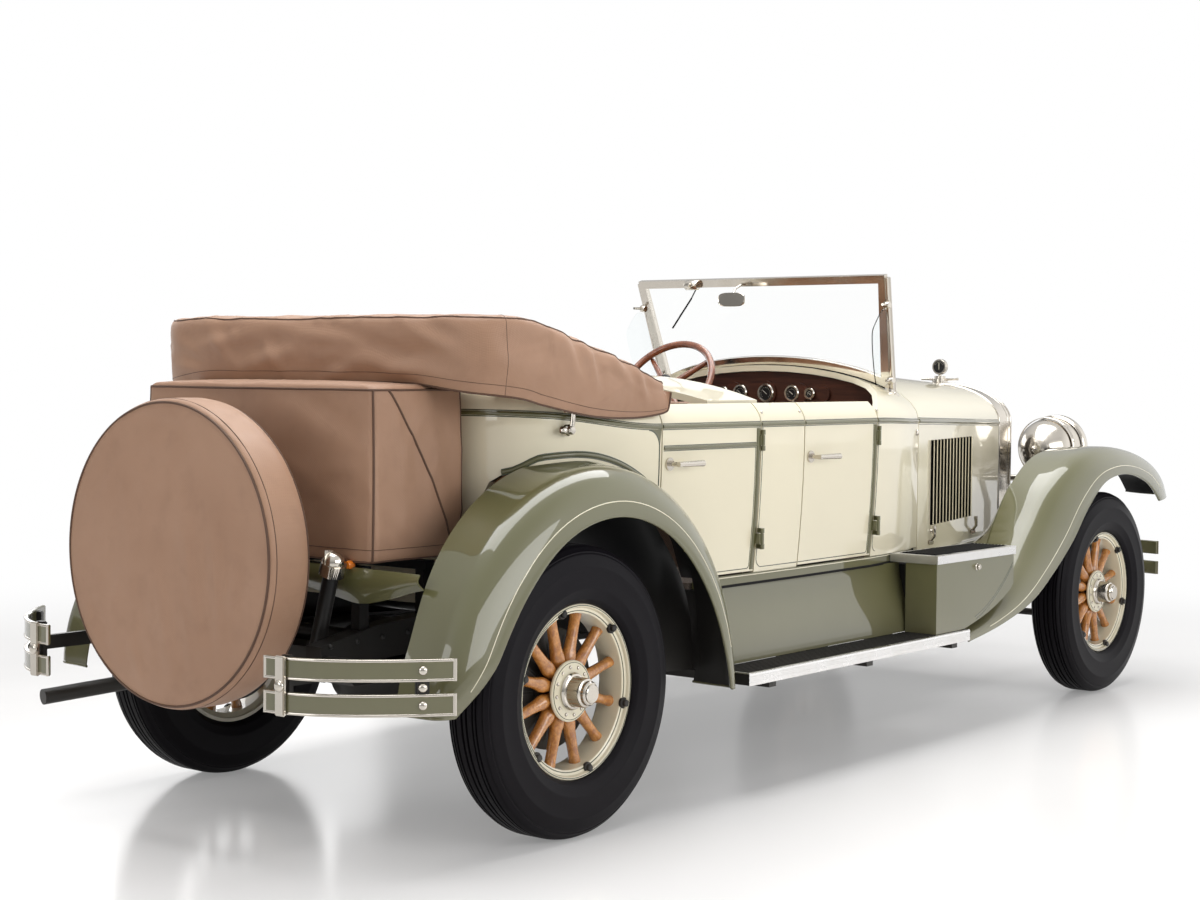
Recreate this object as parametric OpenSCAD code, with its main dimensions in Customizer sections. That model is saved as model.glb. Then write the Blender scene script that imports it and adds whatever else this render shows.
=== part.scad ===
// Open touring car of the late 1920s with a second cowl, wooden wheels, a folded top under a canvas boot,
// a covered trunk and a covered spare wheel. +X is forward, +Y is the car's left and +Z is up.
// The origin lies on the floor, midway along the overall length. Stations are measured forward of the rear
// axle.

/* [Overall] */
// Distance between the front and rear axle centres
wheelbase = 3505; // [3400:5:3640]
// From the front axle centre to the front of the front bumper
front_overhang = 745; // [725:5:820]
// From the rear axle centre to the back of the rear bumpers
rear_overhang = 890; // [875:5:960]
// Distance between the tyre centres of one axle
track = 1445; // [1425:1:1475]

/* [Wheels] */
// Outside diameter of a tyre
tyre_d = 838; // [820:1:850]
// Width of a tyre across its sidewalls
tyre_w = 172; // [150:1:180]
// Diameter over the rim's flanges
rim_d = 500; // [480:1:520]
// Width of the rim
rim_w = 112; // [96:1:120]
// Number of wooden spokes in a wheel
spoke_count = 12; // [8:1:14]
// Diameter of a spoke at the hub
spoke_root_d = 44; // [34:1:48]
// Diameter of a spoke at the rim
spoke_tip_d = 33; // [26:1:38]
// Diameter of the hub's clamping flange
hub_flange_d = 176; // [150:1:200]
// Diameter of the hub cap
hub_cap_d = 84; // [70:1:96]
// How far the hub cap stands out from the tyre's centre plane
hub_cap_out = 112; // [100:1:125]
// Diameter of a brake drum
drum_d = 350; // [300:5:390]
// Diameter of the spindle that a wheel turns on
spindle_d = 48; // [40:1:54]
// Clearance between a turning piece and its pin, on the radius
running_gap = 0.3; // [0.1:0.1:0.5]

/* [Body] */
// Half the body's width at the belt line, amidships
belt_half = 705; // [690:1:720]
// How far the body side pulls in from the belt down to the sill
turn_under = 30; // [10:1:45]
// How far the body side rolls in from the belt up to the top edge
top_roll = 40; // [20:1:55]
// Height of the belt line at the doors
belt_z = 1160; // [1140:1:1180]
// Height of the doors' top edge
door_top_z = 1228; // [1210:1:1245]
// How much the belt line and the top edge climb behind the doors
rear_climb = 46; // [0:1:60]
// Underside and top of the sill moulding
sill_low_z = 640; // [630:1:650]
// Height of the sill moulding
sill_h = 36; // [25:1:45]
// Thickness of a door and of the body walls
wall_t = 46; // [35:1:55]
// Gap around a door
shut_gap = 6; // [5:0.5:9]
// Station of the body's back
body_back = -140; // [-170:1:-120]
// Station of the rear doors' back edge
rear_door_back = 492; // [480:1:505]
// Station of the rear doors' front edge
rear_door_front = 1028; // [1010:1:1045]
// Station of the front doors' back edge
front_door_back = 1292; // [1275:1:1310]
// Station of the front doors' front edge
front_door_front = 1790; // [1770:1:1810]
// How far a belt moulding or handle plate stands out from the body side
moulding_out = 9; // [6:1:12]

/* [Cowl and hood] */
// Station of the joint between cowl and hood
hood_back = 2257; // [2240:1:2275]
// Half the body's width where the cowl meets the hood
cowl_half = 592; // [580:1:605]
// Half the width of the radiator shell
radiator_half = 320; // [305:1:330]
// How far the radiator shell's back stands behind the front axle
radiator_set = 62; // [40:1:80]
// Depth of the radiator shell from back to front
radiator_depth = 112; // [95:1:130]
// Height of the cowl's crown where it meets the hood
cowl_top_z = 1352; // [1340:1:1365]
// Height of the radiator shell's crown
radiator_top_z = 1286; // [1270:1:1300]
// Height of the hood's shoulder hinge at the radiator
radiator_shoulder_z = 1120; // [1110:1:1130]
// Thickness of the hood panels
hood_t = 14; // [10:1:18]
// Number of louvres in a hood side
louvre_count = 13; // [8:1:15]
// Length of a louvre from top to bottom
louvre_h = 326; // [280:1:350]

/* [Windshield] */
// Station of the windshield's plane at the height of the belt line
windshield_foot = 2200; // [2185:1:2210]
// Lean of the windshield from the vertical, in degrees
windshield_rake = 16; // [13:0.5:18]
// Half the windshield's width at its top
windshield_top_half = 566; // [550:1:580]
// Half the windshield's width at its foot
windshield_foot_half = 524; // [515:1:535]
// Height of the windshield's top edge
windshield_top_z = 1690; // [1640:1:1700]
// Width of the windshield's frame
frame_bar = 30; // [24:1:36]

/* [Fenders and boards] */
// Half the overall width, over the fenders' lips
fender_half = 858; // [850:1:875]
// Thickness of the fender sheets
fender_t = 6; // [4:0.5:8]
// Radius of a rear fender's crown
rear_crown_r = 640; // [630:1:648]
// Radius of a rear fender's lip
rear_lip_r = 500; // [485:1:520]
// How far the rear fender's centre lies ahead of the rear axle
rear_fender_lead = 85; // [60:1:95]
// Height of the running boards' top face
board_top_z = 394; // [380:1:405]
// Thickness of a running board
board_t = 38; // [28:1:45]
// Height of a step box's lid above the floor
step_top_z = 676; // [665:1:690]

/* [Chassis] */
// Half the distance over the outer faces of the frame rails
rail_half = 400; // [385:1:405]
// Width of a frame rail
rail_w = 58; // [50:1:64]
// Height of the frame rails' top face
rail_top_z = 638; // [625:1:638]
// Depth of the frame rails amidships
rail_h = 140; // [110:1:150]
// Thickness of the rails' pressed steel
rail_plate = 8; // [6:1:10]
// Distance of a kingpin from its tyre's centre plane
kingpin_in = 130; // [125:1:135]
// Diameter of a kingpin
kingpin_d = 30; // [24:1:32]
// Length of a steering arm, from kingpin to tie rod pin
steer_arm = 160; // [140:1:175]
// Diameter of the tow holes in the front horns
tow_hole_d = 24; // [18:1:28]
// Diameter of the steering wheel
steering_wheel_d = 432; // [410:1:450]
// Thickness of the steering wheel's rim
steering_rim = 28; // [24:1:32]
// Slope of the steering column above the horizontal, in degrees
column_slope = 36; // [32:1:40]

/* [Luggage and top] */
// Width of the covered trunk
trunk_w = 960; // [900:5:1000]
// Depth of the covered trunk from back to front
trunk_d = 366; // [340:1:370]
// Height of the covered trunk
trunk_h = 484; // [460:1:490]
// Height of the trunk's underside
trunk_low_z = 802; // [800:1:815]
// Diameter of the covered spare wheel
spare_d = 856; // [840:1:870]
// Thickness of the covered spare wheel
spare_w = 200; // [180:1:205]
// Height of the spare wheel's centre
spare_z = 816; // [805:1:830]
// Height of the folded top at its back
fold_top_z = 1484; // [1460:1:1500]

/* [Hidden] */
$fn = 96;

cream = "#e4ddc3";
green = "#7d8360";
black = "#1c1c1e";
nickel = "#c9c2b8";
canvas = "#a5836b";
wood = "#a9652b";
leather = "#7a5138";

tyre_r = tyre_d / 2;
overall_length = wheelbase + front_overhang + rear_overhang;
rear_axle_x = rear_overhang - overall_length / 2;
sill_top_z = sill_low_z + sill_h;
door_low_z = sill_top_z + shut_gap;
radiator_back = wheelbase - radiator_set;
radiator_front = radiator_back + radiator_depth;
hood_front = radiator_back - shut_gap;
wall_in = belt_half - wall_t;
eps = 0.3;

// Small functions for curves
function mix(a, b, t) = a + (b - a) * t;
function ease(t) = t <= 0 ? 0 : t >= 1 ? 1 : t * t * (3 - 2 * t);
function share(a, b, x) = (x - a) / (b - a);
// A row between the rows of a table, on a smooth curve through them; t counts rows
function row_at(table, t) =
    let (n = len(table), i = max(0, min(floor(t), n - 2)), u = t - i,
        a = table[max(i - 1, 0)], b = table[i], c = table[i + 1], d = table[min(i + 2, n - 1)])
    0.5 * (2 * b + (c - a) * u + (2 * a - 5 * b + 4 * c - d) * u * u + (3 * b - a - 3 * c + d) * u * u * u);
function unit(v) = v / max(norm(v), 1e-9);
// The normal of a grid of points at row i and column j
function grid_normal(g, i, j) =
    let (n = len(g), m = len(g[0]))
    unit(cross(g[min(i + 1, n - 1)][j] - g[max(i - 1, 0)][j], g[i][min(j + 1, m - 1)] - g[i][max(j - 1,
        0)]));
function grid_offset(g, t) =
    [for (i = [0:len(g) - 1]) [for (j = [0:len(g[0]) - 1]) g[i][j] + t * grid_normal(g, i, j)]];
function grid_shift(g, v) = [for (r = g) [for (p = r) p + v]];

// A closed sheet between two grids of points that have the same rows and columns
module sheet(outer, inner) {
    n = len(outer);
    m = len(outer[0]);
    half = n * m;
    function at(i, j) = i * m + j;
    skins = [for (i = [0:n - 2], j = [0:m - 2])
        let (a = at(i, j), b = at(i + 1, j), c = at(i + 1, j + 1), d = at(i, j + 1))
        each [[a, c, b], [a, d, c], [half + a, half + b, half + c], [half + a, half + c, half + d]]];
    rows = [for (j = [0:m - 2], i = [0, n - 1])
        let (a = at(i, j), d = at(i, j + 1), f = i == 0)
        each f ? [[a, half + a, d], [d, half + a, half + d]] : [[a, d, half + a], [d, half + d, half + a]]];
    columns = [for (i = [0:n - 2], j = [0, m - 1])
        let (a = at(i, j), b = at(i + 1, j), f = j == 0)
        each f ? [[a, b, half + a], [b, half + b, half + a]] : [[a, half + a, b], [b, half + a, half + b]]];
    polyhedron([for (r = outer) each r, for (r = inner) each r], concat(skins, rows, columns));
}

// A closed solid through rings that have the same number of points
module loft(rings) {
    n = len(rings);
    m = len(rings[0]);
    sides = [for (i = [0:n - 2], j = [0:m - 1])
        let (a = i * m + j, b = i * m + (j + 1) % m)
        each [[a, b, a + m], [b, b + m, a + m]]];
    ends = [[for (j = [m - 1:-1:0]) j], [for (j = [0:m - 1]) (n - 1) * m + j]];
    polyhedron([for (r = rings) each r], concat(sides, ends));
}

module place() translate([rear_axle_x, 0, 0]) children();
module mirrored(left) mirror([0, left ? 1 : 0, 0]) children();
module both_sides() {
    children();
    mirror([0, 1, 0]) children();
}
// A box from its lowest to its highest corner
module block(low, high) translate(low) cube(high - low);
// A flat piece drawn in station and height, from one side position to another
module side_plate(y_low, y_high) translate([0, y_high, 0]) rotate([90, 0,
    0]) linear_extrude(y_high - y_low) children();
// A flat piece drawn in side position and height, from one station to another
module cross_plate(s_low, s_high)
    translate([s_low, 0, 0]) rotate([90, 0, 90]) linear_extrude(s_high - s_low) children();
// A round bar between two points
module bar(a, b, r) {
    v = b - a;
    translate(a) rotate([0, acos(v.z / norm(v)), atan2(v.y, v.x)]) cylinder(h = norm(v), r = r);
}

// Body surface: half the width in plan, the heights along the car, and the side's curve in height
plan_rows = [[rear_door_back - 300, belt_half - 8], [rear_door_back, belt_half - 2], [rear_door_front,
    belt_half],
    [front_door_back, belt_half - 1], [front_door_front, belt_half - 14], [hood_back, cowl_half]];
function plan_half(s) =
    s >= hood_back ? mix(cowl_half, radiator_half, share(hood_back, radiator_back, s))
    : s >= front_door_front
        ? let (t = share(front_door_front, hood_back, s)) mix(belt_half - 14, cowl_half,
            0.35 * t + 0.65 * t * t)
    : lookup(s, plan_rows);
function climb(s) = rear_climb * ease(share(rear_door_back, body_back, s));
function belt_at(s) = belt_z + climb(s) - 10 * ease(share(front_door_front, hood_back, s));
function top_at(s) = door_top_z + climb(s);
// How far the side lies inside the belt line at a height
function side_in(s, z) = z < belt_at(s)
    ? turn_under * pow((belt_at(s) - z) / (belt_z - sill_low_z), 2)
    : top_roll * pow((z - belt_at(s)) / (door_top_z - belt_z), 2);
function skin_point(s, z) = [s, side_in(s, z) - plan_half(s), z];
side_steps = 5;
roll_steps = 4;
// Heights from the panel's lower edge to the belt, then up the roll to the top edge
function side_heights(s, low) = concat(
    [for (k = [0:side_steps - 1]) mix(low, belt_at(s), k / side_steps)],
    [for (k = [0:roll_steps]) mix(belt_at(s), top_at(s), k / roll_steps)]);
// A body panel on the car's right between two stations, with a lower edge that may follow a curve
module side_panel(s_back, s_front, steps, low) {
    outer = [for (i = [0:steps])
        let (s = mix(s_back, s_front, i / steps))
        [for (z = side_heights(s, low(s))) skin_point(s, z)]];
    sheet(outer, grid_shift(outer, [0, wall_t, 0]));
}

// Rear fender arch: a circle about a point ahead of the rear axle
function arch_z(s, r) =
    let (d = s - rear_fender_lead) abs(d) >= r ? tyre_r : tyre_r + sqrt(r * r - d * d);
fender_root_r = rear_crown_r + 10;
door_arch_r = fender_root_r + 12;

// Chassis frame: rows of station, top height and depth of a rail
rail_rows = [[-636, rail_top_z - 62, 70], [-420, rail_top_z - 22, 96], [-60, rail_top_z, 104], [420,
    rail_top_z, 124],
    [900, rail_top_z, rail_h], [2500, rail_top_z, rail_h], [wheelbase - 320, rail_top_z, 118],
    [wheelbase + 60, rail_top_z - 4, 92], [wheelbase + 300, rail_top_z - 30, 70],
    [wheelbase + 500, rail_top_z - 84, 56]];
cross_member_r = 22;
cross_member_z = rail_top_z - 66;
cross_member_stations = [-400, 300, 1150, 1720, radiator_back + radiator_depth / 2];
bracket_stations = [900, 1500, 2100];
horn = [wheelbase + 476, rail_top_z - 106];
tow_boss_r = tow_hole_d / 2 + 14;
function rail_outline(inset) = concat(
    [for (r = rail_rows) [r[0], r[1] - inset]],
    [for (i = [len(rail_rows) - 1:-1:0]) [rail_rows[i][0], rail_rows[i][1] - rail_rows[i][2] + inset]]);

module rail() difference() {
    union() {
        side_plate(-rail_half, rail_w - rail_half) polygon(rail_outline(0));
        translate([horn.x, rail_w - rail_half, horn.y]) rotate([90, 0, 0]) cylinder(h = rail_w,
            r = tow_boss_r);
    }
    side_plate(rail_plate - rail_half, rail_w - rail_half + 1)
        intersection() {
            polygon(rail_outline(rail_plate));
            translate([-600, 0]) square([wheelbase + 960, 2000]);
        }
    translate([horn.x, rail_w - rail_half + 1, horn.y]) rotate([90, 0, 0]) cylinder(h = rail_w + 2,
        r = tow_hole_d / 2);
}

module frame_rails() color(black) {
    both_sides() {
        rail();
        for (s = bracket_stations)
            block([s, -fender_half + 26, board_top_z - board_t - 26], [s + 40, -rail_half + 1,
                board_top_z - board_t - eps]);
        for (s = bracket_stations)
            block([s, -rail_half - 12, board_top_z - board_t - 26], [s + 40, -rail_half + 1,
                rail_top_z - 60]);
    }
    for (s = cross_member_stations)
        translate([s, -rail_half + rail_plate / 2, cross_member_z]) rotate([-90, 0, 0])
            cylinder(h = 2 * rail_half - rail_plate, r = cross_member_r);
    trunk_rack();
}

trunk_front = body_back - 12;
trunk_back = trunk_front - trunk_d;
spare_back = -rear_overhang + 46;
spare_front = spare_back + spare_w;
rack_z = trunk_low_z - eps;
// Slatted rack under the trunk, its two posts down to the rails, and the spare wheel's carrier
module trunk_rack() {
    for (y = [-300, -100, 100, 300])
        block([trunk_back + 10, y - 22, rack_z - 22], [trunk_front - 10, y + 22, rack_z]);
    for (s = [trunk_back + 40, trunk_front - 70])
        block([s, -rail_half + 4, rack_z - 46], [s + 36, rail_half - 4, rack_z - 20]);
    for (s = [trunk_back + 40, trunk_front - 70], side = [-1, 1])
        block([s, side * (rail_half - rail_w / 2) - 16, rail_top_z - 60],
            [s + 36, side * (rail_half - rail_w / 2) + 16, rack_z - 40]);
    block([spare_front + eps, -70, rack_z - 46], [trunk_back + 42, 70, rack_z - 20]);
    translate([spare_front + eps, 0, spare_z]) rotate([0, 90, 0]) cylinder(h = 26, r = 120);
    block([spare_front + eps, -60, rack_z - 46], [spare_front + 26, 60, spare_z]);
}

// Front axle: a dropped beam with an eye at each end
kingpin_y = track / 2 - kingpin_in;
axle_eye_r = kingpin_d / 2 + 9;
eye_h = 60;
beam_z = 344;
beam_h = 62;
spring_y = rail_half - rail_w / 2;
spring_w = 54;
eye_low = tyre_r - eye_h / 2 + 6;
eye_high = tyre_r + eye_h / 2 - 6;
beam_half = [[kingpin_y, eye_high], [kingpin_y - 110, beam_z + beam_h], [kingpin_y - 160, beam_z],
    [kingpin_y - 70, eye_low], [kingpin_y, eye_low]];
function beam_outline() = [beam_half[0], beam_half[1], [-beam_half[1].x, beam_half[1].y], [-kingpin_y,
    eye_high],
    [-kingpin_y, eye_low], [-beam_half[3].x, eye_low], [-beam_half[2].x, beam_z], beam_half[2],
        beam_half[3],
    beam_half[4]];

module front_axle() color(black) translate([wheelbase, 0, 0]) difference() {
    union() {
        cross_plate(-19, 19) polygon(beam_outline());
        both_sides() translate([0, -kingpin_y, tyre_r - eye_h / 2]) cylinder(h = eye_h, r = axle_eye_r);
        both_sides() block([-50, -spring_y - 34, beam_z + 10], [50, -spring_y + 34, beam_z + beam_h]);
    }
    both_sides() translate([0, -kingpin_y, 0]) cylinder(h = tyre_d, r = kingpin_d / 2 + running_gap);
    both_sides() for (x = [-30, 10])
        block([x, -spring_y + 60, beam_z + 14], [x + 20, -40, beam_z + beam_h - 14]);
}

// Rear axle: tubes, differential housing and the torque tube that runs forward
axle_tube_r = 44;
drum_in = 82;
hub_back_y = track / 2 - drum_in - shut_gap;
module rear_axle() color(black) translate([0, 0, tyre_r]) {
    rotate([90, 0, 0]) rotate_extrude() polygon([[0, -155], [70, -150], [128, -95], [150, -30], [150, 30],
        [128, 95], [70, 150], [0, 155]]);
    both_sides() {
        rotate([90, 0, 0]) cylinder(h = hub_back_y - 12, r = axle_tube_r);
        translate([0, -hub_back_y + 14, 0]) rotate([90, 0, 0]) cylinder(h = 14, r = 96);
        translate([0, -hub_back_y + 20, 0]) rotate([90, 0, 0])
            cylinder(h = drum_in + shut_gap + 20 + spindle_out, r = spindle_d / 2);
        block([-46, -spring_y - 34, 20], [46, -spring_y + 34, axle_tube_r + 4]);
    }
    bar([120, 0, 0], [gearbox_back - 3, 0, gearbox_z - tyre_r], 40);
}

// Leaf springs: a stack of leaves that arch up to an eye at each end
// Columns: station of the middle, length from eye to eye, height of the seat, rise of the arch, leaves
spring_table = [[0, 1240, tyre_r + axle_tube_r + 4.2 + eps, -19, 6], [wheelbase, 860,
    beam_z + beam_h + eps, 39, 7]];
leaf_t = 8;
function leaf_z(x, half, rise) = rise * pow(x / half, 2);
// How far a leaf reaches from the middle; the lowest leaf is the shortest
function leaf_reach(k, half, leaves) = half * (k + 2) / (leaves + 1);
function leaf_steps(half, rise, leaves, side) = [for (k = [leaves - 1:-1:0])
    let (a = leaf_reach(k, half, leaves), b = k > 0 ? leaf_reach(k - 1, half, leaves) : 1)
    each [[side * a, leaf_z(a, half, rise) + k * leaf_t], [side * b, leaf_z(b, half, rise) + k * leaf_t]]];
module leaf_pack(length, rise, leaves) {
    half = length / 2;
    steps = 12;
    right = leaf_steps(half, rise, leaves, 1);
    side_plate(-spring_w / 2, spring_w / 2) polygon(concat(
        [for (i = [0:steps]) let (x = mix(-half, half, i / steps)) [x, leaf_z(x, half,
            rise) + leaves * leaf_t]],
        right, [for (i = [len(right) - 1:-1:0]) [-right[i].x, right[i].y]]));
    for (x = [-half, half])
        translate([x, spring_w / 2, rise + leaves * leaf_t - 4]) rotate([90, 0, 0]) cylinder(h = spring_w,
            r = 14);
}
module leaf_springs() color(black)
    for (row = spring_table, side = [-1, 1])
        translate([row[0], side * spring_y, row[2]]) leaf_pack(row[1], row[3], row[4]);

// Engine and gearbox as plain blocks at their real place
engine_back = hood_back + 40;
engine_front = radiator_back - 150;
gearbox_back = engine_back - 520;
gearbox_z = 490;
lug_z = rail_top_z - rail_h + rail_plate + eps;
module engine_block() color("#4c5048") {
    block([engine_back, -150, 450], [engine_front, 150, 980]);
    block([engine_back + 120, -250, 560], [engine_front - 160, 250, 800]);
    block([engine_back + 130, -rail_half + 20, lug_z], [engine_back + 190, rail_half - 20, lug_z + 70]);
    block([engine_back - 240, -135, 450], [engine_back + 10, 135, 630]);
    block([gearbox_back, -95, 440], [engine_back - 230, 95, 630]);
    translate([engine_front - 1, 0, 760]) rotate([0, 90, 0]) cylinder(h = 40, r = 60);
    translate([engine_front + 38, 0, 760]) rotate([0, 90, 0]) cylinder(h = 16, r = 215);
}

// Exhaust on the car's left: pipe, silencer and tail pipe
exhaust_y = 275;
// Columns: start of a length of pipe, its end, and its radius
exhaust_runs = [[[engine_back + 300, 215, 560 - eps], [engine_back + 300, 215, 456], 26],
    [[engine_back + 312, 213, 470], [1752, exhaust_y, 420], 25], [[1760, exhaust_y, 420], [900, exhaust_y,
        420], 78],
    [[910, exhaust_y, 420], [350, exhaust_y, 420], 24], [[368, exhaust_y, 414], [178, exhaust_y, 524], 23],
    [[196, exhaust_y, 520], [-242, exhaust_y, 520], 24], [[-226, 271, 530], [-304, 302, 406], 23],
    [[-288, 284, 416], [-428, 480, 390], 24], [[-408, 465, 394], [-830, 560, 362], 23]];
module exhaust() color(black) for (run = exhaust_runs) bar(run[0], run[1], run[2]);

tank_right = 330;
tank_left = 170;
tank_hanger_z = 526;
module fuel_tank() color(black) {
    side_plate(-tank_right, tank_left)
        polygon([[-470, 470], [-440, 440], [-260, 440], [-230, 470], [-230, 540], [-470, 540]]);
    block([-360, -rail_half + rail_w + eps, tank_hanger_z], [-330, rail_half - rail_w - eps,
        tank_hanger_z + 22]);
    bar([-450, -300, 500], [-576, -300, 566], 20);
    bar([-562, -300, 540], [-575, -378, 775], 22);
    bar([-574, -375, 768], [-577, -388, 800], 36);
}

// Radiator: an arched shell around a core, with a cap and its round temperature gauge
function hood_arch(half, shoulder, top, low, steps) = concat(
    [[-half, low]],
    [for (k = [0:2 * steps]) let (a = 90 * k / steps) [-half * cos(a),
        shoulder + (top - shoulder) * sin(a)]],
    [[half, low]]);
radiator_low_z = cross_member_z + cross_member_r + eps;
shell_rim = 34;
module radiator_shell() color(nickel) {
    cross_plate(radiator_back, radiator_front) difference() {
        polygon(hood_arch(radiator_half, radiator_shoulder_z, radiator_top_z, radiator_low_z, 12));
        polygon(hood_arch(radiator_half - shell_rim, radiator_shoulder_z - 10,
            radiator_top_z - shell_rim - 14,
            radiator_low_z + shell_rim, 12));
    }
    translate([radiator_back + radiator_depth / 2, 0, radiator_top_z - 12]) {
        cylinder(h = 30, r = 34);
        cylinder(h = 44, r = 24);
        translate([0, 0, 40]) cylinder(h = 24, r = 7);
        translate([-9, 0, 84]) rotate([0, 90, 0]) cylinder(h = 18, r = 30);
    }
}
module radiator_core() color("#3a3a3a")
    cross_plate(radiator_back + 14, radiator_front - 22)
        polygon(hood_arch(radiator_half - shell_rim - eps, radiator_shoulder_z - 10,
            radiator_top_z - shell_rim - 14 - eps, radiator_low_z + shell_rim + eps, 12));

// Hood: two top panels that meet at the centre hinge, and two louvred side panels
function shoulder_at(s) = mix(belt_at(hood_back), radiator_shoulder_z, share(hood_back, radiator_back, s));
function crown_at(s) = mix(cowl_top_z, radiator_top_z, share(hood_back, radiator_back, s));
function arch_point(s, a, out) = [s, -max((plan_half(s) + out) * cos(a), eps / 2),
    shoulder_at(s) + (crown_at(s) - shoulder_at(s) + out) * sin(a)];
ledge_low_z = rail_top_z + eps;
ledge_t = 8;
hood_low_z = ledge_low_z + ledge_t + eps;
module hood_half_top() {
    steps = 9;
    stations = [hood_back + shut_gap, mix(hood_back, hood_front, 0.5), hood_front];
    outer = [for (s = stations) [for (k = [0:steps]) arch_point(s, 90 * k / steps, 0)]];
    inner = [for (s = stations) [for (k = [0:steps]) arch_point(s, 90 * k / steps, -hood_t)]];
    sheet(outer, inner);
}
module hood_top() color(cream) both_sides() hood_half_top();

hood_angle = atan2(cowl_half - radiator_half, radiator_back - hood_back);
hood_run = (hood_front - hood_back - shut_gap) / cos(hood_angle);
louvre_pitch = 46;
louvre_slot = 17;
louvre_low = 100;
louvre_start = 170;
// A side panel drawn flat: its length along the hood and its height above the panel's lower edge
module hood_side_flat() difference() {
    polygon([[0, 0], [hood_run, 0], [hood_run, shoulder_at(hood_front) - hood_low_z - eps],
        [0, shoulder_at(hood_back + shut_gap) - hood_low_z - eps]]);
    for (k = [0:louvre_count - 1])
        translate([louvre_start + k * louvre_pitch, louvre_low]) square([louvre_slot, louvre_h]);
}
// A louvre blade bends out over its slot and opens to the rear
module louvre_blade() linear_extrude(louvre_h)
    polygon([[louvre_slot + 4, -3], [louvre_slot + 4, 2], [2, 14], [2, 10], [louvre_slot - 4, -3]]);
module hood_side() translate([hood_back + shut_gap, -plan_half(hood_back + shut_gap), hood_low_z])
    rotate([0, 0, hood_angle]) {
        rotate([90, 0, 0]) translate([0, 0, -hood_t]) linear_extrude(hood_t) hood_side_flat();
        for (k = [0:louvre_count - 1])
            translate([louvre_start + k * louvre_pitch, 0, louvre_low]) mirror([0, 1, 0]) louvre_blade();
    }
module hood_sides() color(cream) both_sides() hood_side();

// Cowl: the scuttle from the front doors to the hood, open to the cockpit behind the dash lip
cowl_lip = windshield_foot - 94;
cowl_side_steps = 4;
cowl_arch_steps = 9;
cowl_s_steps = 5;
function cowl_crown(s) = cowl_top_z + 18 * ease(share(hood_back, front_door_front, s));
function cowl_back(a) = mix(front_door_front + shut_gap / 2, cowl_lip, ease(share(4, 52, a)));
function cowl_point(s, k, out) = k < cowl_side_steps
    ? let (z = mix(sill_top_z + eps, belt_at(s), k / cowl_side_steps))
        [s, side_in(s, z) * share(hood_back + 40, front_door_front, s) - plan_half(s) - out, z]
    : let (a = 90 * (k - cowl_side_steps) / cowl_arch_steps)
        [s, -(plan_half(s) + out) * cos(a), belt_at(s) + (cowl_crown(s) - belt_at(s) + out) * sin(a)];
function cowl_half_row(u, out) = [for (k = [0:cowl_side_steps + cowl_arch_steps])
    let (a = max(0, 90 * (k - cowl_side_steps) / cowl_arch_steps))
    cowl_point(mix(cowl_back(a), hood_back, u), k, out)];
function full_row(half) = concat(half, [for (k = [len(half) - 2:-1:0]) [half[k].x, -half[k].y, half[k].z]]);
function cowl_grid(out) = [for (i = [0:cowl_s_steps]) full_row(cowl_half_row(i / cowl_s_steps, out))];
module cowl() {
    color(cream) sheet(cowl_grid(0), cowl_grid(-wall_t / 2));
    color(nickel) both_sides() windshield_foot_boss();
    color(cream) both_sides() hinge_pins(front_door_front, front_hinge_z);
}

// Floor with its seat risers, the sloping toe board and the firewall
floor_half = plan_half(front_door_front) - turn_under + moulding_out - wall_t - eps;
floor_t = 20;
floor_low_z = rail_top_z + eps;
floor_top_z = floor_low_z + floor_t;
// Where the inner face of the body's back meets the floor
tub_foot = body_back + wall_t + turn_under * pow((belt_at(body_back) - floor_low_z) / (belt_z -
    sill_low_z), 2) + 1.5;
firewall = hood_back - 22;
riser_half = 600;
rear_riser_z = 860;
front_riser_z = 850;
rear_seat_front = 470;
front_seat_front = 1700;
front_seat_back = 1196;
tub_back = body_back + wall_t + 1.1 * turn_under + 12;
// The floor's rear corners follow the body's rounded back; rows of station and half width
corner_rows = [[tub_back, 390], [tub_back + 40, 470], [tub_back + 120, 540], [tub_back + 220, riser_half]];
function corner_outline(front, half) = concat(
    [for (r = corner_rows) [r[0], -min(r[1], half)]], [[front, -half], [front, half]],
    [for (i = [len(corner_rows) - 1:-1:0]) [corner_rows[i][0], min(corner_rows[i][1], half)]]);
firewall_gap = 7;
firewall_half = plan_half(firewall + 12) - wall_t / 2 - firewall_gap;
toe_half = plan_half(hood_back) - turn_under + moulding_out - wall_t - eps;
function firewall_outline() = concat(
    [[-toe_half, floor_top_z - 1], [-toe_half, sill_top_z + 2], [-firewall_half, sill_top_z + 2]],
    [for (k = [0:18]) let (a = 10 * k) [-firewall_half * cos(a),
        belt_at(firewall) + (cowl_crown(firewall) - belt_at(firewall) - wall_t / 2 - firewall_gap) *
            sin(a)]],
    [[firewall_half, sill_top_z + 2], [toe_half, sill_top_z + 2], [toe_half, floor_top_z - 1]]);
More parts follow.
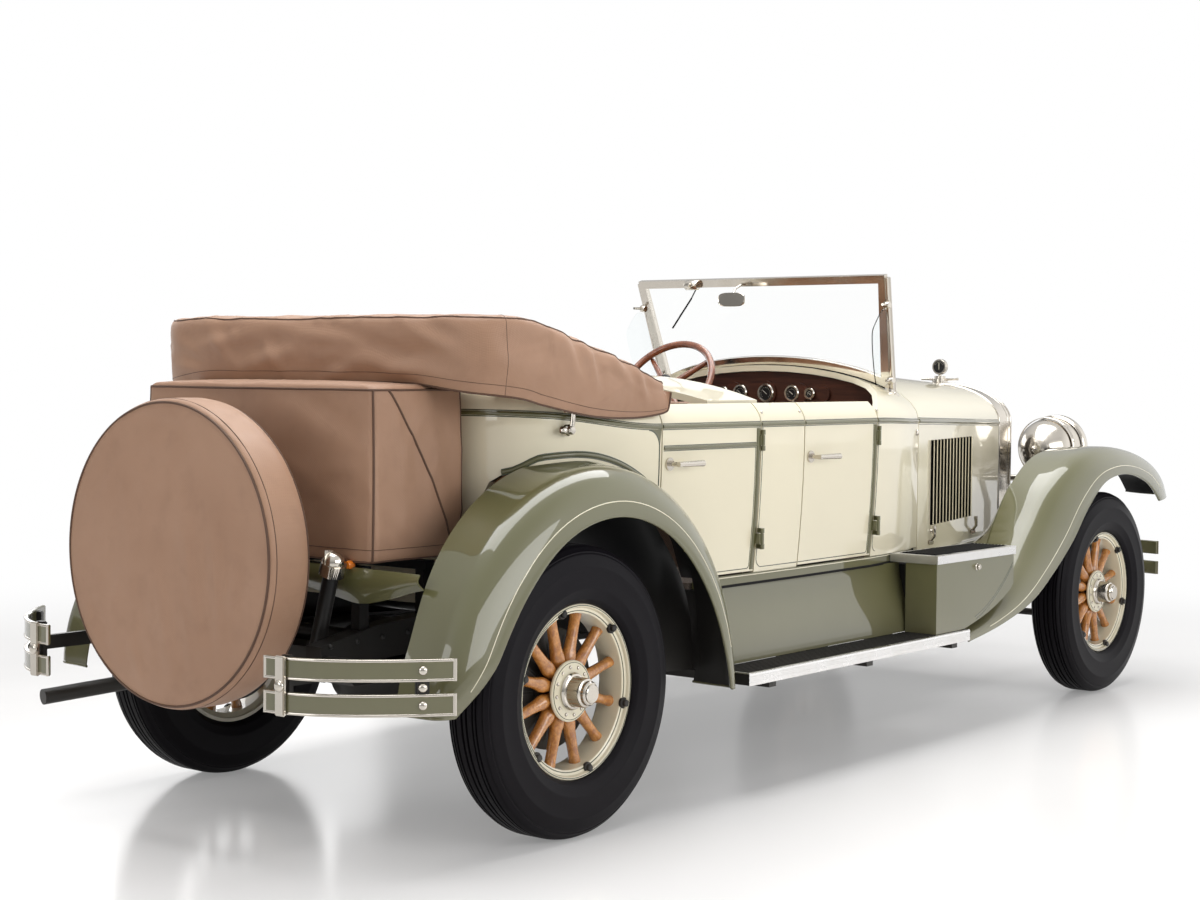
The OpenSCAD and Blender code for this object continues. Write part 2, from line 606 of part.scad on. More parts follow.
module floor_tub() color("#4a4038") difference() {
    union() {
        translate([0, 0, floor_low_z]) linear_extrude(floor_t) polygon(corner_outline(apron_back,
            riser_half));
        block([apron_back - 1, -floor_half, floor_low_z], [front_door_front, floor_half, floor_top_z]);
        block([tub_foot, -180, floor_low_z], [tub_back + 1, 180, floor_top_z]);
        translate([0, 0, floor_low_z]) linear_extrude(floor_t) polygon([[front_door_front - 1, -floor_half],
            [firewall + 12, -toe_half], [firewall + 12, toe_half], [front_door_front - 1, floor_half]]);
        cross_plate(firewall, firewall + 12) polygon(firewall_outline());
        side_plate(-toe_half + 4, toe_half - 4) polygon([[firewall + 1, floor_top_z + 240], [firewall + 1,
            floor_top_z - 1],
            [firewall - 240, floor_top_z - 1], [firewall - 222, floor_top_z]]);
        translate([0, 0, floor_top_z - 1]) linear_extrude(rear_riser_z - floor_top_z + 1)
            polygon(corner_outline(rear_seat_front - 40, riser_half));
        block([front_seat_back - 40, -riser_half, floor_top_z - 1], [front_seat_front - 40, riser_half,
            front_riser_z]);
        both_sides() block([80, -riser_half, rear_riser_z - 1], [rear_seat_front - 40, -riser_half + 14,
            1050]);
    }
    column_frame() cylinder(h = column_drop, r = column_r + 6);
}

// Dashboard: a board under the cowl's lip with a row of round instruments
dash_station = cowl_lip + 16;
dash_t = 22;
dash_gap = 0.8;
dash_front = dash_station + dash_t;
dash_half = plan_half(dash_front) - wall_t / 2 - dash_gap;
dash_low_z = 1128;
// Columns: side position and radius of an instrument
instrument_table = [[-150, 40], [0, 46], [150, 40], [-262, 28], [262, 28]];
instrument_z = 1248;
module dashboard() color("#5a2f1c") difference() {
    dash_board();
    column_frame() cylinder(h = column_drop, r = column_r + 6);
}
module dash_board() {
    cross_plate(dash_station, dash_station + dash_t)
        polygon(concat([[-dash_half, dash_low_z]],
            [for (k = [0:18]) let (a = 10 * k) [-dash_half * cos(a), belt_at(dash_front)
                + (cowl_crown(dash_front) - belt_at(dash_front) - wall_t / 2 - dash_gap) * sin(a)]],
            [[dash_half, dash_low_z]]));
    for (row = instrument_table)
        translate([dash_station - 10, row[0], instrument_z]) rotate([0, 90, 0]) cylinder(h = 12,
            r = row[1]);
}

// Panels between the doors, and the body behind the rear doors
function flat_low(s) = door_low_z;
function pillar_low(s) = sill_top_z + eps;
module pillar_panels() color(cream) both_sides() {
    side_panel(rear_door_front + shut_gap / 2, front_door_back - shut_gap / 2, 2,
        function (s) pillar_low(s));
    hinge_pins(rear_door_front, rear_hinge_z);
    translate([tonneau_pin.x, -pin_root_y, tonneau_pin.y]) rotate([-90, 0, 0])
        cylinder(h = pin_root_y - tonneau_half + 22, r = tonneau_pin_r);
}

// Door hinges: pins held by two lugs on the body, and a barrel between them on the door
hinge_out = 8;
hinge_r = 6.5;
hinge_pin_r = 3.2;
barrel_h = 36;
lug_h = 16;
barrel_gap = 1;
front_hinge_z = [770, 1090];
rear_hinge_z = [770, 1090];
function hinge_y(s, z) = plan_half(s) - side_in(s, z) + hinge_out;
// The hinge line is upright, so it stands off the side at its fullest
function hinge_line(s) = plan_half(s) + hinge_out;
// A leaf from the hinge line in to the panel's skin, ahead of the line or behind it
module hinge_leaf(s, z, h, ahead) {
    y = plan_half(s) - side_in(s, z);
    block([s + (ahead ? shut_gap / 2 + 0.5 : -14), -hinge_line(s), z],
        [s + (ahead ? 14 : -shut_gap / 2 - 0.5), -y + 8, z + h]);
}
module hinge_pins(s, heights) for (z = heights) {
    translate([s, -hinge_line(s), z - lug_h]) cylinder(h = barrel_h + 2 * lug_h, r = hinge_pin_r);
    for (low = [z - lug_h, z + barrel_h]) {
        translate([s, -hinge_line(s), low]) cylinder(h = lug_h, r = hinge_r);
        hinge_leaf(s, low, lug_h, true);
    }
}
module hinge_barrels(s, heights) for (z = heights) difference() {
    union() {
        translate([s, -hinge_line(s), z + barrel_gap]) cylinder(h = barrel_h - 2 * barrel_gap, r = hinge_r);
        hinge_leaf(s, z + barrel_gap, barrel_h - 2 * barrel_gap, false);
    }
    translate([s, -hinge_line(s), z - 1]) cylinder(h = barrel_h + 2, r = hinge_pin_r + running_gap);
}

corner_centre = 210;
corner_power = 2 / 3.4;
corner_steps = 12;
back_half = belt_half - 7;
quarter_front = rear_door_back - shut_gap / 2;
function quarter_path() = concat(
    [for (i = [0:3]) let (s = mix(quarter_front, corner_centre + 20, i / 3)) [s, -plan_half(s)]],
    [for (k = [0:corner_steps]) let (a = 90 * k / corner_steps)
        [corner_centre - (corner_centre - body_back) * pow(sin(a), corner_power),
            -plan_half(corner_centre) * pow(cos(a), corner_power)]]);
function quarter_full() = let (p = quarter_path(), n = len(p))
    concat(p, [for (k = [n - 2:-1:0]) [p[k].x, -p[k].y]]);
function quarter_low(p) = abs(p.y) > 560 ? max(arch_z(p.x, fender_root_r - 12), floor_low_z + eps)
    : mix(floor_low_z + eps, arch_z(p.x, fender_root_r - 12), ease(share(300, 560, abs(p.y))));
function path_normal(path, i) =
    let (d = path[min(i + 1, len(path) - 1)] - path[max(i - 1, 0)], u = d / norm(d)) [u.y, -u.x];
function quarter_grid(depth) = let (path = quarter_full())
    [for (i = [0:len(path) - 1])
        let (p = path[i], n = path_normal(path, i), end = i == 0 || i == len(path) - 1, m = end ? [0,
            p.y > 0 ? 1 : -1] : -n)
        [for (z = side_heights(p.x, quarter_low(p)))
            let (d = side_in(p.x, z) + depth) [p.x - m.x * d, p.y - m.y * d, z]]];
module rear_body() color(cream) sheet(quarter_grid(wall_t), quarter_grid(0));

// Sill moulding under the doors and the splash apron below it
apron_back = rear_fender_lead + fender_root_r + 14;
apron_front = 2010;
apron_top_y = belt_half - turn_under - 16;
apron_low_y = belt_half + 4;
apron_t = 9;
function sill_ring(s) = let (y = plan_half(s) - turn_under + moulding_out)
    [[s, -y, sill_low_z], [s, -y, sill_top_z], [s, -y + wall_t, sill_top_z], [s, -y + wall_t, sill_low_z]];
// Ledge along the frame that the hood's side panels stand on; drawn in plan
ledge_out = 24;
ledge_in = 40;
module hood_ledge() translate([0, 0, ledge_low_z]) linear_extrude(ledge_t) polygon([
    [hood_back - 30, -plan_half(hood_back) + 8], [hood_back + 20, -plan_half(hood_back + 20) - ledge_out],
    [radiator_back - 6, -radiator_half - ledge_out], [radiator_back - 6, -radiator_half + ledge_in],
    [hood_back + 20, -plan_half(hood_back + 20) + ledge_in], [hood_back - 30,
        -plan_half(hood_back) + ledge_in]]);
module side_aprons() color(green) both_sides() {
    hood_ledge();
    loft([for (s = [apron_back, front_door_back, front_door_front, mix(front_door_front, hood_back, 0.5),
        hood_back - 2])
        sill_ring(s)]);
    translate([apron_back, 0, 0]) rotate([90, 0, 90]) linear_extrude(apron_front - apron_back)
        polygon(concat(
            [for (k = [0:8]) let (t = k / 8) [-mix(apron_top_y, apron_low_y, ease(t)), mix(sill_low_z + 1,
                board_top_z + eps, t)]],
            [for (k = [8:-1:0]) let (t = k / 8)
                [-mix(apron_top_y, apron_low_y, ease(t)) + apron_t, mix(sill_low_z + 1, board_top_z + eps,
                    t)]]));
}

// Seats: cushion and back in one side outline, drawn across the car
module seat(half, outline) color(leather) side_plate(-half, half) polygon(outline);
seat_gap = eps;
module front_seat() seat(riser_half - 30, [[front_seat_back + 60, front_riser_z + seat_gap],
    [front_seat_front, front_riser_z + seat_gap], [front_seat_front + 14, 900], [front_seat_front + 4, 948],
    [front_seat_front - 40, 968], [front_seat_back + 190, 950], [front_seat_back + 84, 1200],
    [front_seat_back + 62, 1222], [front_seat_back + 10, 1226], [front_seat_back - 18, 1208],
    [front_seat_back + 14, 940]]);
seat_back_rows = [[tub_back + 6, 400], [tub_back + 44, 452], [tub_back + 124, 520], [tub_back + 220,
    riser_half - 24]];
module rear_seat() intersection() {
    seat(riser_half - 24, [[tub_back + 6, rear_riser_z + seat_gap],
        [rear_seat_front, rear_riser_z + seat_gap], [rear_seat_front + 14, 910], [rear_seat_front + 4, 960],
        [rear_seat_front - 40, 980], [116, 962], [20, 1205], [-4, 1232], [-50, 1236], [tub_back + 6,
            1226]]);
    linear_extrude(3000) polygon(concat([for (r = seat_back_rows) [r[0], -r[1]]],
        [[rear_seat_front + 60, 24 - riser_half], [rear_seat_front + 60, riser_half - 24]],
        [for (i = [len(seat_back_rows) - 1:-1:0]) [seat_back_rows[i][0], seat_back_rows[i][1]]]));
}

// Steering: column, wheel, knuckles and tie rod
steering_y = 330;
steering_hub = [1905, steering_y, 1272];
column_dir = [cos(column_slope), 0, -sin(column_slope)];
column_r = 20;
column_drop = 760;
box_station = 2500;
module column_frame() translate(steering_hub) rotate([0, 90 + column_slope, 0]) children();
module steering_column() color(black) {
    steering_box();
    column_frame() {
        translate([0, 0, 36]) cylinder(h = column_drop - 36, r = column_r);
        translate([0, 0, -26]) cylinder(h = 80, r = column_r / 2);
    }
}
// Steering box on the left frame rail, at the foot of the column
module steering_box() block([box_station, steering_y - 34, rail_top_z + eps],
    [box_station + 110, steering_y + 34, ledge_low_z + 214]);
module steering_wheel() color(wood) column_frame() difference() {
    union() {
        rotate_extrude() translate([steering_wheel_d / 2 - steering_rim / 2,
            0]) circle(r = steering_rim / 2);
        for (k = [0:3]) rotate([0, 0, 45 + 90 * k]) translate([20, 0, 12]) rotate([0, 90 - 3, 0])
            cylinder(h = steering_wheel_d / 2 - steering_rim - 14, r1 = 13, r2 = 10);
        translate([0, 0, -22]) cylinder(h = 50, r = 36);
    }
    translate([0, 0, -60]) cylinder(h = 120, r = column_r / 2 + running_gap);
}

knuckle_web = 14;
web_y = hub_back_y - 0;
ear_t = 28;
ear_gap = 6;
arm_low_z = tyre_r - eye_h / 2 - ear_gap - ear_t;
arm_pin_d = 20;
tie_rod_z = arm_low_z - 34;
spindle_out = 46;
// Right-hand knuckle: a yoke on the kingpin, the spindle outside it and the steering arm behind it
module knuckle() color(black) translate([wheelbase, 0, 0]) {
    for (z = [arm_low_z, tyre_r + eye_h / 2 + ear_gap])
        block([-24, -web_y, z], [24, -kingpin_y + axle_eye_r, z + ear_t]);
    block([-34, -web_y, arm_low_z], [34, -web_y + knuckle_web, tyre_r + eye_h / 2 + ear_gap + ear_t]);
    translate([0, -kingpin_y, arm_low_z]) cylinder(h = eye_h + 2 * (ear_gap + ear_t), r = kingpin_d / 2);
    translate([0, -web_y + 1, tyre_r]) rotate([90, 0, 0]) cylinder(h = drum_in + shut_gap + spindle_out,
        r = spindle_d / 2);
    block([-steer_arm - 18, -kingpin_y - 16, arm_low_z], [-20, -kingpin_y + 16, arm_low_z + 22]);
    translate([-steer_arm, -kingpin_y, tie_rod_z - 14]) cylinder(h = arm_low_z + 10 - tie_rod_z + 14,
        r = arm_pin_d / 2);
}
module tie_rod() color(black) translate([wheelbase - steer_arm, 0, tie_rod_z]) difference() {
    union() {
        translate([0, kingpin_y - 14, 8]) rotate([90, 0, 0]) cylinder(h = 2 * kingpin_y - 28, r = 14);
        both_sides() translate([0, -kingpin_y, -6]) cylinder(h = 28, r = arm_pin_d / 2 + 12);
    }
    both_sides() translate([0, -kingpin_y, -40]) cylinder(h = 90, r = arm_pin_d / 2 + running_gap);
}

// Wheels, drawn about their own axle with +Z outwards
// Columns: share of the sidewall's height above the rim, share of half the tyre's width
tyre_shape = [[0, 0.64], [0.07, 0.8], [0.24, 0.95], [0.45, 1], [0.66, 0.97], [0.82, 0.89], [0.92, 0.76],
    [0.95, 0.71], [0.935, 0.66], [0.975, 0.6], [1, 0.42], [1, 0.4], [0.96, 0.38], [0.96, 0.33], [1, 0.31],
    [1, 0.14], [0.96, 0.12], [0.96, 0.07], [1, 0.05]];
bead_r = rim_d / 2 + eps;
function tyre_point(row, side) = [mix(bead_r, tyre_r, row[0]), side * row[1] * tyre_w / 2];
module tyre() color(black) rotate_extrude() polygon(concat(
    [for (row = tyre_shape) tyre_point(row, 1)],
    [for (i = [len(tyre_shape) - 1:-1:0]) tyre_point(tyre_shape[i], -1)]));

felloe_in = rim_d / 2 - 28;
rim_edge = 12;
module rim() color(cream) rotate_extrude() polygon([[felloe_in, -rim_w / 2 + 14], [felloe_in,
    rim_w / 2 - 14],
    [rim_d / 2 - rim_edge, rim_w / 2 - 8], [rim_d / 2 - rim_edge, rim_w / 2], [rim_d / 2, rim_w / 2],
    [rim_d / 2, -rim_w / 2], [rim_d / 2 - rim_edge, -rim_w / 2], [rim_d / 2 - rim_edge, -rim_w / 2 + 8]]);
hub_bore_r = spindle_d / 2 + running_gap;
bore_end = spindle_out + 6;
flange_t = 9;
boss_half = spoke_root_d / 2 + 4;
module hub() color(nickel) rotate_extrude() polygon([[hub_bore_r, -drum_in], [drum_d / 2, -drum_in],
    [drum_d / 2, -drum_in + 44], [drum_d / 2 - 12, -drum_in + 48], [hub_flange_d / 2, -boss_half - 6],
    [hub_flange_d / 2, boss_half + flange_t], [hub_cap_d / 2 + 8, boss_half + flange_t + 3],
    [hub_cap_d / 2, boss_half + flange_t + 8], [hub_cap_d / 2, hub_cap_out - 22], [hub_cap_d / 2 - 6,
        hub_cap_out - 18],
    [hub_cap_d / 2 - 16, hub_cap_out - 16], [hub_cap_d / 2 - 18, hub_cap_out - 2], [hub_cap_d / 2 - 21,
        hub_cap_out],
    [0, hub_cap_out], [0, bore_end], [hub_bore_r, bore_end]]);
module spokes() color(wood) for (k = [0:spoke_count - 1])
    rotate([0, 0, (k + 0.5) * 360 / spoke_count]) translate([hub_flange_d / 2 - 14, 0, 0]) rotate([0, 90,
        0])
        cylinder(h = felloe_in - hub_flange_d / 2 + 18, r1 = spoke_root_d / 2, r2 = spoke_tip_d / 2);
module wheel() {
    rim();
    spokes();
    hub();
}
module at_wheel(station, left) translate([station, (left ? 1 : -1) * track / 2, tyre_r])
    rotate([left ? -90 : 90, 0, 0]) children();

// Doors: a body panel with its handle; the rear doors are cut to clear the fender's arch
function rear_door_low(s) = max(door_low_z, arch_z(s, door_arch_r));
module handle(s, z) {
    y = plan_half(s) - side_in(s, z);
    translate([s, -y + 4, z]) rotate([90, 0, 0]) cylinder(h = 10, r = 20);
    translate([s, -y + 4, z]) rotate([90, 0, 0]) cylinder(h = 52, r = 7);
    translate([s - 8, -y - 42, z]) rotate([0, 90, 0]) cylinder(h = 130, r1 = 8, r2 = 10);
}
handle_z = 1046;
handle_in = 38;
module front_door() {
    color(cream) side_panel(front_door_back + shut_gap / 2, front_door_front - shut_gap / 2, 3,
        function (s) flat_low(s));
    color(cream) hinge_barrels(front_door_front, front_hinge_z);
    color(nickel) handle(front_door_back + handle_in, handle_z);
}
module rear_door() {
    color(cream) side_panel(rear_door_back + shut_gap / 2, rear_door_front - shut_gap / 2, 8,
        function (s) rear_door_low(s));
    color(cream) hinge_barrels(rear_door_front, rear_hinge_z);
    color(nickel) handle(rear_door_back + handle_in, handle_z);
}

// Second cowl between the front seat and the rear passengers, hinged along its front edge
tonneau_front = front_seat_back - 52;
tonneau_back = 800;
tonneau_crown = 82;
tonneau_t = 22;
tonneau_half = wall_in - top_roll - shut_gap - 4;
function tonneau_grid(drop) = [for (i = [0:5]) let (t = i / 5)
    [for (k = [-8:8]) let (a = k / 8, bow = 1 - pow(abs(a), 2.4))
        [mix(tonneau_back + 60 * a * a, tonneau_front, t), a * tonneau_half,
            door_top_z + 8 + tonneau_crown * bow * (0.82 + 0.18 * sin(90 * t)) - drop]]];
tonneau_pin_r = 7;
tonneau_boss_r = 15;
tonneau_pin = [tonneau_front - 16, door_top_z - 8];
pin_root_y = wall_in + wall_t - top_roll + 6;
module tonneau_cowl() color(cream) difference() {
    union() {
        sheet(tonneau_grid(0), tonneau_grid(tonneau_t));
        both_sides() translate([tonneau_pin.x, -tonneau_half, tonneau_pin.y]) rotate([-90, 0, 0])
            cylinder(h = 30, r = tonneau_boss_r);
        both_sides() block([tonneau_pin.x - 10, -tonneau_half + 1, tonneau_pin.y], [tonneau_pin.x + 10,
            -tonneau_half + 29,
            door_top_z]);
    }
    both_sides() translate([tonneau_pin.x, -tonneau_half - 2, tonneau_pin.y]) rotate([-90, 0, 0])
        cylinder(h = 34, r = tonneau_pin_r + running_gap);
}

// Windshield: a frame with an arched foot, leaning back, with a wing on each post
rake_h = (windshield_top_z - belt_at(windshield_foot)) / cos(windshield_rake);
foot_lift = 8;
function foot_line(y) = let (s = windshield_foot - 62, c = sqrt(max(0, 1 - pow(y / plan_half(s), 2))))
    (cowl_crown(s) - belt_at(windshield_foot)) * c / cos(windshield_rake) + foot_lift;
function windshield_outline(inset) = concat(
    [for (k = [-8:8]) let (y = k / 8 * (windshield_foot_half - inset)) [y, foot_line(y) + inset]],
    [[windshield_top_half - inset, rake_h - inset], [inset - windshield_top_half, rake_h - inset]]);
// A boss on the cowl under each end of the windshield's foot
foot_rise = foot_line(windshield_foot_half);
foot_corner = [windshield_foot - foot_rise * sin(windshield_rake),
    belt_at(windshield_foot) + foot_rise * cos(windshield_rake)];
frame_t = 24;
module windshield_foot_boss()
    translate([foot_corner.x, -windshield_foot_half + 2, foot_corner.y - foot_lift - 12])
        cylinder(h = foot_lift + 12 - frame_t / 2 * sin(windshield_rake) - eps, r = 17);
module windshield_plane(t) translate([windshield_foot, 0, belt_at(windshield_foot)]) rotate([0,
    -windshield_rake, 0])
    translate([-t / 2, 0, 0]) rotate([90, 0, 90]) linear_extrude(t) children();
module windshield_frame() color(nickel) {
    windshield_plane(frame_t) difference() {
        polygon(windshield_outline(0));
        polygon(windshield_outline(frame_bar));
    }
}
module windshield_glass() color([0.8, 0.9, 0.9,
    0.3]) windshield_plane(6) polygon(windshield_outline(frame_bar + eps));

// Front fenders: rows from the nose to the running board
// Columns: crown station and height, lip station and height, inner edge station, height and side position
front_fender_rows = [[600, 805, 400, 790, 590, 812, 620], [562, 882, 330, 842, 520, 890, 606],
    [440, 955, 240, 884, 400, 958, 598], [235, 1008, 110, 914, 215, 1004, 594], [-25, 1028, -30, 918, -25,
        1022, 592],
    [-290, 994, -180, 884, -285, 990, 592], [-500, 888, -325, 790, -480, 890, 596], [-662, 742, -455, 672,
        -640, 748, 606],
    [-820, 604, -625, 556, -795, 614, 640], [-985, 496, -815, 456, -965, 506, 690],
    [-1150, 424, -1060, 392, -1140, 434, 716],
    [-1318, board_top_z - 5, -1318, board_top_z - 42, -1318, board_top_z - 4, 718]];
fender_crown_y = 745;
fender_fine = 2;
// From the inner edge over the crown and round to the lip
function fender_section(inner, crown, lip) = concat(
    [for (k = [0:2]) let (t = k / 3) [mix(inner.x, crown.x, sin(90 * t)), mix(inner.y, crown.y, t),
        mix(inner.z, crown.z, sin(90 * t))]],
    [for (k = [0:6]) let (a = 15 * k) [mix(crown.x, lip.x, 1 - cos(a)), mix(crown.y, lip.y, sin(a)),
        mix(crown.z, lip.z, 1 - cos(a))]]);
function front_fender_grid() = [for (i = [0:(len(front_fender_rows) - 1) * fender_fine])
    let (r = row_at(front_fender_rows, i / fender_fine))
    fender_section([wheelbase + r[4], -r[6], r[5]], [wheelbase + r[0], -fender_crown_y, r[1]],
        [wheelbase + r[2], -fender_half, r[3]])];
// Valance from the fender's inner edge down to the hood ledge, ahead of the step box and behind the wheel
valance_rows = [6, 9];
valance_t = 6;
valance_steps = 8;
function valance_top(r) = [wheelbase + r[4], fender_t + eps - r[6], r[5] - 3];
function valance_foot(r) = let (s = wheelbase + r[4]) [s, -plan_half(s) - ledge_out - eps, ledge_low_z];
function valance_grid() = [for (i = [0:valance_steps])
    let (r = row_at(front_fender_rows, mix(valance_rows[0], valance_rows[1], i / valance_steps)))
    [for (k = [0:3]) let (a = valance_top(r), b = valance_foot(r), t = k / 3)
        [mix(a.x, b.x, t), mix(a.y, b.y, t), mix(a.z, b.z, t) - 30 * sin(180 * t)]]];
module front_fenders() color(green) both_sides() {
    g = front_fender_grid();
    sheet(g, grid_offset(g, -fender_t));
    v = valance_grid();
    sheet(grid_shift(v, [0, 0, -valance_t]), v);
}

// Rear fenders: a section turned about the wheel, flared a little at the tail
// Columns: angle from straight ahead, growth of crown and lip radius, reach of the inner edge beyond its
// tail towards the trunk
rear_fender_rows = [[-6, 0, 78, 0], [12, 0, 36, 0], [35, 0, 8, 0], [60, 0, 0, 20], [90, 0, 0, 92], [115, 0,
    0, 132], [140, 4, 0, 92],
    [160, 14, 22, 22], [174, 34, 84, 0]];
function polar(r, a) = [rear_fender_lead + r * cos(a), tyre_r + r * sin(a)];
function corner_half(s) = s >= corner_centre ? plan_half(s)
    : plan_half(corner_centre) * pow(max(0, 1 - pow(min(1,
        (corner_centre - s) / (corner_centre - body_back)),
        2 / corner_power)), corner_power / 2);
fender_in = 652;
function fender_root_y(s, z, reach) =
    max(fender_in - reach, corner_half(s) - (s > corner_centre ? 0.6 * side_in(s, min(z, belt_z))
        : -6 - 25 * pow(share(corner_centre, body_back, s), 2)) + 0.6);
function rear_fender_grid() = [for (i = [0:(len(rear_fender_rows) - 1) * 3])
    let (r = row_at(rear_fender_rows, i / 3), root = polar(fender_root_r + r[1], r[0]),
        crown = polar(rear_crown_r + r[1], r[0]), lip = polar(rear_lip_r + r[2], r[0]))
    fender_section([root.x, -fender_root_y(root.x, root.y, r[3]), root.y], [crown.x, -fender_crown_y - 15,
        crown.y],
        [lip.x, -fender_half, lip.y])];
module rear_fenders() color(green) both_sides() {
    g = rear_fender_grid();
    sheet(g, grid_offset(g, -fender_t));
}
// Apron across the car under the trunk, with a lower edge that dips at the frame horns
apron_top_z = rack_z - 46 - eps;
apron_half = fender_in - 54;
module rear_apron() color(green)
    cross_plate(trunk_back - 8, trunk_back)
        polygon(concat([[-apron_half, apron_top_z - 12], [-apron_half, apron_top_z - 88]],
            [for (k = [-10:10]) [k * 56, apron_top_z - 52 - (abs(k) > 4 ? 34 : 14) * cos(k * 60)]],
            [[apron_half, apron_top_z - 88], [apron_half, apron_top_z - 12], [apron_half - 74, apron_top_z],
                [74 - apron_half, apron_top_z]]));

// Running boards with ribbed tops, and the step boxes at their front ends
board_in = apron_low_y - apron_t;
board_back = rear_fender_lead + fender_root_r + 12;
board_front = wheelbase - 1318 - eps;
rib_pitch = 16;
module running_boards() color(black) both_sides() {
    block([board_back, -fender_half, board_top_z - board_t], [board_front, -board_in, board_top_z - 3]);
    for (y = [board_in + 22:rib_pitch:fender_half - 22])
        block([board_back + 10, -y - 5, board_top_z - 4], [board_front - 10, -y + 5, board_top_z]);
}
step_back = wheelbase - 1543;
step_front = wheelbase - 945;
step_in = 654;
step_out = fender_half - 16;
lid_t = 30;
lid_over = 6;
function step_outline() = concat(
    [[step_front, step_top_z - lid_t], [step_back, step_top_z - lid_t], [step_back, board_top_z + eps],
        [board_front - 20, board_top_z + eps]],
    [for (i = [0:6]) let (r = row_at(front_fender_rows, len(front_fender_rows) - 1 - i / 3),
        s = wheelbase + r[4])
        if (s < step_front - 8) [s, r[5] + 8]],
    [[step_front, 534]]);
module step_boxes() both_sides() {
    color(green) side_plate(-step_out, -apron_low_y - 6) polygon(step_outline());
    color(nickel) block([step_back - lid_over, -step_out - lid_over, step_top_z - lid_t],
        [step_front + lid_over, -step_in, step_top_z]);
}

// Headlamps: a drum with a rounded back, its rim and post; a bar ties the pair together
lamp_y = 400;
lamp_z = 1006;
lamp_r = 138;
lamp_station = wheelbase + 110;
lamp_len = 240;
lens_t = 10;
// Height of the rail's top under a lamp post
lamp_foot_z = mix(rail_rows[7][1], rail_rows[8][1], share(rail_rows[7][0], rail_rows[8][0],
    lamp_station + 81)) + eps;
module headlamp_shell() translate([lamp_station, -lamp_y, lamp_z]) rotate([0, 90,
    0]) rotate_extrude() polygon(concat(
    [for (k = [0:8]) let (a = 90 * k / 8) [lamp_r * 0.92 * sin(a), lamp_len * 0.62 * (1 - cos(a))]],
    [[lamp_r * 0.95, lamp_len - 40], [lamp_r, lamp_len - 36], [lamp_r, lamp_len], [lamp_r - 12, lamp_len],
        [lamp_r - 12, lamp_len - 26], [0, lamp_len - 26]]));
module headlamps() color(nickel) {
    both_sides() {
        headlamp_shell();
        bar([lamp_station + 96, -lamp_y, lamp_z - lamp_r * 0.7], [lamp_station + 96, -lamp_y, 850], 17);
        bar([lamp_station + 96, -lamp_y - 1, 866], [lamp_station + 96, -spring_y + 1, 752], 14);
        bar([lamp_station + 96, -spring_y, 768], [lamp_station + 96, -spring_y, lamp_foot_z], 16);
    }
    bar([lamp_station + 96, -lamp_y, 870], [lamp_station + 96, lamp_y, 870], 14);
}
module headlamp_lenses() color([0.9, 0.95, 0.95, 0.5]) both_sides()
    translate([lamp_station + lamp_len - 26 + eps, -lamp_y, lamp_z]) rotate([0, 90, 0]) rotate_extrude()
        polygon([[0, 0], [lamp_r - 12 - eps, 0], [lamp_r - 12 - eps, lens_t], [(lamp_r - 12) * 0.6,
            lens_t + 9], [0, lens_t + 13]]);

// Bumpers: pairs of flat spring bars, bowed in plan, with clamps and brackets
bumper_bar_t = 12;
bumper_bar_h = 58;
front_bumper_half = 735;
front_bumper_bow = 70;
front_bar_z = [440, 530];
rear_bar_z = [440, 530];
rear_bar_in = 440;
rear_bar_out = 850;
rear_bar_wrap = 190;
function bow(points, t) = concat(points, [for (i = [len(points) - 1:-1:0]) points[i] + [t, 0]]);
front_bow = [for (k = [-10:10]) let (a = k / 10)
    [wheelbase + front_overhang - bumper_bar_t - front_bumper_bow * pow(abs(a), 3), a * front_bumper_half]];
rear_bow = [for (k = [0:10]) let (a = k / 10)
    [-rear_overhang + rear_bar_wrap * pow(a, 2.2), -mix(rear_bar_in, rear_bar_out, a)]];
module front_bumper() {
    for (z = front_bar_z) translate([0, 0, z]) linear_extrude(bumper_bar_h) polygon(bow(front_bow,
        bumper_bar_t));
    both_sides() {
        block([wheelbase + front_overhang - 44, -rail_half + 6, front_bar_z[0] + 10],
            [wheelbase + front_overhang - bumper_bar_t - 4, -rail_half + 46,
                front_bar_z[1] + bumper_bar_h - 10]);
        block([horn.x + tow_boss_r + eps, -rail_half + 14, horn.y - 12],
            [wheelbase + front_overhang - 40, -rail_half + 38, horn.y + 24]);
    }
}
module rear_bumper() {
    for (z = rear_bar_z) translate([0, 0, z]) linear_extrude(bumper_bar_h) polygon(bow(rear_bow,
        bumper_bar_t));
    block([-rear_overhang + 8, -rear_bar_in - 74, rear_bar_z[0] - 6],
        [-rear_overhang + 26, -rear_bar_in - 42, rear_bar_z[1] + bumper_bar_h + 6]);
    block([-rear_overhang + 20, -rear_bar_in - 70, 510], [-604, -rear_bar_in - 46, 550]);
    block([-632, -rear_bar_in - 70, 510], [-604, -rail_half - eps, 550]);
}
module bumpers() color(green) {
    front_bumper();
    both_sides() rear_bumper();
}

// Trunk under its canvas cover: rounded corners and slightly full sides
function round_rect(half_x, half_y, power, n) = [for (k = [0:n - 1]) let (a = -360 * k / n, c = cos(a),
    s = sin(a))
    [half_x * sign(c) * pow(abs(c), power), half_y * sign(s) * pow(abs(s), power)]];
trunk_corner = 0.16;
// Columns: share of the height, share of the plan size
trunk_rows = [[0, 0.985], [0.03, 0.995], [0.5, 1], [0.94, 0.985], [0.985, 0.965], [1, 0.93]];
module trunk_cover() color(canvas) loft([for (r = trunk_rows)
    [for (p = round_rect(trunk_d / 2 * r[1], trunk_w / 2 * r[1], trunk_corner, 32))
        [(trunk_front + trunk_back) / 2 + p.x, p.y, trunk_low_z + trunk_h * r[0]]]]);

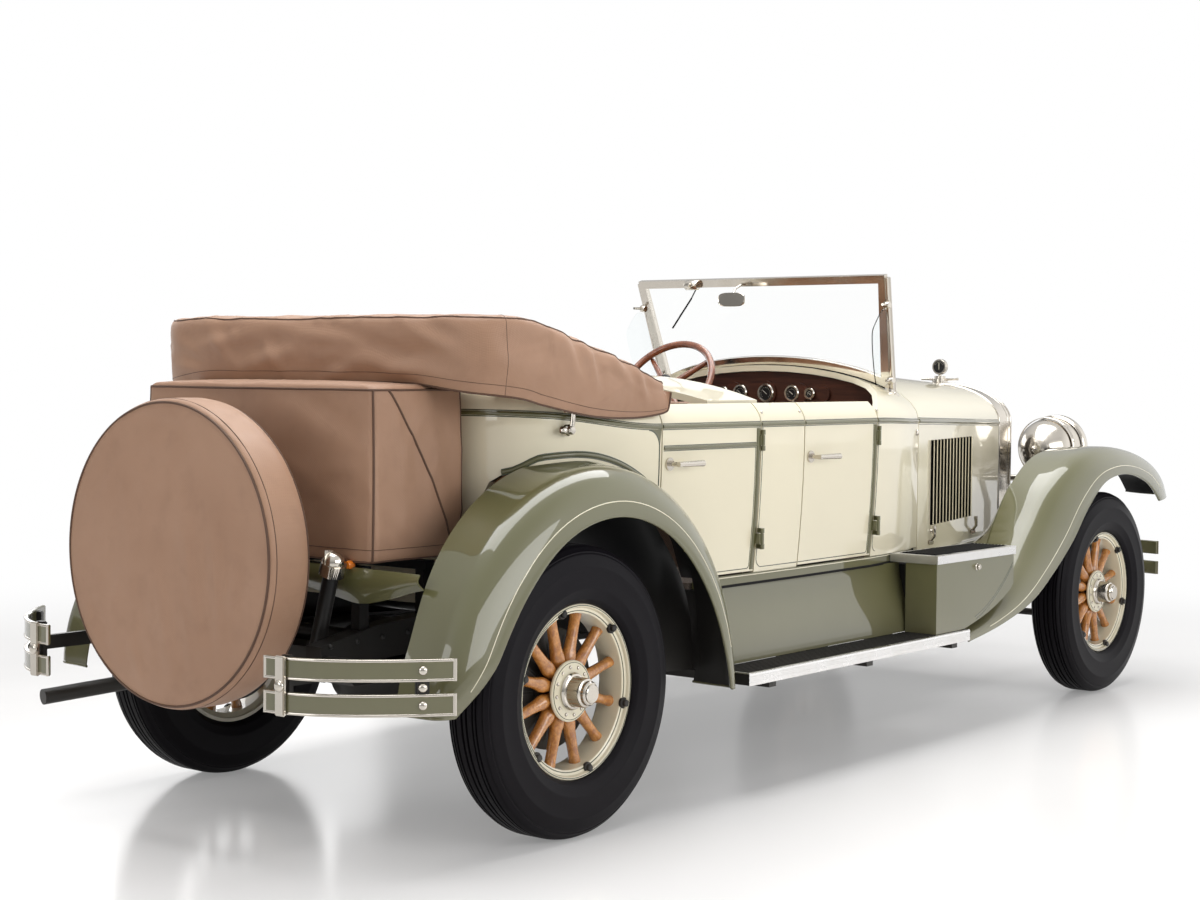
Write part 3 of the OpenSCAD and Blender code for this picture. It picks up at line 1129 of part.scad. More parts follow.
module spare_cover() color(canvas) translate([spare_back, 0, spare_z]) rotate([0, 90,
    0]) rotate_extrude() polygon([[0, 0],
    [spare_d / 2 * 0.72, 2], [spare_d / 2 * 0.9, 8], [spare_d / 2 * 0.97, 20], [spare_d / 2, 44],
        [spare_d / 2, spare_w - 30],
    [spare_d / 2 * 0.965, spare_w - 6], [spare_d / 2 * 0.9, spare_w], [0, spare_w]]);

// Folded top under its boot: a thick roll across the back with an arm along each side
// Columns: station, side position, lift above the body's top edge, half width across the roll, half height
fold_rows = [[522, 660, 16, 24, 16], [470, 656, 8, 46, 34], [330, 648, 1, 62, 62], [120, 634, 1, 84, 86],
    [-50, 596, 6, 108, 98], [-136, 480, 18, 112, 95], [-156, 240, 22, 106, 93], [-158, 0, 22, 104, 93]];
fold_fine = 2;
fold_sides = 16;
function fold_ring(path, i) =
    let (r = path[i], d = path[min(i + 1, len(path) - 1)] - path[max(i - 1, 0)], u = unit([d[0], d[1]]))
    [for (p = round_rect(r[3], r[4], 0.6, fold_sides)) [r[0] - u.y * p.x, r[1] + u.x * p.x, r[2] + p.y]];
function fold_path() = let (half = [for (i = [0:(len(fold_rows) - 1) * fold_fine])
        let (r = row_at(fold_rows, i / fold_fine), h = r[4] + (fold_top_z - 1482) / 2 * ease(share(500,
            -100, r[0])))
            [r[0], -r[1], top_at(max(r[0], body_back)) + r[2] + h, r[3], h]])
    concat(half, [for (i = [len(half) - 2:-1:0]) [half[i][0], -half[i][1], half[i][2], half[i][3],
        half[i][4]]]);
module folded_top() color(canvas) loft([for (i = [0:len(fold_path()) - 1]) fold_ring(fold_path(), i)]);

place() frame_rails();
place() front_axle();
place() rear_axle();
place() leaf_springs();
place() engine_block();
place() exhaust();
place() fuel_tank();
place() radiator_shell();
place() radiator_core();
place() hood_top();
place() hood_sides();
place() cowl();
place() floor_tub();  // floor
place() dashboard();
place() pillar_panels();
place() rear_body();
place() side_aprons();
place() front_seat();
place() rear_seat();
place() steering_column();
place() windshield_frame();
place() windshield_glass();
place() front_fenders();
place() rear_fenders();
place() rear_apron();
place() running_boards();
place() step_boxes();
place() headlamps();
place() headlamp_lenses();
place() bumpers();
place() trunk_cover();
place() spare_cover();
place() folded_top();
place() front_door();  // front_door_right
place() mirrored(true) front_door();  // front_door_left
place() rear_door();  // rear_door_right
place() mirrored(true) rear_door();  // rear_door_left
place() tonneau_cowl();
place() steering_wheel();
place() knuckle();  // knuckle_right
place() mirrored(true) knuckle();  // knuckle_left
place() tie_rod();
place() at_wheel(wheelbase, false) tyre();  // tyre_front_right
place() at_wheel(wheelbase, true) tyre();  // tyre_front_left
place() at_wheel(0, false) tyre();  // tyre_rear_right
place() at_wheel(0, true) tyre();  // tyre_rear_left
place() at_wheel(wheelbase, false) wheel();  // wheel_front_right
place() at_wheel(wheelbase, true) wheel();  // wheel_front_left
place() at_wheel(0, false) wheel();  // wheel_rear_right
place() at_wheel(0, true) wheel();  // wheel_rear_left
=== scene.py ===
import bpy
import bmesh
import math
from mathutils import Matrix, Vector, noise


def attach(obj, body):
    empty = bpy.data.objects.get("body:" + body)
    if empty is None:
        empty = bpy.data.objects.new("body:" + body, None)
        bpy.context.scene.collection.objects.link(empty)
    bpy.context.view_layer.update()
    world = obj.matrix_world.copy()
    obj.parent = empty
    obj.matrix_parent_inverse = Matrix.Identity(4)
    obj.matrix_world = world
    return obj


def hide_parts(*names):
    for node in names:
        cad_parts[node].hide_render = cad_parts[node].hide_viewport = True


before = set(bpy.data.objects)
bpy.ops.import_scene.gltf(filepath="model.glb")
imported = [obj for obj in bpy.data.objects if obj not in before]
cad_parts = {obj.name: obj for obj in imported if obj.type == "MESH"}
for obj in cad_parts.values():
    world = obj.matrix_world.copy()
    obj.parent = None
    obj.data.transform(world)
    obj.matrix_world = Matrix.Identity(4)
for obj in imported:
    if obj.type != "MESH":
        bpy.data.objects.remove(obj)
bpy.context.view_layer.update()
for spareName in ("Cube", "Light", "Camera"):  # the start-up scene's own objects
    if spareName in bpy.data.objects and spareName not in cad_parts:
        bpy.data.objects.remove(bpy.data.objects[spareName])
print("stage: frame loaded,", len(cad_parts), "nodes")

# metres; stations are measured forward of the rear axle
car = {"rearAxle": -1.680, "wheelbase": 3.505, "halfTrack": 0.7225, "tyreR": 0.419, "beltHalf": 0.705,
       "beltZ": 1.160, "topZ": 1.228, "climb": 0.046, "turnUnder": 0.030, "topRoll": 0.040, "sillLow": 0.640,
       "sillTop": 0.676, "bodyBack": -0.140, "rearDoorBack": 0.492, "rearDoorFront": 1.028,
       "frontDoorBack": 1.292, "frontDoorFront": 1.790, "hoodBack": 2.257, "cowlHalf": 0.592,
       "radiatorHalf": 0.320, "radiatorBack": 3.443, "radiatorTop": 1.286, "radiatorShoulder": 1.120,
       "cowlTop": 1.352, "fenderHalf": 0.858, "fenderT": 0.006, "fenderCrown": 0.745}


def mix(a, b, t):
    return a + (b - a) * t


def share(a, b, x):
    return (x - a) / (b - a)


def ease(t):
    t = min(1.0, max(0.0, t))
    return t * t * (3 - 2 * t)


def at(s, y, z):
    return Vector((s + car["rearAxle"], y, z))


def spread(a, b, count):  # count equal steps from a to b, both ends included
    return [mix(a, b, k / count) for k in range(count + 1)]


def circle(count):
    return [(math.cos(2 * math.pi * k / count), math.sin(2 * math.pi * k / count)) for k in range(count)]


def around(points, i):  # the points before and after, or the end itself
    return points[max(i - 1, 0)], points[min(i + 1, len(points) - 1)]


def rowAt(table, t):  # a smooth curve through the rows of a table
    n = len(table)
    i = max(0, min(int(math.floor(t)), n - 2))
    u = t - i
    a, b, c, d = table[max(i - 1, 0)], table[i], table[i + 1], table[min(i + 2, n - 1)]
    return [0.5 * (2 * q + (r - p) * u + (2 * p - 5 * q + 4 * r - w) * u * u + (3 * q - p - 3 * r + w) * u ** 3)
            for p, q, r, w in zip(a, b, c, d)]


def smoothLine(points, count, closed=False):  # points resampled on a smooth curve
    pts = [list(p) for p in points]
    if closed:
        n = len(pts)
        loop = pts[-2:] + pts + pts[:3]
        return [Vector(rowAt(loop, 2 + n * k / count)) for k in range(count)]
    return [Vector(rowAt(pts, (len(pts) - 1) * k / (count - 1))) for k in range(count)]


# body surface, as the panels have it
def planHalf(s):
    c = car
    if s >= c["hoodBack"]:
        return mix(c["cowlHalf"], c["radiatorHalf"], share(c["hoodBack"], c["radiatorBack"], s))
    if s >= c["frontDoorFront"]:
        t = share(c["frontDoorFront"], c["hoodBack"], s)
        return mix(c["beltHalf"] - 0.014, c["cowlHalf"], 0.35 * t + 0.65 * t * t)
    rows = [(c["rearDoorBack"] - 0.3, c["beltHalf"] - 0.008), (c["rearDoorBack"], c["beltHalf"] - 0.002),
            (c["rearDoorFront"], c["beltHalf"]), (c["frontDoorBack"], c["beltHalf"] - 0.001),
            (c["frontDoorFront"], c["beltHalf"] - 0.014)]
    if s <= rows[0][0]:
        return rows[0][1]
    for (a, p), (b, q) in zip(rows, rows[1:]):
        if s <= b:
            return mix(p, q, share(a, b, s))
    return rows[-1][1]


def climbAt(s):
    return car["climb"] * ease(share(car["rearDoorBack"], car["bodyBack"], s))


def beltAt(s):
    return car["beltZ"] + climbAt(s) - 0.010 * ease(share(car["frontDoorFront"], car["hoodBack"], s))


def topAt(s):
    return car["topZ"] + climbAt(s)


def sideIn(s, z):
    b = beltAt(s)
    if z < b:
        return car["turnUnder"] * ((b - z) / (car["beltZ"] - car["sillLow"])) ** 2
    return car["topRoll"] * ((z - b) / (car["topZ"] - car["beltZ"])) ** 2


def skinPoint(s, z, side=-1, out=0.0):
    return at(s, side * (planHalf(s) - sideIn(s, z) + out), z)


def skinOut(s, side=-1):  # outward direction of the body side, in plan
    slope = (planHalf(s + 0.01) - planHalf(s - 0.01)) / 0.02
    return Vector((-slope, side, 0)).normalized()


corner = {"centre": 0.210, "power": 2 / 3.4}


def quarterSpot(side, degrees):  # plan of the body round its rear corner
    a, c = math.radians(degrees), corner
    return (c["centre"] - (c["centre"] - car["bodyBack"]) * max(0, math.sin(a)) ** c["power"],
            side * planHalf(c["centre"]) * max(0, math.cos(a)) ** c["power"])


# mesh building
def newKit():
    return {"verts": [], "faces": [], "mats": []}


def addGrid(kit, rows, mat=0, loopRows=False, loopCols=False):
    base, n, m = len(kit["verts"]), len(rows), len(rows[0])
    for row in rows:
        kit["verts"].extend(Vector(p) for p in row)
    for i in range(n if loopRows else n - 1):
        for j in range(m if loopCols else m - 1):
            i2, j2 = (i + 1) % n, (j + 1) % m
            kit["faces"].append((base + i * m + j, base + i2 * m + j, base + i2 * m + j2, base + i * m + j2))
            kit["mats"].append(mat)
    return base


def addFace(kit, indices, mat=0):
    kit["faces"].append(tuple(indices))
    kit["mats"].append(mat)


def addLoft(kit, rings, mat=0):  # closed rings joined in a row, with both ends capped
    base, m = addGrid(kit, rings, mat, loopCols=True), len(rings[0])
    addFace(kit, range(base, base + m), mat)
    last = base + (len(rings) - 1) * m
    addFace(kit, range(last, last + m), mat)


def gridNormals(rows):
    n, m = len(rows), len(rows[0])
    return [[(rows[min(i + 1, n - 1)][j] - rows[max(i - 1, 0)][j]).cross(
        rows[i][min(j + 1, m - 1)] - rows[i][max(j - 1, 0)]).normalized() for j in range(m)] for i in range(n)]


def addSheet(kit, rows, thick, mat=0, inMat=None):  # a closed sheet, thick is measured along the grid's normal
    normals = gridNormals(rows)
    inner = [[p + q * thick for p, q in zip(r, w)] for r, w in zip(rows, normals)]
    n, m = len(rows), len(rows[0])
    a = addGrid(kit, rows, mat)
    b = addGrid(kit, inner, mat if inMat is None else inMat)
    for j in range(m - 1):
        addFace(kit, (a + j, a + j + 1, b + j + 1, b + j), mat)
        k = (n - 1) * m + j
        addFace(kit, (a + k, b + k, b + k + 1, a + k + 1), mat)
    for i in range(n - 1):
        addFace(kit, (a + i * m, b + i * m, b + (i + 1) * m, a + (i + 1) * m), mat)
        k = i * m + m - 1
        addFace(kit, (a + k, a + k + m, b + k + m, b + k), mat)


def squareTo(t):
    return t.cross(Vector((0, 0, 1)) if abs(t.z) < 0.9 else Vector((1, 0, 0))).normalized()


def sideways(points, loop=False):  # two directions square to the run at each point
    n, out, side = len(points), [], None
    for i in range(n):
        a, b = (points[(i - 1) % n], points[(i + 1) % n]) if loop else around(points, i)
        t = (b - a).normalized()
        side = squareTo(t) if side is None else side
        side = (side - t * side.dot(t)).normalized()
        out.append((side, t.cross(side)))
    return out


def planOuts(path, axis, sign):  # directions square to a path in plan, turned to one side
    outs = []
    for i in range(len(path)):
        a, b = around(path, i)
        o = Vector((a[1] - b[1], b[0] - a[0], 0)).normalized()
        outs.append(o if o[axis] * sign > 0 else -o)
    return outs


def addTube(kit, points, radius, mat=0, sides=12, loop=False):
    rings = []
    for i, (p, (a, b)) in enumerate(zip(points, sideways(points, loop))):
        r = radius[i] if isinstance(radius, (list, tuple)) else radius
        rings.append([p + a * r * c + b * r * d for c, d in circle(sides)])
    if loop:
        addGrid(kit, rings, mat, loopRows=True, loopCols=True)
    else:
        addLoft(kit, rings, mat)


def addBead(kit, path, outs, width, proud, mat=0, arc=6):  # a half-round strip lying on a surface
    rings, sunk = [], 0.002
    for i, (p, o) in enumerate(zip(path, outs)):
        a, b = around(path, i)
        across = (b - a).normalized().cross(o).normalized()
        ring = [p + across * (width / 2) * math.cos(math.pi * k / arc) + o * proud * math.sin(math.pi * k / arc)
                for k in range(arc + 1)]
        ring += [p - across * (width / 2) - o * sunk, p + across * (width / 2) - o * sunk]
        rings.append(ring)
    addLoft(kit, rings, mat)


def addLathe(kit, profile, centre, axis, mat=0, segs=48, closed=False):  # profile of radius and height along the axis
    axis = Vector(axis).normalized()
    a = squareTo(axis)
    b = axis.cross(a)
    rows = [[Vector(centre) + axis * w + (a * c + b * d) * max(r, 1e-5) for c, d in circle(segs)] for r, w in profile]
    addGrid(kit, rows, mat, loopRows=closed, loopCols=True)


def addBox(kit, low, high, mat=0, bevel=0.002, turn=None):
    bm = bmesh.new()
    bmesh.ops.create_cube(bm, size=1.0)
    low, high = Vector(low), Vector(high)
    for v in bm.verts:
        v.co = Vector(((low[k] + high[k]) / 2 + v.co[k] * (high[k] - low[k])) for k in range(3))
    if bevel:
        bmesh.ops.bevel(bm, geom=bm.edges[:], offset=bevel, segments=2, affect="EDGES", clamp_overlap=True)
    base = len(kit["verts"])
    bm.verts.index_update()
    kit["verts"].extend(turn @ v.co if turn else v.co.copy() for v in bm.verts)
    for f in bm.faces:
        addFace(kit, [base + v.index for v in f.verts], mat)
    bm.free()


def sideBox(kit, side, s, y, z, bevel):  # a box on one side of the car; y is measured outwards
    near, far = sorted((side * y[0], side * y[1]))
    addBox(kit, at(s[0], near, z[0]), at(s[1], far, z[1]), 0, bevel)


def addDome(kit, spot, axis, r, high, mat=0, segs=16):
    addLathe(kit, [(r, -0.001), (r, high * 0.25), (r * 0.92, high * 0.55), (r * 0.70, high * 0.85), (r * 0.35, high),
                   (0, high * 1.02)], spot, axis, mat, segs)


def makePiece(name, kit, mats, body, stands=(), sharp=38):
    mesh = bpy.data.meshes.new(name)
    mesh.from_pydata([tuple(v) for v in kit["verts"]], [], kit["faces"])
    for m in mats if isinstance(mats, (list, tuple)) else [mats]:
        mesh.materials.append(m)
    mesh.polygons.foreach_set("material_index", kit["mats"])
    bm = bmesh.new()
    bm.from_mesh(mesh)
    bmesh.ops.remove_doubles(bm, verts=bm.verts, dist=2e-5)
    bmesh.ops.recalc_face_normals(bm, faces=bm.faces)
    bm.to_mesh(mesh)
    bm.free()
    mesh.shade_smooth()
    mesh.set_sharp_from_angle(angle=math.radians(sharp))
    ob = bpy.data.objects.new(name, mesh)
    bpy.context.scene.collection.objects.link(ob)
    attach(ob, body)
    if stands:
        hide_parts(*stands)
    return ob


def brightPiece(name, kit, key="nickel"):
    return makePiece(name, kit, finish[key], "chassis")


def darkPiece(name, kit, key="black"):
    return makePiece(name, kit, finish[key], "chassis")


# shader node groups shared by the finishes
colourIn, valueIn = "NodeSocketColor", "NodeSocketFloat"


def newGroup(name, inputs):  # puts out a colour, a roughness and a height; spot is the place on the object
    group = bpy.data.node_groups.new(name, "ShaderNodeTree")
    for label, kind, value in inputs:
        group.interface.new_socket(label, in_out="INPUT", socket_type=kind).default_value = value
    for label, kind in (("Colour", colourIn), ("Roughness", valueIn), ("Height", valueIn)):
        group.interface.new_socket(label, in_out="OUTPUT", socket_type=kind)
    spot = group.nodes.new("ShaderNodeTexCoord").outputs["Object"]
    return group, group.nodes.new("NodeGroupInput"), group.nodes.new("NodeGroupOutput"), spot


def addNode(tree, kind, values=None, **settings):
    node = tree.nodes.new(kind)
    for key, value in settings.items():
        setattr(node, key, value)
    for key, value in (values or {}).items():
        node.inputs[key].default_value = value
    return node


def mixColour(tree, factor, a, b):
    node = addNode(tree, "ShaderNodeMix", data_type="RGBA")
    for index, source in ((0, factor), (6, a), (7, b)):
        if isinstance(source, bpy.types.NodeSocket):
            tree.links.new(source, node.inputs[index])
        else:
            node.inputs[index].default_value = source
    return node.outputs[2]


def mathNode(tree, operation, a, b=0.0, c=None):
    node = addNode(tree, "ShaderNodeMath", operation=operation)
    for index, source in ((0, a), (1, b), (2, c)):
        if isinstance(source, bpy.types.NodeSocket):
            tree.links.new(source, node.inputs[index])
        elif source is not None:
            node.inputs[index].default_value = source
    return node.outputs[0]


def ramp(tree, factor, low, high, a=0.0, b=1.0):
    node = addNode(tree, "ShaderNodeMapRange", {"From Min": low, "From Max": high, "To Min": a, "To Max": b})
    tree.links.new(factor, node.inputs["Value"])
    return node.outputs["Result"]


def noiseAt(tree, coords, scale, detail=3.0, rough=0.5):
    node = addNode(tree, "ShaderNodeTexNoise", {"Detail": detail, "Roughness": rough})
    tree.links.new(coords, node.inputs["Vector"])
    if isinstance(scale, bpy.types.NodeSocket):
        tree.links.new(scale, node.inputs["Scale"])
    else:
        node.inputs["Scale"].default_value = scale
    return node.outputs["Fac"]


def buildMottle():  # broad shifts of tone and gloss, with settled dust low down
    tree, gin, out, spot = newGroup("paintMottle", [
        ("Colour", colourIn, (0.5, 0.5, 0.5, 1)), ("Tone", valueIn, 0.05), ("Scale", valueIn, 2.5),
        ("Gloss", valueIn, 0.2), ("Dust", valueIn, 0.2)])
    broad = noiseAt(tree, spot, gin.outputs["Scale"], 4.0)
    fine = noiseAt(tree, spot, 260.0, 2.0)
    shade = mathNode(tree, "MULTIPLY", mathNode(tree, "SUBTRACT", broad, 0.5), gin.outputs["Tone"])
    lift = addNode(tree, "ShaderNodeHueSaturation")
    tree.links.new(gin.outputs["Colour"], lift.inputs["Color"])
    tree.links.new(mathNode(tree, "ADD", shade, 1.0), lift.inputs["Value"])
    split = tree.nodes.new("ShaderNodeSeparateXYZ")
    tree.links.new(spot, split.inputs[0])
    low = ramp(tree, split.outputs["Z"], 0.75, 0.30)
    dusty = mathNode(tree, "MULTIPLY", mathNode(tree, "MULTIPLY", low, broad), gin.outputs["Dust"])
    tree.links.new(mixColour(tree, dusty, lift.outputs["Color"], (0.36, 0.32, 0.26, 1)), out.inputs["Colour"])
    rough = mathNode(tree, "ADD", gin.outputs["Gloss"], mathNode(tree, "MULTIPLY", fine, 0.05))
    tree.links.new(mathNode(tree, "MULTIPLY_ADD", dusty, 0.8, rough), out.inputs["Roughness"])
    tree.links.new(fine, out.inputs["Height"])
    return tree


def buildWeave():  # crossed threads that read on every face of a cover
    tree, gin, out, spot = newGroup("canvasWeave", [
        ("Colour", colourIn, (0.4, 0.25, 0.18, 1)), ("Threads", valueIn, 900.0), ("Fade", valueIn, 0.3)])
    split = tree.nodes.new("ShaderNodeSeparateXYZ")
    tree.links.new(spot, split.inputs[0])
    x, y, z = (split.outputs[k] for k in "XYZ")
    waves = []
    for run in (mathNode(tree, "ADD", x, y), mathNode(tree, "SUBTRACT", x, y), z):
        waves.append(mathNode(tree, "SINE", mathNode(tree, "MULTIPLY", run, gin.outputs["Threads"])))
    cross = mathNode(tree, "ADD", mathNode(tree, "MULTIPLY", waves[0], waves[2]),
                     mathNode(tree, "MULTIPLY", waves[0], waves[1]))
    broad = noiseAt(tree, spot, 3.2, 5.0, 0.6)
    stain = noiseAt(tree, spot, 14.0, 4.0, 0.6)
    fade = mathNode(tree, "MULTIPLY", ramp(tree, broad, 0.35, 0.70), gin.outputs["Fade"])
    pale = mixColour(tree, fade, gin.outputs["Colour"], (0.46, 0.285, 0.190, 1))
    dark = mathNode(tree, "MULTIPLY", ramp(tree, stain, 0.52, 0.75), 0.16)
    toned = mixColour(tree, dark, pale, (0.16, 0.09, 0.06, 1))
    thread = mathNode(tree, "MULTIPLY", ramp(tree, cross, -1.2, 1.2), 0.08)
    tree.links.new(mixColour(tree, thread, toned, (0.20, 0.12, 0.085, 1)), out.inputs["Colour"])
    tree.links.new(ramp(tree, stain, 0.3, 0.7, 0.46, 0.58), out.inputs["Roughness"])
    tree.links.new(mathNode(tree, "MULTIPLY_ADD", stain, 0.8, cross), out.inputs["Height"])
    return tree


def buildHide():  # leather grain and the rubbed tone of a used seat
    tree, gin, out, spot = newGroup("hideGrain", [
        ("Colour", colourIn, (0.2, 0.1, 0.06, 1)), ("Scale", valueIn, 420.0), ("Rub", valueIn, 0.3)])
    cells = addNode(tree, "ShaderNodeTexVoronoi", feature="DISTANCE_TO_EDGE")
    tree.links.new(spot, cells.inputs["Vector"])
    tree.links.new(gin.outputs["Scale"], cells.inputs["Scale"])
    broad = noiseAt(tree, spot, 6.0, 4.0, 0.6)
    rubbed = mathNode(tree, "MULTIPLY", ramp(tree, broad, 0.42, 0.72), gin.outputs["Rub"])
    tone = mixColour(tree, rubbed, gin.outputs["Colour"], (0.40, 0.23, 0.13, 1))
    crease = ramp(tree, cells.outputs["Distance"], 0.0, 0.12, 0.30, 0.0)
    tree.links.new(mixColour(tree, crease, tone, (0.05, 0.025, 0.015, 1)), out.inputs["Colour"])
    tree.links.new(ramp(tree, broad, 0.3, 0.7, 0.52, 0.38), out.inputs["Roughness"])
    tree.links.new(ramp(tree, cells.outputs["Distance"], 0.0, 0.15), out.inputs["Height"])
    return tree


def buildGrain():  # wood grain drawn out along one direction
    tree, gin, out, spot = newGroup("woodGrain", [
        ("Light", colourIn, (0.5, 0.22, 0.06, 1)), ("Dark", colourIn, (0.2, 0.07, 0.02, 1)),
        ("Stretch", "NodeSocketVector", (30.0, 30.0, 30.0)), ("Gloss", valueIn, 0.2)])
    scaled = addNode(tree, "ShaderNodeVectorMath", operation="MULTIPLY")
    tree.links.new(spot, scaled.inputs[0])
    tree.links.new(gin.outputs["Stretch"], scaled.inputs[1])
    bands = addNode(tree, "ShaderNodeTexNoise", {"Scale": 1.0, "Detail": 6.0, "Roughness": 0.65, "Distortion": 0.6})
    tree.links.new(scaled.outputs[0], bands.inputs["Vector"])
    tone = ramp(tree, bands.outputs["Fac"], 0.34, 0.66)
    tree.links.new(mixColour(tree, tone, gin.outputs["Light"], gin.outputs["Dark"]), out.inputs["Colour"])
    tree.links.new(mathNode(tree, "MULTIPLY_ADD", bands.outputs["Fac"], 0.12, gin.outputs["Gloss"]),
                   out.inputs["Roughness"])
    tree.links.new(bands.outputs["Fac"], out.inputs["Height"])
    return tree


def buildScuff():  # fine handling marks on bright metal
    tree, gin, out, spot = newGroup("metalScuff", [
        ("Colour", colourIn, (0.7, 0.68, 0.64, 1)), ("Gloss", valueIn, 0.12), ("Haze", valueIn, 0.15)])
    broad = noiseAt(tree, spot, 9.0, 5.0, 0.6)
    fine = noiseAt(tree, spot, 320.0, 2.0)
    haze = mathNode(tree, "MULTIPLY", ramp(tree, broad, 0.42, 0.75), gin.outputs["Haze"])
    tree.links.new(mixColour(tree, haze, gin.outputs["Colour"], (0.42, 0.38, 0.32, 1)), out.inputs["Colour"])
    tree.links.new(mathNode(tree, "ADD", gin.outputs["Gloss"], mathNode(tree, "MULTIPLY_ADD", fine, 0.04, haze)),
                   out.inputs["Roughness"])
    tree.links.new(fine, out.inputs["Height"])
    return tree


def newMaterial(name, group, values, bump=0.05, distance=0.001, shader=None):
    mat = bpy.data.materials.new(name)
    mat.use_nodes = True
    tree = mat.node_tree
    bsdf = tree.nodes["Principled BSDF"]
    node = addNode(tree, "ShaderNodeGroup", node_tree=group)
    for key, value in values.items():
        node.inputs[key].default_value = value
    tree.links.new(node.outputs["Colour"], bsdf.inputs["Base Color"])
    tree.links.new(node.outputs["Roughness"], bsdf.inputs["Roughness"])
    if bump:
        bumpNode = addNode(tree, "ShaderNodeBump", {"Strength": bump, "Distance": distance})
        tree.links.new(node.outputs["Height"], bumpNode.inputs["Height"])
        tree.links.new(bumpNode.outputs["Normal"], bsdf.inputs["Normal"])
    for key, value in (shader or {}).items():
        bsdf.inputs[key].default_value = value
    return mat


mottle, weave, hide, grain, scuff = buildMottle(), buildWeave(), buildHide(), buildGrain(), buildScuff()
lacquer = {"Coat Weight": 1.0, "Coat Roughness": 0.015, "Coat IOR": 1.55, "Specular IOR Level": 0.3}


def paint(name, colour, tone=0.06, gloss=0.22, dust=0.25, shader=None):
    return newMaterial(name, mottle, {"Colour": colour, "Tone": tone, "Gloss": gloss, "Dust": dust}, 0.03, 0.0004,
                       lacquer if shader is None else shader)


def metal(name, colour, gloss=0.1, haze=0.15):
    return newMaterial(name, scuff, {"Colour": colour, "Gloss": gloss, "Haze": haze}, 0.03, 0.0003, {"Metallic": 1.0})


finish = {
    "cream": paint("creamLacquer", (0.73, 0.670, 0.500, 1), gloss=0.35),
    "green": paint("sageLacquer", (0.100, 0.096, 0.037, 1), gloss=0.35),
    "darkGreen": paint("stripeGreen", (0.055, 0.065, 0.035, 1), dust=0.0),
    "black": paint("chassisBlack", (0.006, 0.006, 0.0065, 1), 0.3, 0.34, 0.15, {"Specular IOR Level": 0.3}),
    "mat": paint("ribbedMat", (0.008, 0.008, 0.0085, 1), 0.3, 0.55, 0.08, {"Specular IOR Level": 0.06}),
    "rubber": paint("tyreRubber", (0.0050, 0.0042, 0.0060, 1), 0.3, 0.42, 0.01, {"Specular IOR Level": 0.08}),
    "nickel": metal("nickelPlate", (0.57, 0.53, 0.47, 1)),
    "alloy": metal("boardAlloy", (0.74, 0.73, 0.72, 1), 0.24, 0.2),
    "iron": paint("engineIron", (0.07, 0.075, 0.065, 1), 0.4, 0.5, 0.3, {"Specular IOR Level": 0.3}),
    "canvas": newMaterial("tanCanvas", weave, {"Colour": (0.325, 0.184, 0.112, 1)}, 0.25, 0.0005,
                          {"Specular IOR Level": 0.45, "Sheen Weight": 0.08, "Sheen Roughness": 0.4}),
    "piping": newMaterial("coverPiping", weave, {"Colour": (0.085, 0.046, 0.030, 1), "Fade": 0.05}, 0.3, 0.0004,
                          {"Specular IOR Level": 0.25}),
    "carpet": newMaterial("floorCarpet", weave, {"Colour": (0.075, 0.055, 0.040, 1), "Threads": 700.0, "Fade": 0.1},
                          0.8, 0.002, {"Specular IOR Level": 0.1, "Sheen Weight": 0.3}),
    "leather": newMaterial("seatHide", hide, {"Colour": (0.235, 0.120, 0.065, 1)}, 0.35, 0.0006,
                           {"Specular IOR Level": 0.4}),
    "spokeWood": newMaterial("spokeVarnish", grain, {"Light": (0.60, 0.265, 0.065, 1),
                                                     "Dark": (0.30, 0.105, 0.024, 1),
                             "Stretch": (55.0, 90.0, 55.0), "Gloss": 0.20}, 0.1, 0.0004, lacquer),
    "wheelWood": newMaterial("wheelRimWood", grain, {"Light": (0.26, 0.085, 0.035, 1),
                                                     "Dark": (0.13, 0.036, 0.015, 1),
                             "Stretch": (40.0, 40.0, 40.0), "Gloss": 0.18}, 0.08, 0.0004, lacquer),
    "dashWood": newMaterial("dashVeneer", grain, {"Light": (0.075, 0.024, 0.012, 1), "Dark": (0.030, 0.010, 0.006, 1),
                            "Stretch": (60.0, 5.0, 60.0), "Gloss": 0.3}, 0.05, 0.0004, {"Specular IOR Level": 0.3}),
    "dial": paint("dialFace", (0.60, 0.57, 0.48, 1), 0.08, 0.4, 0.0, {"Specular IOR Level": 0.3}),
    "core": paint("radiatorCells", (0.035, 0.033, 0.030, 1), 0.4, 0.5, 0.2, {"Specular IOR Level": 0.3}),
    "amber": paint("amberLens", (0.75, 0.20, 0.02, 1), 0.1, 0.1, 0.0),
    "ruby": paint("rubyLens", (0.30, 0.010, 0.008, 1), 0.1, 0.1, 0.0),
}


def glass(name, tint, rough, clear=1.0):
    mat = bpy.data.materials.new(name)
    mat.use_nodes = True
    tree = mat.node_tree
    bsdf = tree.nodes["Principled BSDF"]
    for key, value in {"Base Color": tint, "Transmission Weight": clear, "IOR": 1.12,
                       "Specular IOR Level": 0.5}.items():
        bsdf.inputs[key].default_value = value
    spot = tree.nodes.new("ShaderNodeTexCoord").outputs["Object"]
    haze = noiseAt(tree, spot, 6.0, 4.0)
    tree.links.new(ramp(tree, haze, 0.4, 0.8, rough, rough + 0.03), bsdf.inputs["Roughness"])
    return mat


finish["glass"] = glass("clearGlass", (0.985, 0.992, 0.988, 1), 0.0)
finish["lens"] = glass("lampLens", (0.60, 0.61, 0.59, 1), 0.12, 0.45)
print("stage: finishes made,", len(finish))


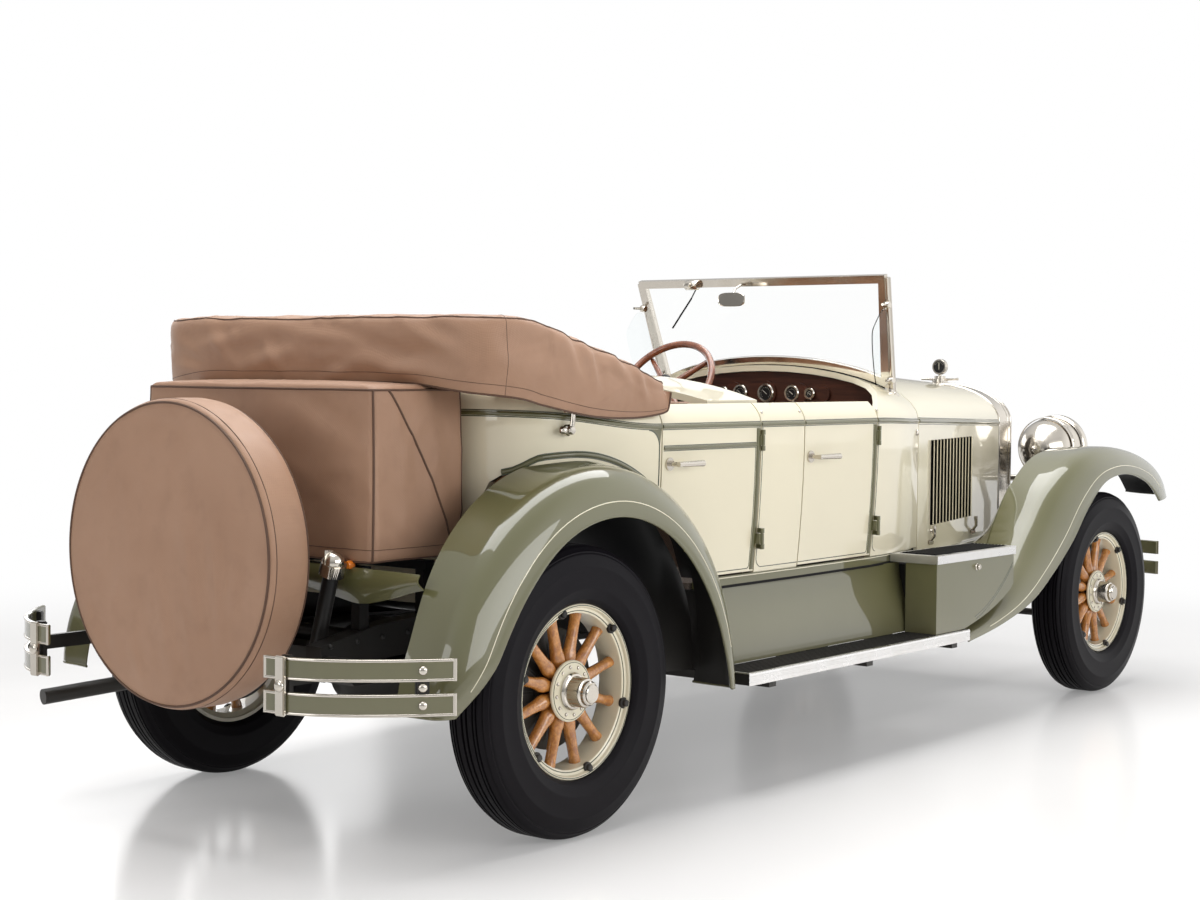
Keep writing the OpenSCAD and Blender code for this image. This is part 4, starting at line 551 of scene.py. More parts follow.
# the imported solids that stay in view: their finish, and shading that is smooth up to an edge
def smoothGroup(degrees):
    group = bpy.data.node_groups.new("smoothTo%d" % degrees, "GeometryNodeTree")
    group.interface.new_socket("Geometry", in_out="INPUT", socket_type="NodeSocketGeometry")
    group.interface.new_socket("Geometry", in_out="OUTPUT", socket_type="NodeSocketGeometry")
    gin, out = group.nodes.new("NodeGroupInput"), group.nodes.new("NodeGroupOutput")
    plain = addNode(group, "GeometryNodeRemoveAttribute", {"Name": "custom_normal"})
    weld = addNode(group, "GeometryNodeMergeByDistance", {"Distance": 0.00005})
    soft = addNode(group, "GeometryNodeSetShadeSmooth", {"Shade Smooth": True}, domain="FACE")
    hard = addNode(group, "GeometryNodeSetShadeSmooth", {"Shade Smooth": False}, domain="EDGE")
    bend = group.nodes.new("GeometryNodeInputMeshEdgeAngle")
    steep = addNode(group, "FunctionNodeCompare", data_type="FLOAT", operation="GREATER_THAN")
    steep.inputs[1].default_value = math.radians(degrees)
    group.links.new(bend.outputs[0], steep.inputs[0])
    group.links.new(steep.outputs[0], hard.inputs["Selection"])
    for a, b in zip((gin, plain, weld, soft, hard), (plain, weld, soft, hard, out)):
        group.links.new(a.outputs["Geometry"], b.inputs["Geometry"])
    return group


cadFinish = {
    "black": ["frame_rails", "front_axle", "rear_axle", "leaf_springs", "exhaust", "fuel_tank", "steering_column",
              "knuckle_right", "knuckle_left", "tie_rod"],
    "mat": ["running_boards"], "iron": ["engine_block"], "core": ["radiator_core"],
    "nickel": ["radiator_shell", "windshield_frame", "headlamps"],
    "cream": ["hood_top", "hood_sides", "cowl", "pillar_panels", "rear_body", "tonneau_cowl", "front_door_right",
              "front_door_left", "rear_door_right", "rear_door_left"],
    "carpet": ["floor"], "dashWood": ["dashboard"], "leather": ["front_seat", "rear_seat"],
    "green": ["side_aprons", "front_fenders", "rear_fenders", "rear_apron", "step_boxes", "bumpers"],
    "glass": ["windshield_glass"], "lens": ["headlamp_lenses"],
    "canvas": ["trunk_cover", "spare_cover", "folded_top"], "wheelWood": ["steering_wheel"],
    "rubber": ["tyre_front_right", "tyre_front_left", "tyre_rear_right", "tyre_rear_left"],
    "spokeWood": ["wheel_front_right", "wheel_front_left", "wheel_rear_right", "wheel_rear_left"],
}
softShade = smoothGroup(32)
for key, names in cadFinish.items():
    for name in names:
        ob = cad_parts[name]
        ob.data.materials.clear()
        ob.data.materials.append(finish[key])
        ob.data.polygons.foreach_set("material_index", [0] * len(ob.data.polygons))
        shade = ob.modifiers.new("smoothShade", "NODES")
        shade.node_group = softShade


def paintFaces(name, key, test):  # another finish where test says so, by a face's centre and normal
    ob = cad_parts[name]
    ob.data.materials.append(finish[key])
    index = len(ob.data.materials) - 1
    for face in ob.data.polygons:
        if test(face.center - Vector((car["rearAxle"], 0, 0)), face.normal):
            face.material_index = index


faceSet = {"handleZ": 1.046, "handleHalf": 0.024, "lidZ": 0.6455, "fillerZ": 0.767, "lampY": 0.522, "lampS": 2.14,
           "louvreS": (2.41, 3.02), "louvreZ": (0.74, 1.08), "archR": 0.675, "archS": 0.085, "hingeReach": 0.030,
           "hingeTop": 1.15}
doors = ["rear_door_right", "rear_door_left", "front_door_right", "front_door_left"]


def proud(c):  # how far a spot stands out of the body side
    return abs(c.y) - planHalf(c.x) + sideIn(c.x, c.z)


def onHandle(c, n):
    return proud(c) > 0.0015 and abs(c.z - faceSet["handleZ"]) < faceSet["handleHalf"]


def onCowlLamp(c, n):
    near = abs(abs(c.y) - faceSet["lampY"]) < 0.019 and c.z > 1.2 and abs(c.x - faceSet["lampS"]) < 0.06
    return near and (abs(n.z) > 0.95 or abs(n.z) < 0.02)


# painted shade: the inner and end faces of the louvre blades are painted black for the shade inside the slots
def louvreShadeFaces(c, n):
    (s0, s1), (z0, z1) = faceSet["louvreS"], faceSet["louvreZ"]
    turned = n.dot(skinOut(c.x, 1 if c.y > 0 else -1)) < 0.35
    return s0 < c.x < s1 and z0 < c.z < z1 and turned and abs(c.y) - planHalf(c.x) < 0.009


# painted shade: faces of the rear doors and rear body over the wheel arch that turn to the wheel are painted black for
# the shade under the fender
def archEdgeShade(c, n):
    s, z = c.x - faceSet["archS"], c.z - car["tyreR"]
    return math.hypot(s, z) < faceSet["archR"] and n.x * s + n.z * z < -0.4


def onHinge(c, n):
    away = min(abs(c.x - car["rearDoorFront"]), abs(c.x - car["frontDoorFront"]))
    return away < faceSet["hingeReach"] and c.z < faceSet["hingeTop"] and proud(c) > 0.0008


faceRules = [("nickel", onHandle, doors),
             ("alloy", lambda c, n: c.z > faceSet["lidZ"], ["step_boxes"]),
             ("nickel", onCowlLamp, ["cowl"]),
             ("nickel", lambda c, n: c.z > faceSet["fillerZ"], ["fuel_tank"]),
             ("black", louvreShadeFaces, ["hood_sides"]),
             ("black", archEdgeShade, doors[:2] + ["rear_body"]),
             ("green", onHinge, doors + ["pillar_panels", "cowl"])]
for key, test, names in faceRules:
    for name in names:
        paintFaces(name, key, test)
print("stage: packed solids painted")


# fenders: rows of crown, lip and inner edge, in metres from the front axle
frontFender = {"rowSteps": 8, "archSteps": 16, "beadR": 0.0055, "beadIn": 0.0050, "endR": 0.0045,
               "sheet": 0.004, "valance": 0.005, "rows": [
    (0.600, 0.805, 0.400, 0.790, 0.590, 0.812, 0.620), (0.562, 0.882, 0.330, 0.842, 0.520, 0.890, 0.606),
    (0.440, 0.955, 0.240, 0.884, 0.400, 0.958, 0.598), (0.235, 1.008, 0.110, 0.914, 0.215, 1.004, 0.594),
    (-0.025, 1.028, -0.030, 0.918, -0.025, 1.022, 0.592), (-0.290, 0.994, -0.180, 0.884, -0.285, 0.990, 0.592),
    (-0.500, 0.888, -0.325, 0.790, -0.480, 0.890, 0.596), (-0.662, 0.742, -0.455, 0.672, -0.640, 0.748, 0.606),
    (-0.820, 0.604, -0.625, 0.556, -0.795, 0.614, 0.640), (-0.985, 0.496, -0.815, 0.456, -0.965, 0.506, 0.690),
    (-1.150, 0.424, -1.060, 0.392, -1.140, 0.434, 0.716), (-1.318, 0.389, -1.318, 0.352, -1.318, 0.390, 0.718)]}
rearFender = {"rowSteps": 8, "crownR": 0.640, "lipR": 0.500, "rootR": 0.650, "lead": 0.085, "innerY": 0.652,
              "tailIn": 0.050, "tailFrom": 164, "crownOut": 0.015, "rows": [
    (-6, 0, 0.078, 0), (12, 0, 0.036, 0), (35, 0, 0.008, 0), (60, 0, 0, 0.010), (90, 0, 0, 0.028), (115, 0, 0, 0.030),
    (140, 0.004, 0, 0.018), (160, 0.014, 0.022, 0), (171, 0.029, 0.062, 0), (180, 0.043, 0.128, 0)]}


def fenderSection(inner, crown, lip, steps):  # from the inner edge over the crown to the lip
    a = [Vector((mix(inner.x, crown.x, math.sin(t)), mix(inner.y, crown.y, t / (math.pi / 2)),
                 mix(inner.z, crown.z, math.sin(t)))) for t in (math.pi / 2 * k / 6 for k in range(6))]
    b = [Vector((mix(crown.x, lip.x, 1 - math.cos(t)), mix(crown.y, lip.y, math.sin(t)),
                 mix(crown.z, lip.z, 1 - math.cos(t)))) for t in (math.pi / 2 * k / steps for k in range(steps + 1))]
    return a + b


def frontFenderGrid(side):
    c, f = car, frontFender
    rows = []
    for i in range((len(f["rows"]) - 1) * f["rowSteps"] + 1):
        r = rowAt(f["rows"], i / f["rowSteps"])
        w = c["wheelbase"]
        rows.append(fenderSection(at(w + r[4], side * r[6], r[5]), at(w + r[0], side * c["fenderCrown"], r[1]),
                                  at(w + r[2], side * c["fenderHalf"], r[3]), f["archSteps"]))
    return rows


def cornerHalf(s):
    if s >= corner["centre"]:
        return planHalf(s)
    u = min(1.0, (corner["centre"] - s) / (corner["centre"] - car["bodyBack"]))
    return planHalf(corner["centre"]) * max(0.0, 1 - u ** (2 / corner["power"])) ** (corner["power"] / 2)


def archSpot(r, degrees):  # station and height on a circle round the rear wheel arch
    a = math.radians(degrees)
    return rearFender["lead"] + r * math.cos(a), car["tyreR"] + r * math.sin(a)


def rearFenderGrid(side):
    f, rows = rearFender, []
    for i in range((len(f["rows"]) - 1) * f["rowSteps"] + 1):
        a, grow, lipGrow, reach = rowAt(f["rows"], i / f["rowSteps"])
        root, crown = archSpot(f["rootR"] + grow, a), archSpot(f["crownR"] + grow, a)
        lip = archSpot(f["lipR"] + lipGrow, a)
        if root[0] > corner["centre"]:
            pull = 0.6 * sideIn(root[0], min(root[1], car["beltZ"]))
        else:
            pull = -0.006 - 0.025 * share(corner["centre"], car["bodyBack"], root[0]) ** 2
        rootY = max(f["innerY"] - reach, cornerHalf(root[0]) - pull + 0.0006)
        lipY = car["fenderHalf"] - f["tailIn"] * max(0, (a - f["tailFrom"]) / (180 - f["tailFrom"])) ** 2
        rows.append(fenderSection(at(root[0], side * rootY, root[1]),
                                  at(crown[0], side * (car["fenderCrown"] + f["crownOut"]), crown[1]),
                                  at(lip[0], side * lipY, lip[1]), frontFender["archSteps"]))
    return rows


def valanceGrid(side):
    rows = []
    for i in range(25):
        r = rowAt(frontFender["rows"], mix(6, 9, i / 24))
        s = car["wheelbase"] + r[4]
        top = at(s, side * (r[6] - car["fenderT"] - 0.0003), r[5] - 0.003)
        foot = at(s, side * (planHalf(s) + 0.0243), 0.6383)
        rows.append([top.lerp(foot, k / 8) - Vector((0, 0, 0.030 * math.sin(math.pi * k / 8))) for k in range(9)])
    return rows


def inwardSign(grid, centre):  # which way the grid's normal must be turned to point at the wheel
    i, j = len(grid) // 2, len(grid[0]) // 2
    normal = gridNormals([grid[i - 1], grid[i], grid[i + 1]])[1][j]
    return 1 if normal.dot(centre - grid[i][j]) > 0 else -1


def buildFenders():
    f = frontFender
    for name, gridOf, station in (("front_fenders", frontFenderGrid, car["wheelbase"]),
                                  ("rear_fenders", rearFenderGrid, 0.0)):
        kit = newKit()
        for side in (-1, 1):
            grid, hub = gridOf(side), at(station, side * car["halfTrack"], car["tyreR"])
            addSheet(kit, grid, inwardSign(grid, hub) * f["sheet"], 0, 1)
            addTube(kit, [row[-1] + Vector((0, -side * f["beadIn"], 0)) for row in grid], f["beadR"], 0, 10)
            for end in (grid[0], grid[-1]):
                addTube(kit, [p - Vector((0, side * f["endR"], 0)) for p in end], f["endR"], 0, 8)
            if name == "front_fenders":
                valance = valanceGrid(side)
                addSheet(kit, valance, f["valance"] * inwardSign(valance, hub), 0, 1)
        makePiece(name + "_sheets", kit, [finish["green"], finish["black"]], "chassis", [name])


# wheels: wooden spokes between a steel rim and a riveted hub
wheelSet = {"spokes": 12, "tyreHalf": 0.086, "rimR": 0.250, "rimHalf": 0.056, "flangeR": 0.088, "flangeOut": 0.035,
            "rivets": 12, "rivetRing": 0.069, "bolts": 6, "boltRing": 0.2345, "drumR": 0.175, "drumIn": -0.082,
            "capOut": 0.112}
spokeShape = [(0.052, 0.0125, 0.022), (0.085, 0.0205, 0.0225), (0.096, 0.0225, 0.0220), (0.106, 0.0215, 0.0205),
              (0.122, 0.0180, 0.0185), (0.150, 0.0158, 0.0178), (0.180, 0.0148, 0.0172), (0.205, 0.0150, 0.0172),
              (0.214, 0.0170, 0.0185), (0.224, 0.0172, 0.0190)]  # radius, half width and half depth
capShape = [(0.0425, 0.026), (0.0405, 0.022), (0.037, 0.0205), (0.035, 0.019), (0.0345, 0.010), (0.031, 0.006),
            (0.0285, 0.0055), (0.0275, 0.002), (0.025, 0), (0.0, 0)]  # radius, and depth below the cap's end
tyreShape = [(0, 0.64), (0.03, 0.74), (0.07, 0.80), (0.085, 0.835), (0.10, 0.84), (0.24, 0.95), (0.27, 0.972),
             (0.285, 0.968), (0.45, 1), (0.60, 0.985), (0.615, 0.992), (0.64, 0.985), (0.66, 0.97), (0.76, 0.925),
             (0.82, 0.89), (0.845, 0.872), (0.86, 0.835), (0.885, 0.835), (0.92, 0.76), (0.95, 0.715), (0.93, 0.69),
             (0.93, 0.665), (0.975, 0.60), (0.992, 0.52), (0.955, 0.505), (0.955, 0.47), (0.998, 0.455), (1, 0.42),
             (1, 0.39), (0.955, 0.375), (0.955, 0.335), (1, 0.32), (1, 0.14), (0.955, 0.125), (0.955, 0.065), (1, 0.05)]


def wayOut(k, count, shift):  # direction of a spoke, rivet or bolt in the wheel's plane
    a = 2 * math.pi * (k + shift) / count
    return Vector((math.cos(a), 0, math.sin(a)))


def buildWheel(tag, s, side):
    w, body = wheelSet, "wheel_" + tag
    centre, axis = at(s, side * car["halfTrack"], car["tyreR"]), Vector((0, side, 0))
    e, h, f, g = w["rimR"], w["rimHalf"], w["flangeOut"], w["flangeR"]
    cap, drum, back = w["capOut"], w["drumR"], w["drumIn"]

    def turned(kit, profile, mat=0, segs=72, closed=False):
        addLathe(kit, profile, centre, axis, mat, segs, closed)

    kit = newKit()
    outer = [(mix(e + 0.0003, car["tyreR"], r), q * w["tyreHalf"]) for r, q in tyreShape]
    turned(kit, outer + [(r, -q) for r, q in reversed(outer)], 0, 168, True)
    makePiece("tyre_%s_ribbed" % tag, kit, finish["rubber"], body, ["tyre_" + tag], 42)

    kit = newKit()  # rim and hub flange, each with a thin line
    turned(kit, [(0.222, -0.040), (0.222, 0.036), (0.2235, 0.041), (0.2265, 0.043), (0.234, 0.0445), (0.2375, 0.046),
                 (0.239, 0.0505), (0.2395, h - 0.003), (0.242, h), (e - 0.002, h), (e, h - 0.002), (e, -h),
                 (0.239, -h), (0.238, -0.046)], 0, 120, True)
    for r, z in ((0.2295, 0.0438), (0.2450, 0.0560)):
        turned(kit, [(r - 0.0016, z - 0.0006), (r - 0.0012, z + 0.0007), (r + 0.0012, z + 0.0007),
                     (r + 0.0016, z - 0.0006)], 1, 120)
    turned(kit, [(0.030, f - 0.012), (g - 0.004, f - 0.012), (g, f - 0.008), (g, f - 0.003), (g - 0.003, f),
                 (0.050, f + 0.001), (0.030, f + 0.001)])
    turned(kit, [(0.0803, f - 0.001), (0.0808, f + 0.0012), (0.0822, f + 0.0012), (0.0828, f - 0.001)], 1)
    makePiece("wheel_%s_rim" % tag, kit, [finish["cream"], finish["darkGreen"]], body, [body])

    kit = newKit()
    for k in range(w["spokes"]):
        out = wayOut(k, w["spokes"], 0.5)
        across = axis.cross(out)
        addLoft(kit, [[centre + out * r + across * wide * c + axis * deep * d for c, d in circle(16)]
                      for r, wide, deep in spokeShape])
    makePiece("wheel_%s_spokes" % tag, kit, finish["spokeWood"], body)

    kit = newKit()
    turned(kit, [(0.052, f), (0.054, f + 0.006), (0.050, f + 0.012), (0.0445, f + 0.014), (0.0425, f + 0.018)]
           + [(r, cap - d) for r, d in capShape], 0, 64)
    for k in range(w["rivets"]):
        spot = centre + wayOut(k, w["rivets"], 0.25) * w["rivetRing"] + axis * (f - 0.0005)
        addLathe(kit, [(0.0058, 0), (0.0055, 0.002), (0.0040, 0.0042), (0.0018, 0.0050), (0, 0.0052)], spot, axis, 0,
                 14)
    makePiece("wheel_%s_hub_cap" % tag, kit, finish["nickel"], body, sharp=30)

    kit = newKit()
    turned(kit, [(0.060, back), (drum - 0.003, back), (drum, back + 0.003), (drum, back + 0.012),
                 (drum - 0.004, back + 0.014), (drum - 0.004, back + 0.030), (drum, back + 0.032),
                 (drum, back + 0.043), (drum - 0.012, back + 0.048), (0.088, -0.032), (0.060, -0.030)], 0, 96)
    turned(kit, [(0.088, -0.032), (0.090, -0.026), (0.082, -0.022), (0.050, -0.020)])
    for k in range(w["bolts"]):
        spot = centre + wayOut(k, w["bolts"], 0.75) * w["boltRing"] + axis * 0.044
        addLathe(kit, [(0.0165, -0.004), (0.0165, 0.004), (0.0145, 0.006), (0.0105, 0.006), (0.0105, 0.013),
                       (0.008, 0.0155), (0, 0.016)], spot, axis, 0, 18)
    makePiece("wheel_%s_drum_and_bolts" % tag, kit, finish["black"], body)

    kit = newKit()  # valve cap on the sidewall side of the rim
    addLathe(kit, [(0.004, -0.02), (0.004, 0.012), (0.0055, 0.012), (0.0055, 0.024), (0.004, 0.027), (0, 0.027)],
             centre + Vector((0.2285, 0, 0.02)), axis, 0, 12)
    makePiece("wheel_%s_valve" % tag, kit, finish["nickel"], body)


# mouldings and lines of the body
lines = {"beltWidth": 0.0125, "beltProud": 0.0050, "stripe": 0.0032, "stripeProud": 0.0010, "stripeOff": 0.0088,
         "postWidth": 0.019, "postProud": 0.005, "gap": 0.0035, "railZ": 1.094, "railOff": 0.0075, "sillUp": 0.004,
         "postIn": 0.015, "lineIn": 0.029, "tight": 0.012, "wide": 0.034}


def sideRun(kit, side, s0, s1, zOf, width, proud, mat=0):
    ss = spread(s0, s1, 16)
    addBead(kit, [skinPoint(s, zOf(s), side) for s in ss], [skinOut(s, side) for s in ss], width, proud, mat)


def postRun(kit, side, s, z0, z1, width, proud, mat=0):
    zs = spread(z0, z1, 12)
    addBead(kit, [skinPoint(s, z, side) for z in zs], [skinOut(s, side)] * len(zs), width, proud, mat)


def cornerLine(kit, side, s0, top, low, s1, radius):  # down a post, round a corner and along the sill
    way = 1 if s1 > s0 else -1
    pts = [(s0, z) for z in spread(top, low + radius, 10)]
    pts += [(s0 + way * radius * (1 - math.cos(a)), low + radius * (1 - math.sin(a)))
            for a in (math.pi / 2 * k / 6 for k in range(1, 7))]
    pts += [(s, low) for s in spread(s0 + way * radius, s1, 12)[1:]]
    skinLine(kit, side, pts, lines["stripe"], lines["stripeProud"])


def skinLine(kit, side, pts, width, proud):  # a dark line through stations and heights on the body side
    addBead(kit, [skinPoint(s, z, side) for s, z in pts], [skinOut(s, side) for s, _ in pts], width, proud, 1)


def beltSet(kit, side, s0, s1, zOf):  # a green moulding with a dark line above and below
    sideRun(kit, side, s0, s1, zOf, lines["beltWidth"], lines["beltProud"], 0)
    for off in (-1, 1):
        sideRun(kit, side, s0, s1, lambda s: zOf(s) + off * lines["stripeOff"], lines["stripe"], lines["stripeProud"],
                1)


def archZ(s, r):
    d = s - rearFender["lead"]
    return car["tyreR"] if abs(d) >= r else car["tyreR"] + math.sqrt(r * r - d * d)


def addDoorLines(kit, side, back, front, top, sillEnd):  # belt, hinge post and the line inside the panel
    m, low = lines, car["sillTop"] + lines["tight"]
    beltSet(kit, side, back + m["gap"], front - m["gap"], beltAt)
    postRun(kit, side, front - m["postIn"], low, beltAt(front) - m["tight"], m["postWidth"], m["postProud"])
    cornerLine(kit, side, front - m["lineIn"], top, low + m["sillUp"], sillEnd, m["tight"])


def addQuarterLines(kit, side):  # rear quarter, round the corner of the body and over the wheel arch
    c, m, back = car, lines, car["rearDoorBack"]
    beltSet(kit, side, corner["centre"] - 0.002, back - m["gap"], beltAt)
    path = [quarterSpot(side, 66 * (k / 26) ** 1.8) for k in range(27)]
    fall = [(back - m["tight"] - 0.052 * (1 - math.sin(math.radians(a))),
             c["beltZ"] - m["stripeOff"] - 0.052 * (1 - math.cos(math.radians(a)))) for a in range(0, 91, 9)]
    skinLine(kit, side, fall, 0.0055, 0.0016)
    postRun(kit, side, back - m["tight"], archZ(back, 0.655), fall[-1][1], 0.0055, 0.0016, 1)
    addSheet(kit, [[skinPoint(mix(s, back - 0.004, k / 2), mix(z, c["beltZ"] - 0.006, k / 2), side, 0.0011)
                    for k in range(3)] for s, z in fall], 0.0006 * side, 0)
    outs = planOuts(path, 1, side)
    for width, proud, off, mat in ((m["beltWidth"], m["beltProud"], 0, 0),
                                   (m["stripe"], m["stripeProud"], -m["stripeOff"], 1),
                                   (m["stripe"], m["stripeProud"], m["stripeOff"], 1)):
        addBead(kit, [at(s, y, beltAt(s) + off) - o * sideIn(s, beltAt(s) + off) for (s, y), o in zip(path, outs)],
                outs, width, proud, mat)
    arc = [archSpot(0.668 - 0.030 * ease((a - 98) / 7), a) for a in spread(58, 105, 32)]
    spots = [at(s, side * (cornerHalf(s) - sideIn(s, z)), z) for s, z in arc]
    outs = planOuts(spots, 1, side)
    addBead(kit, spots, outs, 0.012, 0.0045, 0)
    for off in (-0.008, 0.008):
        addBead(kit, [p + Vector((0, 0, off)) for p in spots], outs, 0.0045, 0.0022, 1)


def buildMouldings():
    c, m, two = car, lines, [finish["green"], finish["darkGreen"]]
    low = c["sillTop"] + m["tight"] + m["sillUp"]
    hoodRun = spread(c["hoodBack"] + 0.008, c["radiatorBack"] - 0.008, 12)

    def alongHood(s, rear, front):
        return mix(rear, front, share(c["hoodBack"], c["radiatorBack"], s))

    for side, word in ((-1, "right"), (1, "left")):
        kit = newKit()
        addDoorLines(kit, side, c["frontDoorBack"], c["frontDoorFront"], beltAt(1.6) - m["stripeOff"],
                     c["frontDoorBack"] + m["gap"])
        makePiece("front_door_%s_moulding" % word, kit, two, "front_door_" + word)

        kit = newKit()  # the rear door has a second rail under the belt
        rail = (c["rearDoorBack"] + 0.010, c["rearDoorFront"] - 0.027)
        sideRun(kit, side, *rail, lambda s: m["railZ"], 0.0105, 0.0045)
        for off in (-m["railOff"], m["railOff"]):
            sideRun(kit, side, *rail, lambda s: m["railZ"] + off, m["stripe"], m["stripeProud"], 1)
        addDoorLines(kit, side, c["rearDoorBack"], c["rearDoorFront"], m["railZ"] - m["railOff"], 0.745)
        makePiece("rear_door_%s_moulding" % word, kit, two, "rear_door_" + word)

        kit = newKit()  # panel between the doors, cowl side and rear quarter
        for back, front, top, end in ((c["rearDoorFront"], c["frontDoorBack"] - m["gap"], c["beltZ"], 0.0),
                                      (c["frontDoorFront"], c["hoodBack"] - 0.002, beltAt(1.8), 0.010)):
            beltSet(kit, side, back + m["gap"], front, beltAt)
            cornerLine(kit, side, back + 0.010, top - m["stripeOff"], low, front - end, m["wide"])
        addQuarterLines(kit, side)
        makePiece("body_%s_moulding" % word, kit, two, "chassis")

        kit = newKit()  # hood: shoulder hinge moulding between two lines
        for width, proud, off, mat in ((0.016, 0.006, 0.0, 0), (0.003, 0.001, -0.012, 1), (0.003, 0.0012, 0.012, 1)):
            addBead(kit, [at(s, side * planHalf(s), alongHood(s, beltAt(c["hoodBack"]), c["radiatorShoulder"]) + off)
                          for s in hoodRun], [skinOut(s, side) for s in hoodRun], width, proud, mat)
        makePiece("hood_%s_moulding" % word, kit, two, "chassis")
    kit = newKit()
    addTube(kit, [at(s, 0, alongHood(s, c["cowlTop"], c["radiatorTop"]) - 0.003) for s in hoodRun], 0.006, 0, 10)
    brightPiece("hood_centre_hinge", kit)


buildFenders()
for tag, station, side in (("front_right", car["wheelbase"], -1), ("front_left", car["wheelbase"], 1),
                           ("rear_right", 0.0, -1), ("rear_left", 0.0, 1)):
    buildWheel(tag, station, side)
buildMouldings()
print("stage: fenders, wheels and mouldings made")


# canvas covers and seats
# soft folds along the normals; mask weighs them over the grid, push adds folds of its own
def crumple(rows, amount, scale, seed, stretch, mask, loop=False, slant=0.0, push=None):
    normals = gridNormals(rows)
    if loop:
        normals = [r[1:-1] for r in gridNormals([[r[-1]] + list(r) + [r[0]] for r in rows])]
    n, m = len(rows), len(rows[0])
    out = []
    for i in range(n):
        row = []
        for j in range(m):
            p = rows[i][j]
            q = Vector((p.x * stretch[0], p.y * stretch[1], p.z * stretch[2] + (p.y + 0.5 * p.x) * slant)) * scale
            q += Vector((seed, seed * 0.7, -seed))
            soft = noise.fractal(q, 1.0, 2.0, 3)
            ridge = 1 - min(1.0, abs(noise.noise(q * 1.7)) * 3.2)
            w = mask(i / (n - 1), j / (m - 1))
            lift = push(p) * math.copysign(1, w) if push else 0.0
            row.append(p + normals[i][j] * (amount * w * (0.75 * soft + 0.55 * ridge * ridge) + lift))
        out.append(row)
    return out


def foldPush(a, b, folds):  # lift at a spot; a fold runs from one spot to another and has a width and a height
    total = 0.0
    for a0, b0, a1, b1, wide, high in folds:
        run = math.hypot(a1 - a0, b1 - b0)
        t = ((a - a0) * (a1 - a0) + (b - b0) * (b1 - b0)) / run ** 2
        d = ((a - a0) * (b1 - b0) - (b - b0) * (a1 - a0)) / (run * wide)
        if -0.25 < t < 1.25 and abs(d) < 5:
            ridge = math.exp(-d * d) - 0.55 * math.exp(-(d - 1.7) ** 2)
            total += high * math.sin(math.pi * (t + 0.25) / 1.5) ** 2 * ridge
    return total


def gridArea(rows):
    return round(sum(((b[j + 1] - a[j]).cross(b[j] - a[j + 1])).length / 2
                     for a, b in zip(rows, rows[1:]) for j in range(len(a) - 1)), 3)


def evenly(points, count):  # a line divided into equal steps
    gone = [0.0]
    for p, q in zip(points, points[1:]):
        gone.append(gone[-1] + (q - p).length)
    out, k = [], 0
    for i in range(count):
        want = gone[-1] * i / (count - 1)
        while k < len(points) - 2 and gone[k + 1] < want:
            k += 1
        out.append(points[k].lerp(points[k + 1], min(1.0, (want - gone[k]) / max(1e-9, gone[k + 1] - gone[k]))))
    return out


def onGrid(rows, i, j):
    a, b = min(int(i), len(rows) - 2), min(int(j), len(rows[0]) - 2)
    return rows[a][b].lerp(rows[a][b + 1], j - b).lerp(rows[a + 1][b].lerp(rows[a + 1][b + 1], j - b), i - a)


def outwards(rows, centre):  # rows put in the order whose normals face away from the centre
    i, j = len(rows) // 2, len(rows[0]) // 3
    normal = gridNormals([rows[i - 1], rows[i], rows[i + 1]])[1][j]
    return rows if normal.dot(rows[i][j] - centre) > 0 else [list(reversed(r)) for r in rows]


def addShell(kit, rows, thick, capFirst=False, capLast=False, mat=0):  # a thin cover that runs right round
    n, m = len(rows), len(rows[0])
    normals = gridNormals([[r[-1]] + list(r) + [r[0]] for r in rows])
    inner = [[p - normals[i][j + 1] * thick for j, p in enumerate(r)] for i, r in enumerate(rows)]
    a, b = addGrid(kit, rows, mat, loopCols=True), addGrid(kit, inner, mat, loopCols=True)
    for i, cap in ((0, capFirst), (n - 1, capLast)):
        if cap:
            addFace(kit, range(a + i * m, a + i * m + m), mat)
            addFace(kit, range(b + i * m, b + i * m + m), mat)
        else:
            for j in range(m):
                k = (j + 1) % m
                addFace(kit, (a + i * m + j, a + i * m + k, b + i * m + k, b + i * m + j), mat)


spareSet = {"back": -0.844, "r": 0.428, "depth": 0.152, "z": 0.816, "segs": 160, "fold": 0.0040, "pipeR": 0.0036,
            "thick": 0.003, "folds": [
    (-0.08, 0.98, -0.15, 0.56, 0.030, 0.0045), (-0.20, 0.94, -0.23, 0.60, 0.024, 0.0040),
    (-0.30, 0.84, -0.27, 0.64, 0.020, 0.0035),
    (0.03, 0.78, -0.03, 0.46, 0.030, 0.0035), (0.32, 1.00, 0.14, 1.17, 0.026, -0.0035),
    (0.12, 1.18, -0.14, 1.16, 0.022, -0.0035),
    (0.36, 0.66, 0.27, 0.52, 0.022, 0.0030), (0.16, 0.60, 0.10, 0.45, 0.022, 0.0030)]}


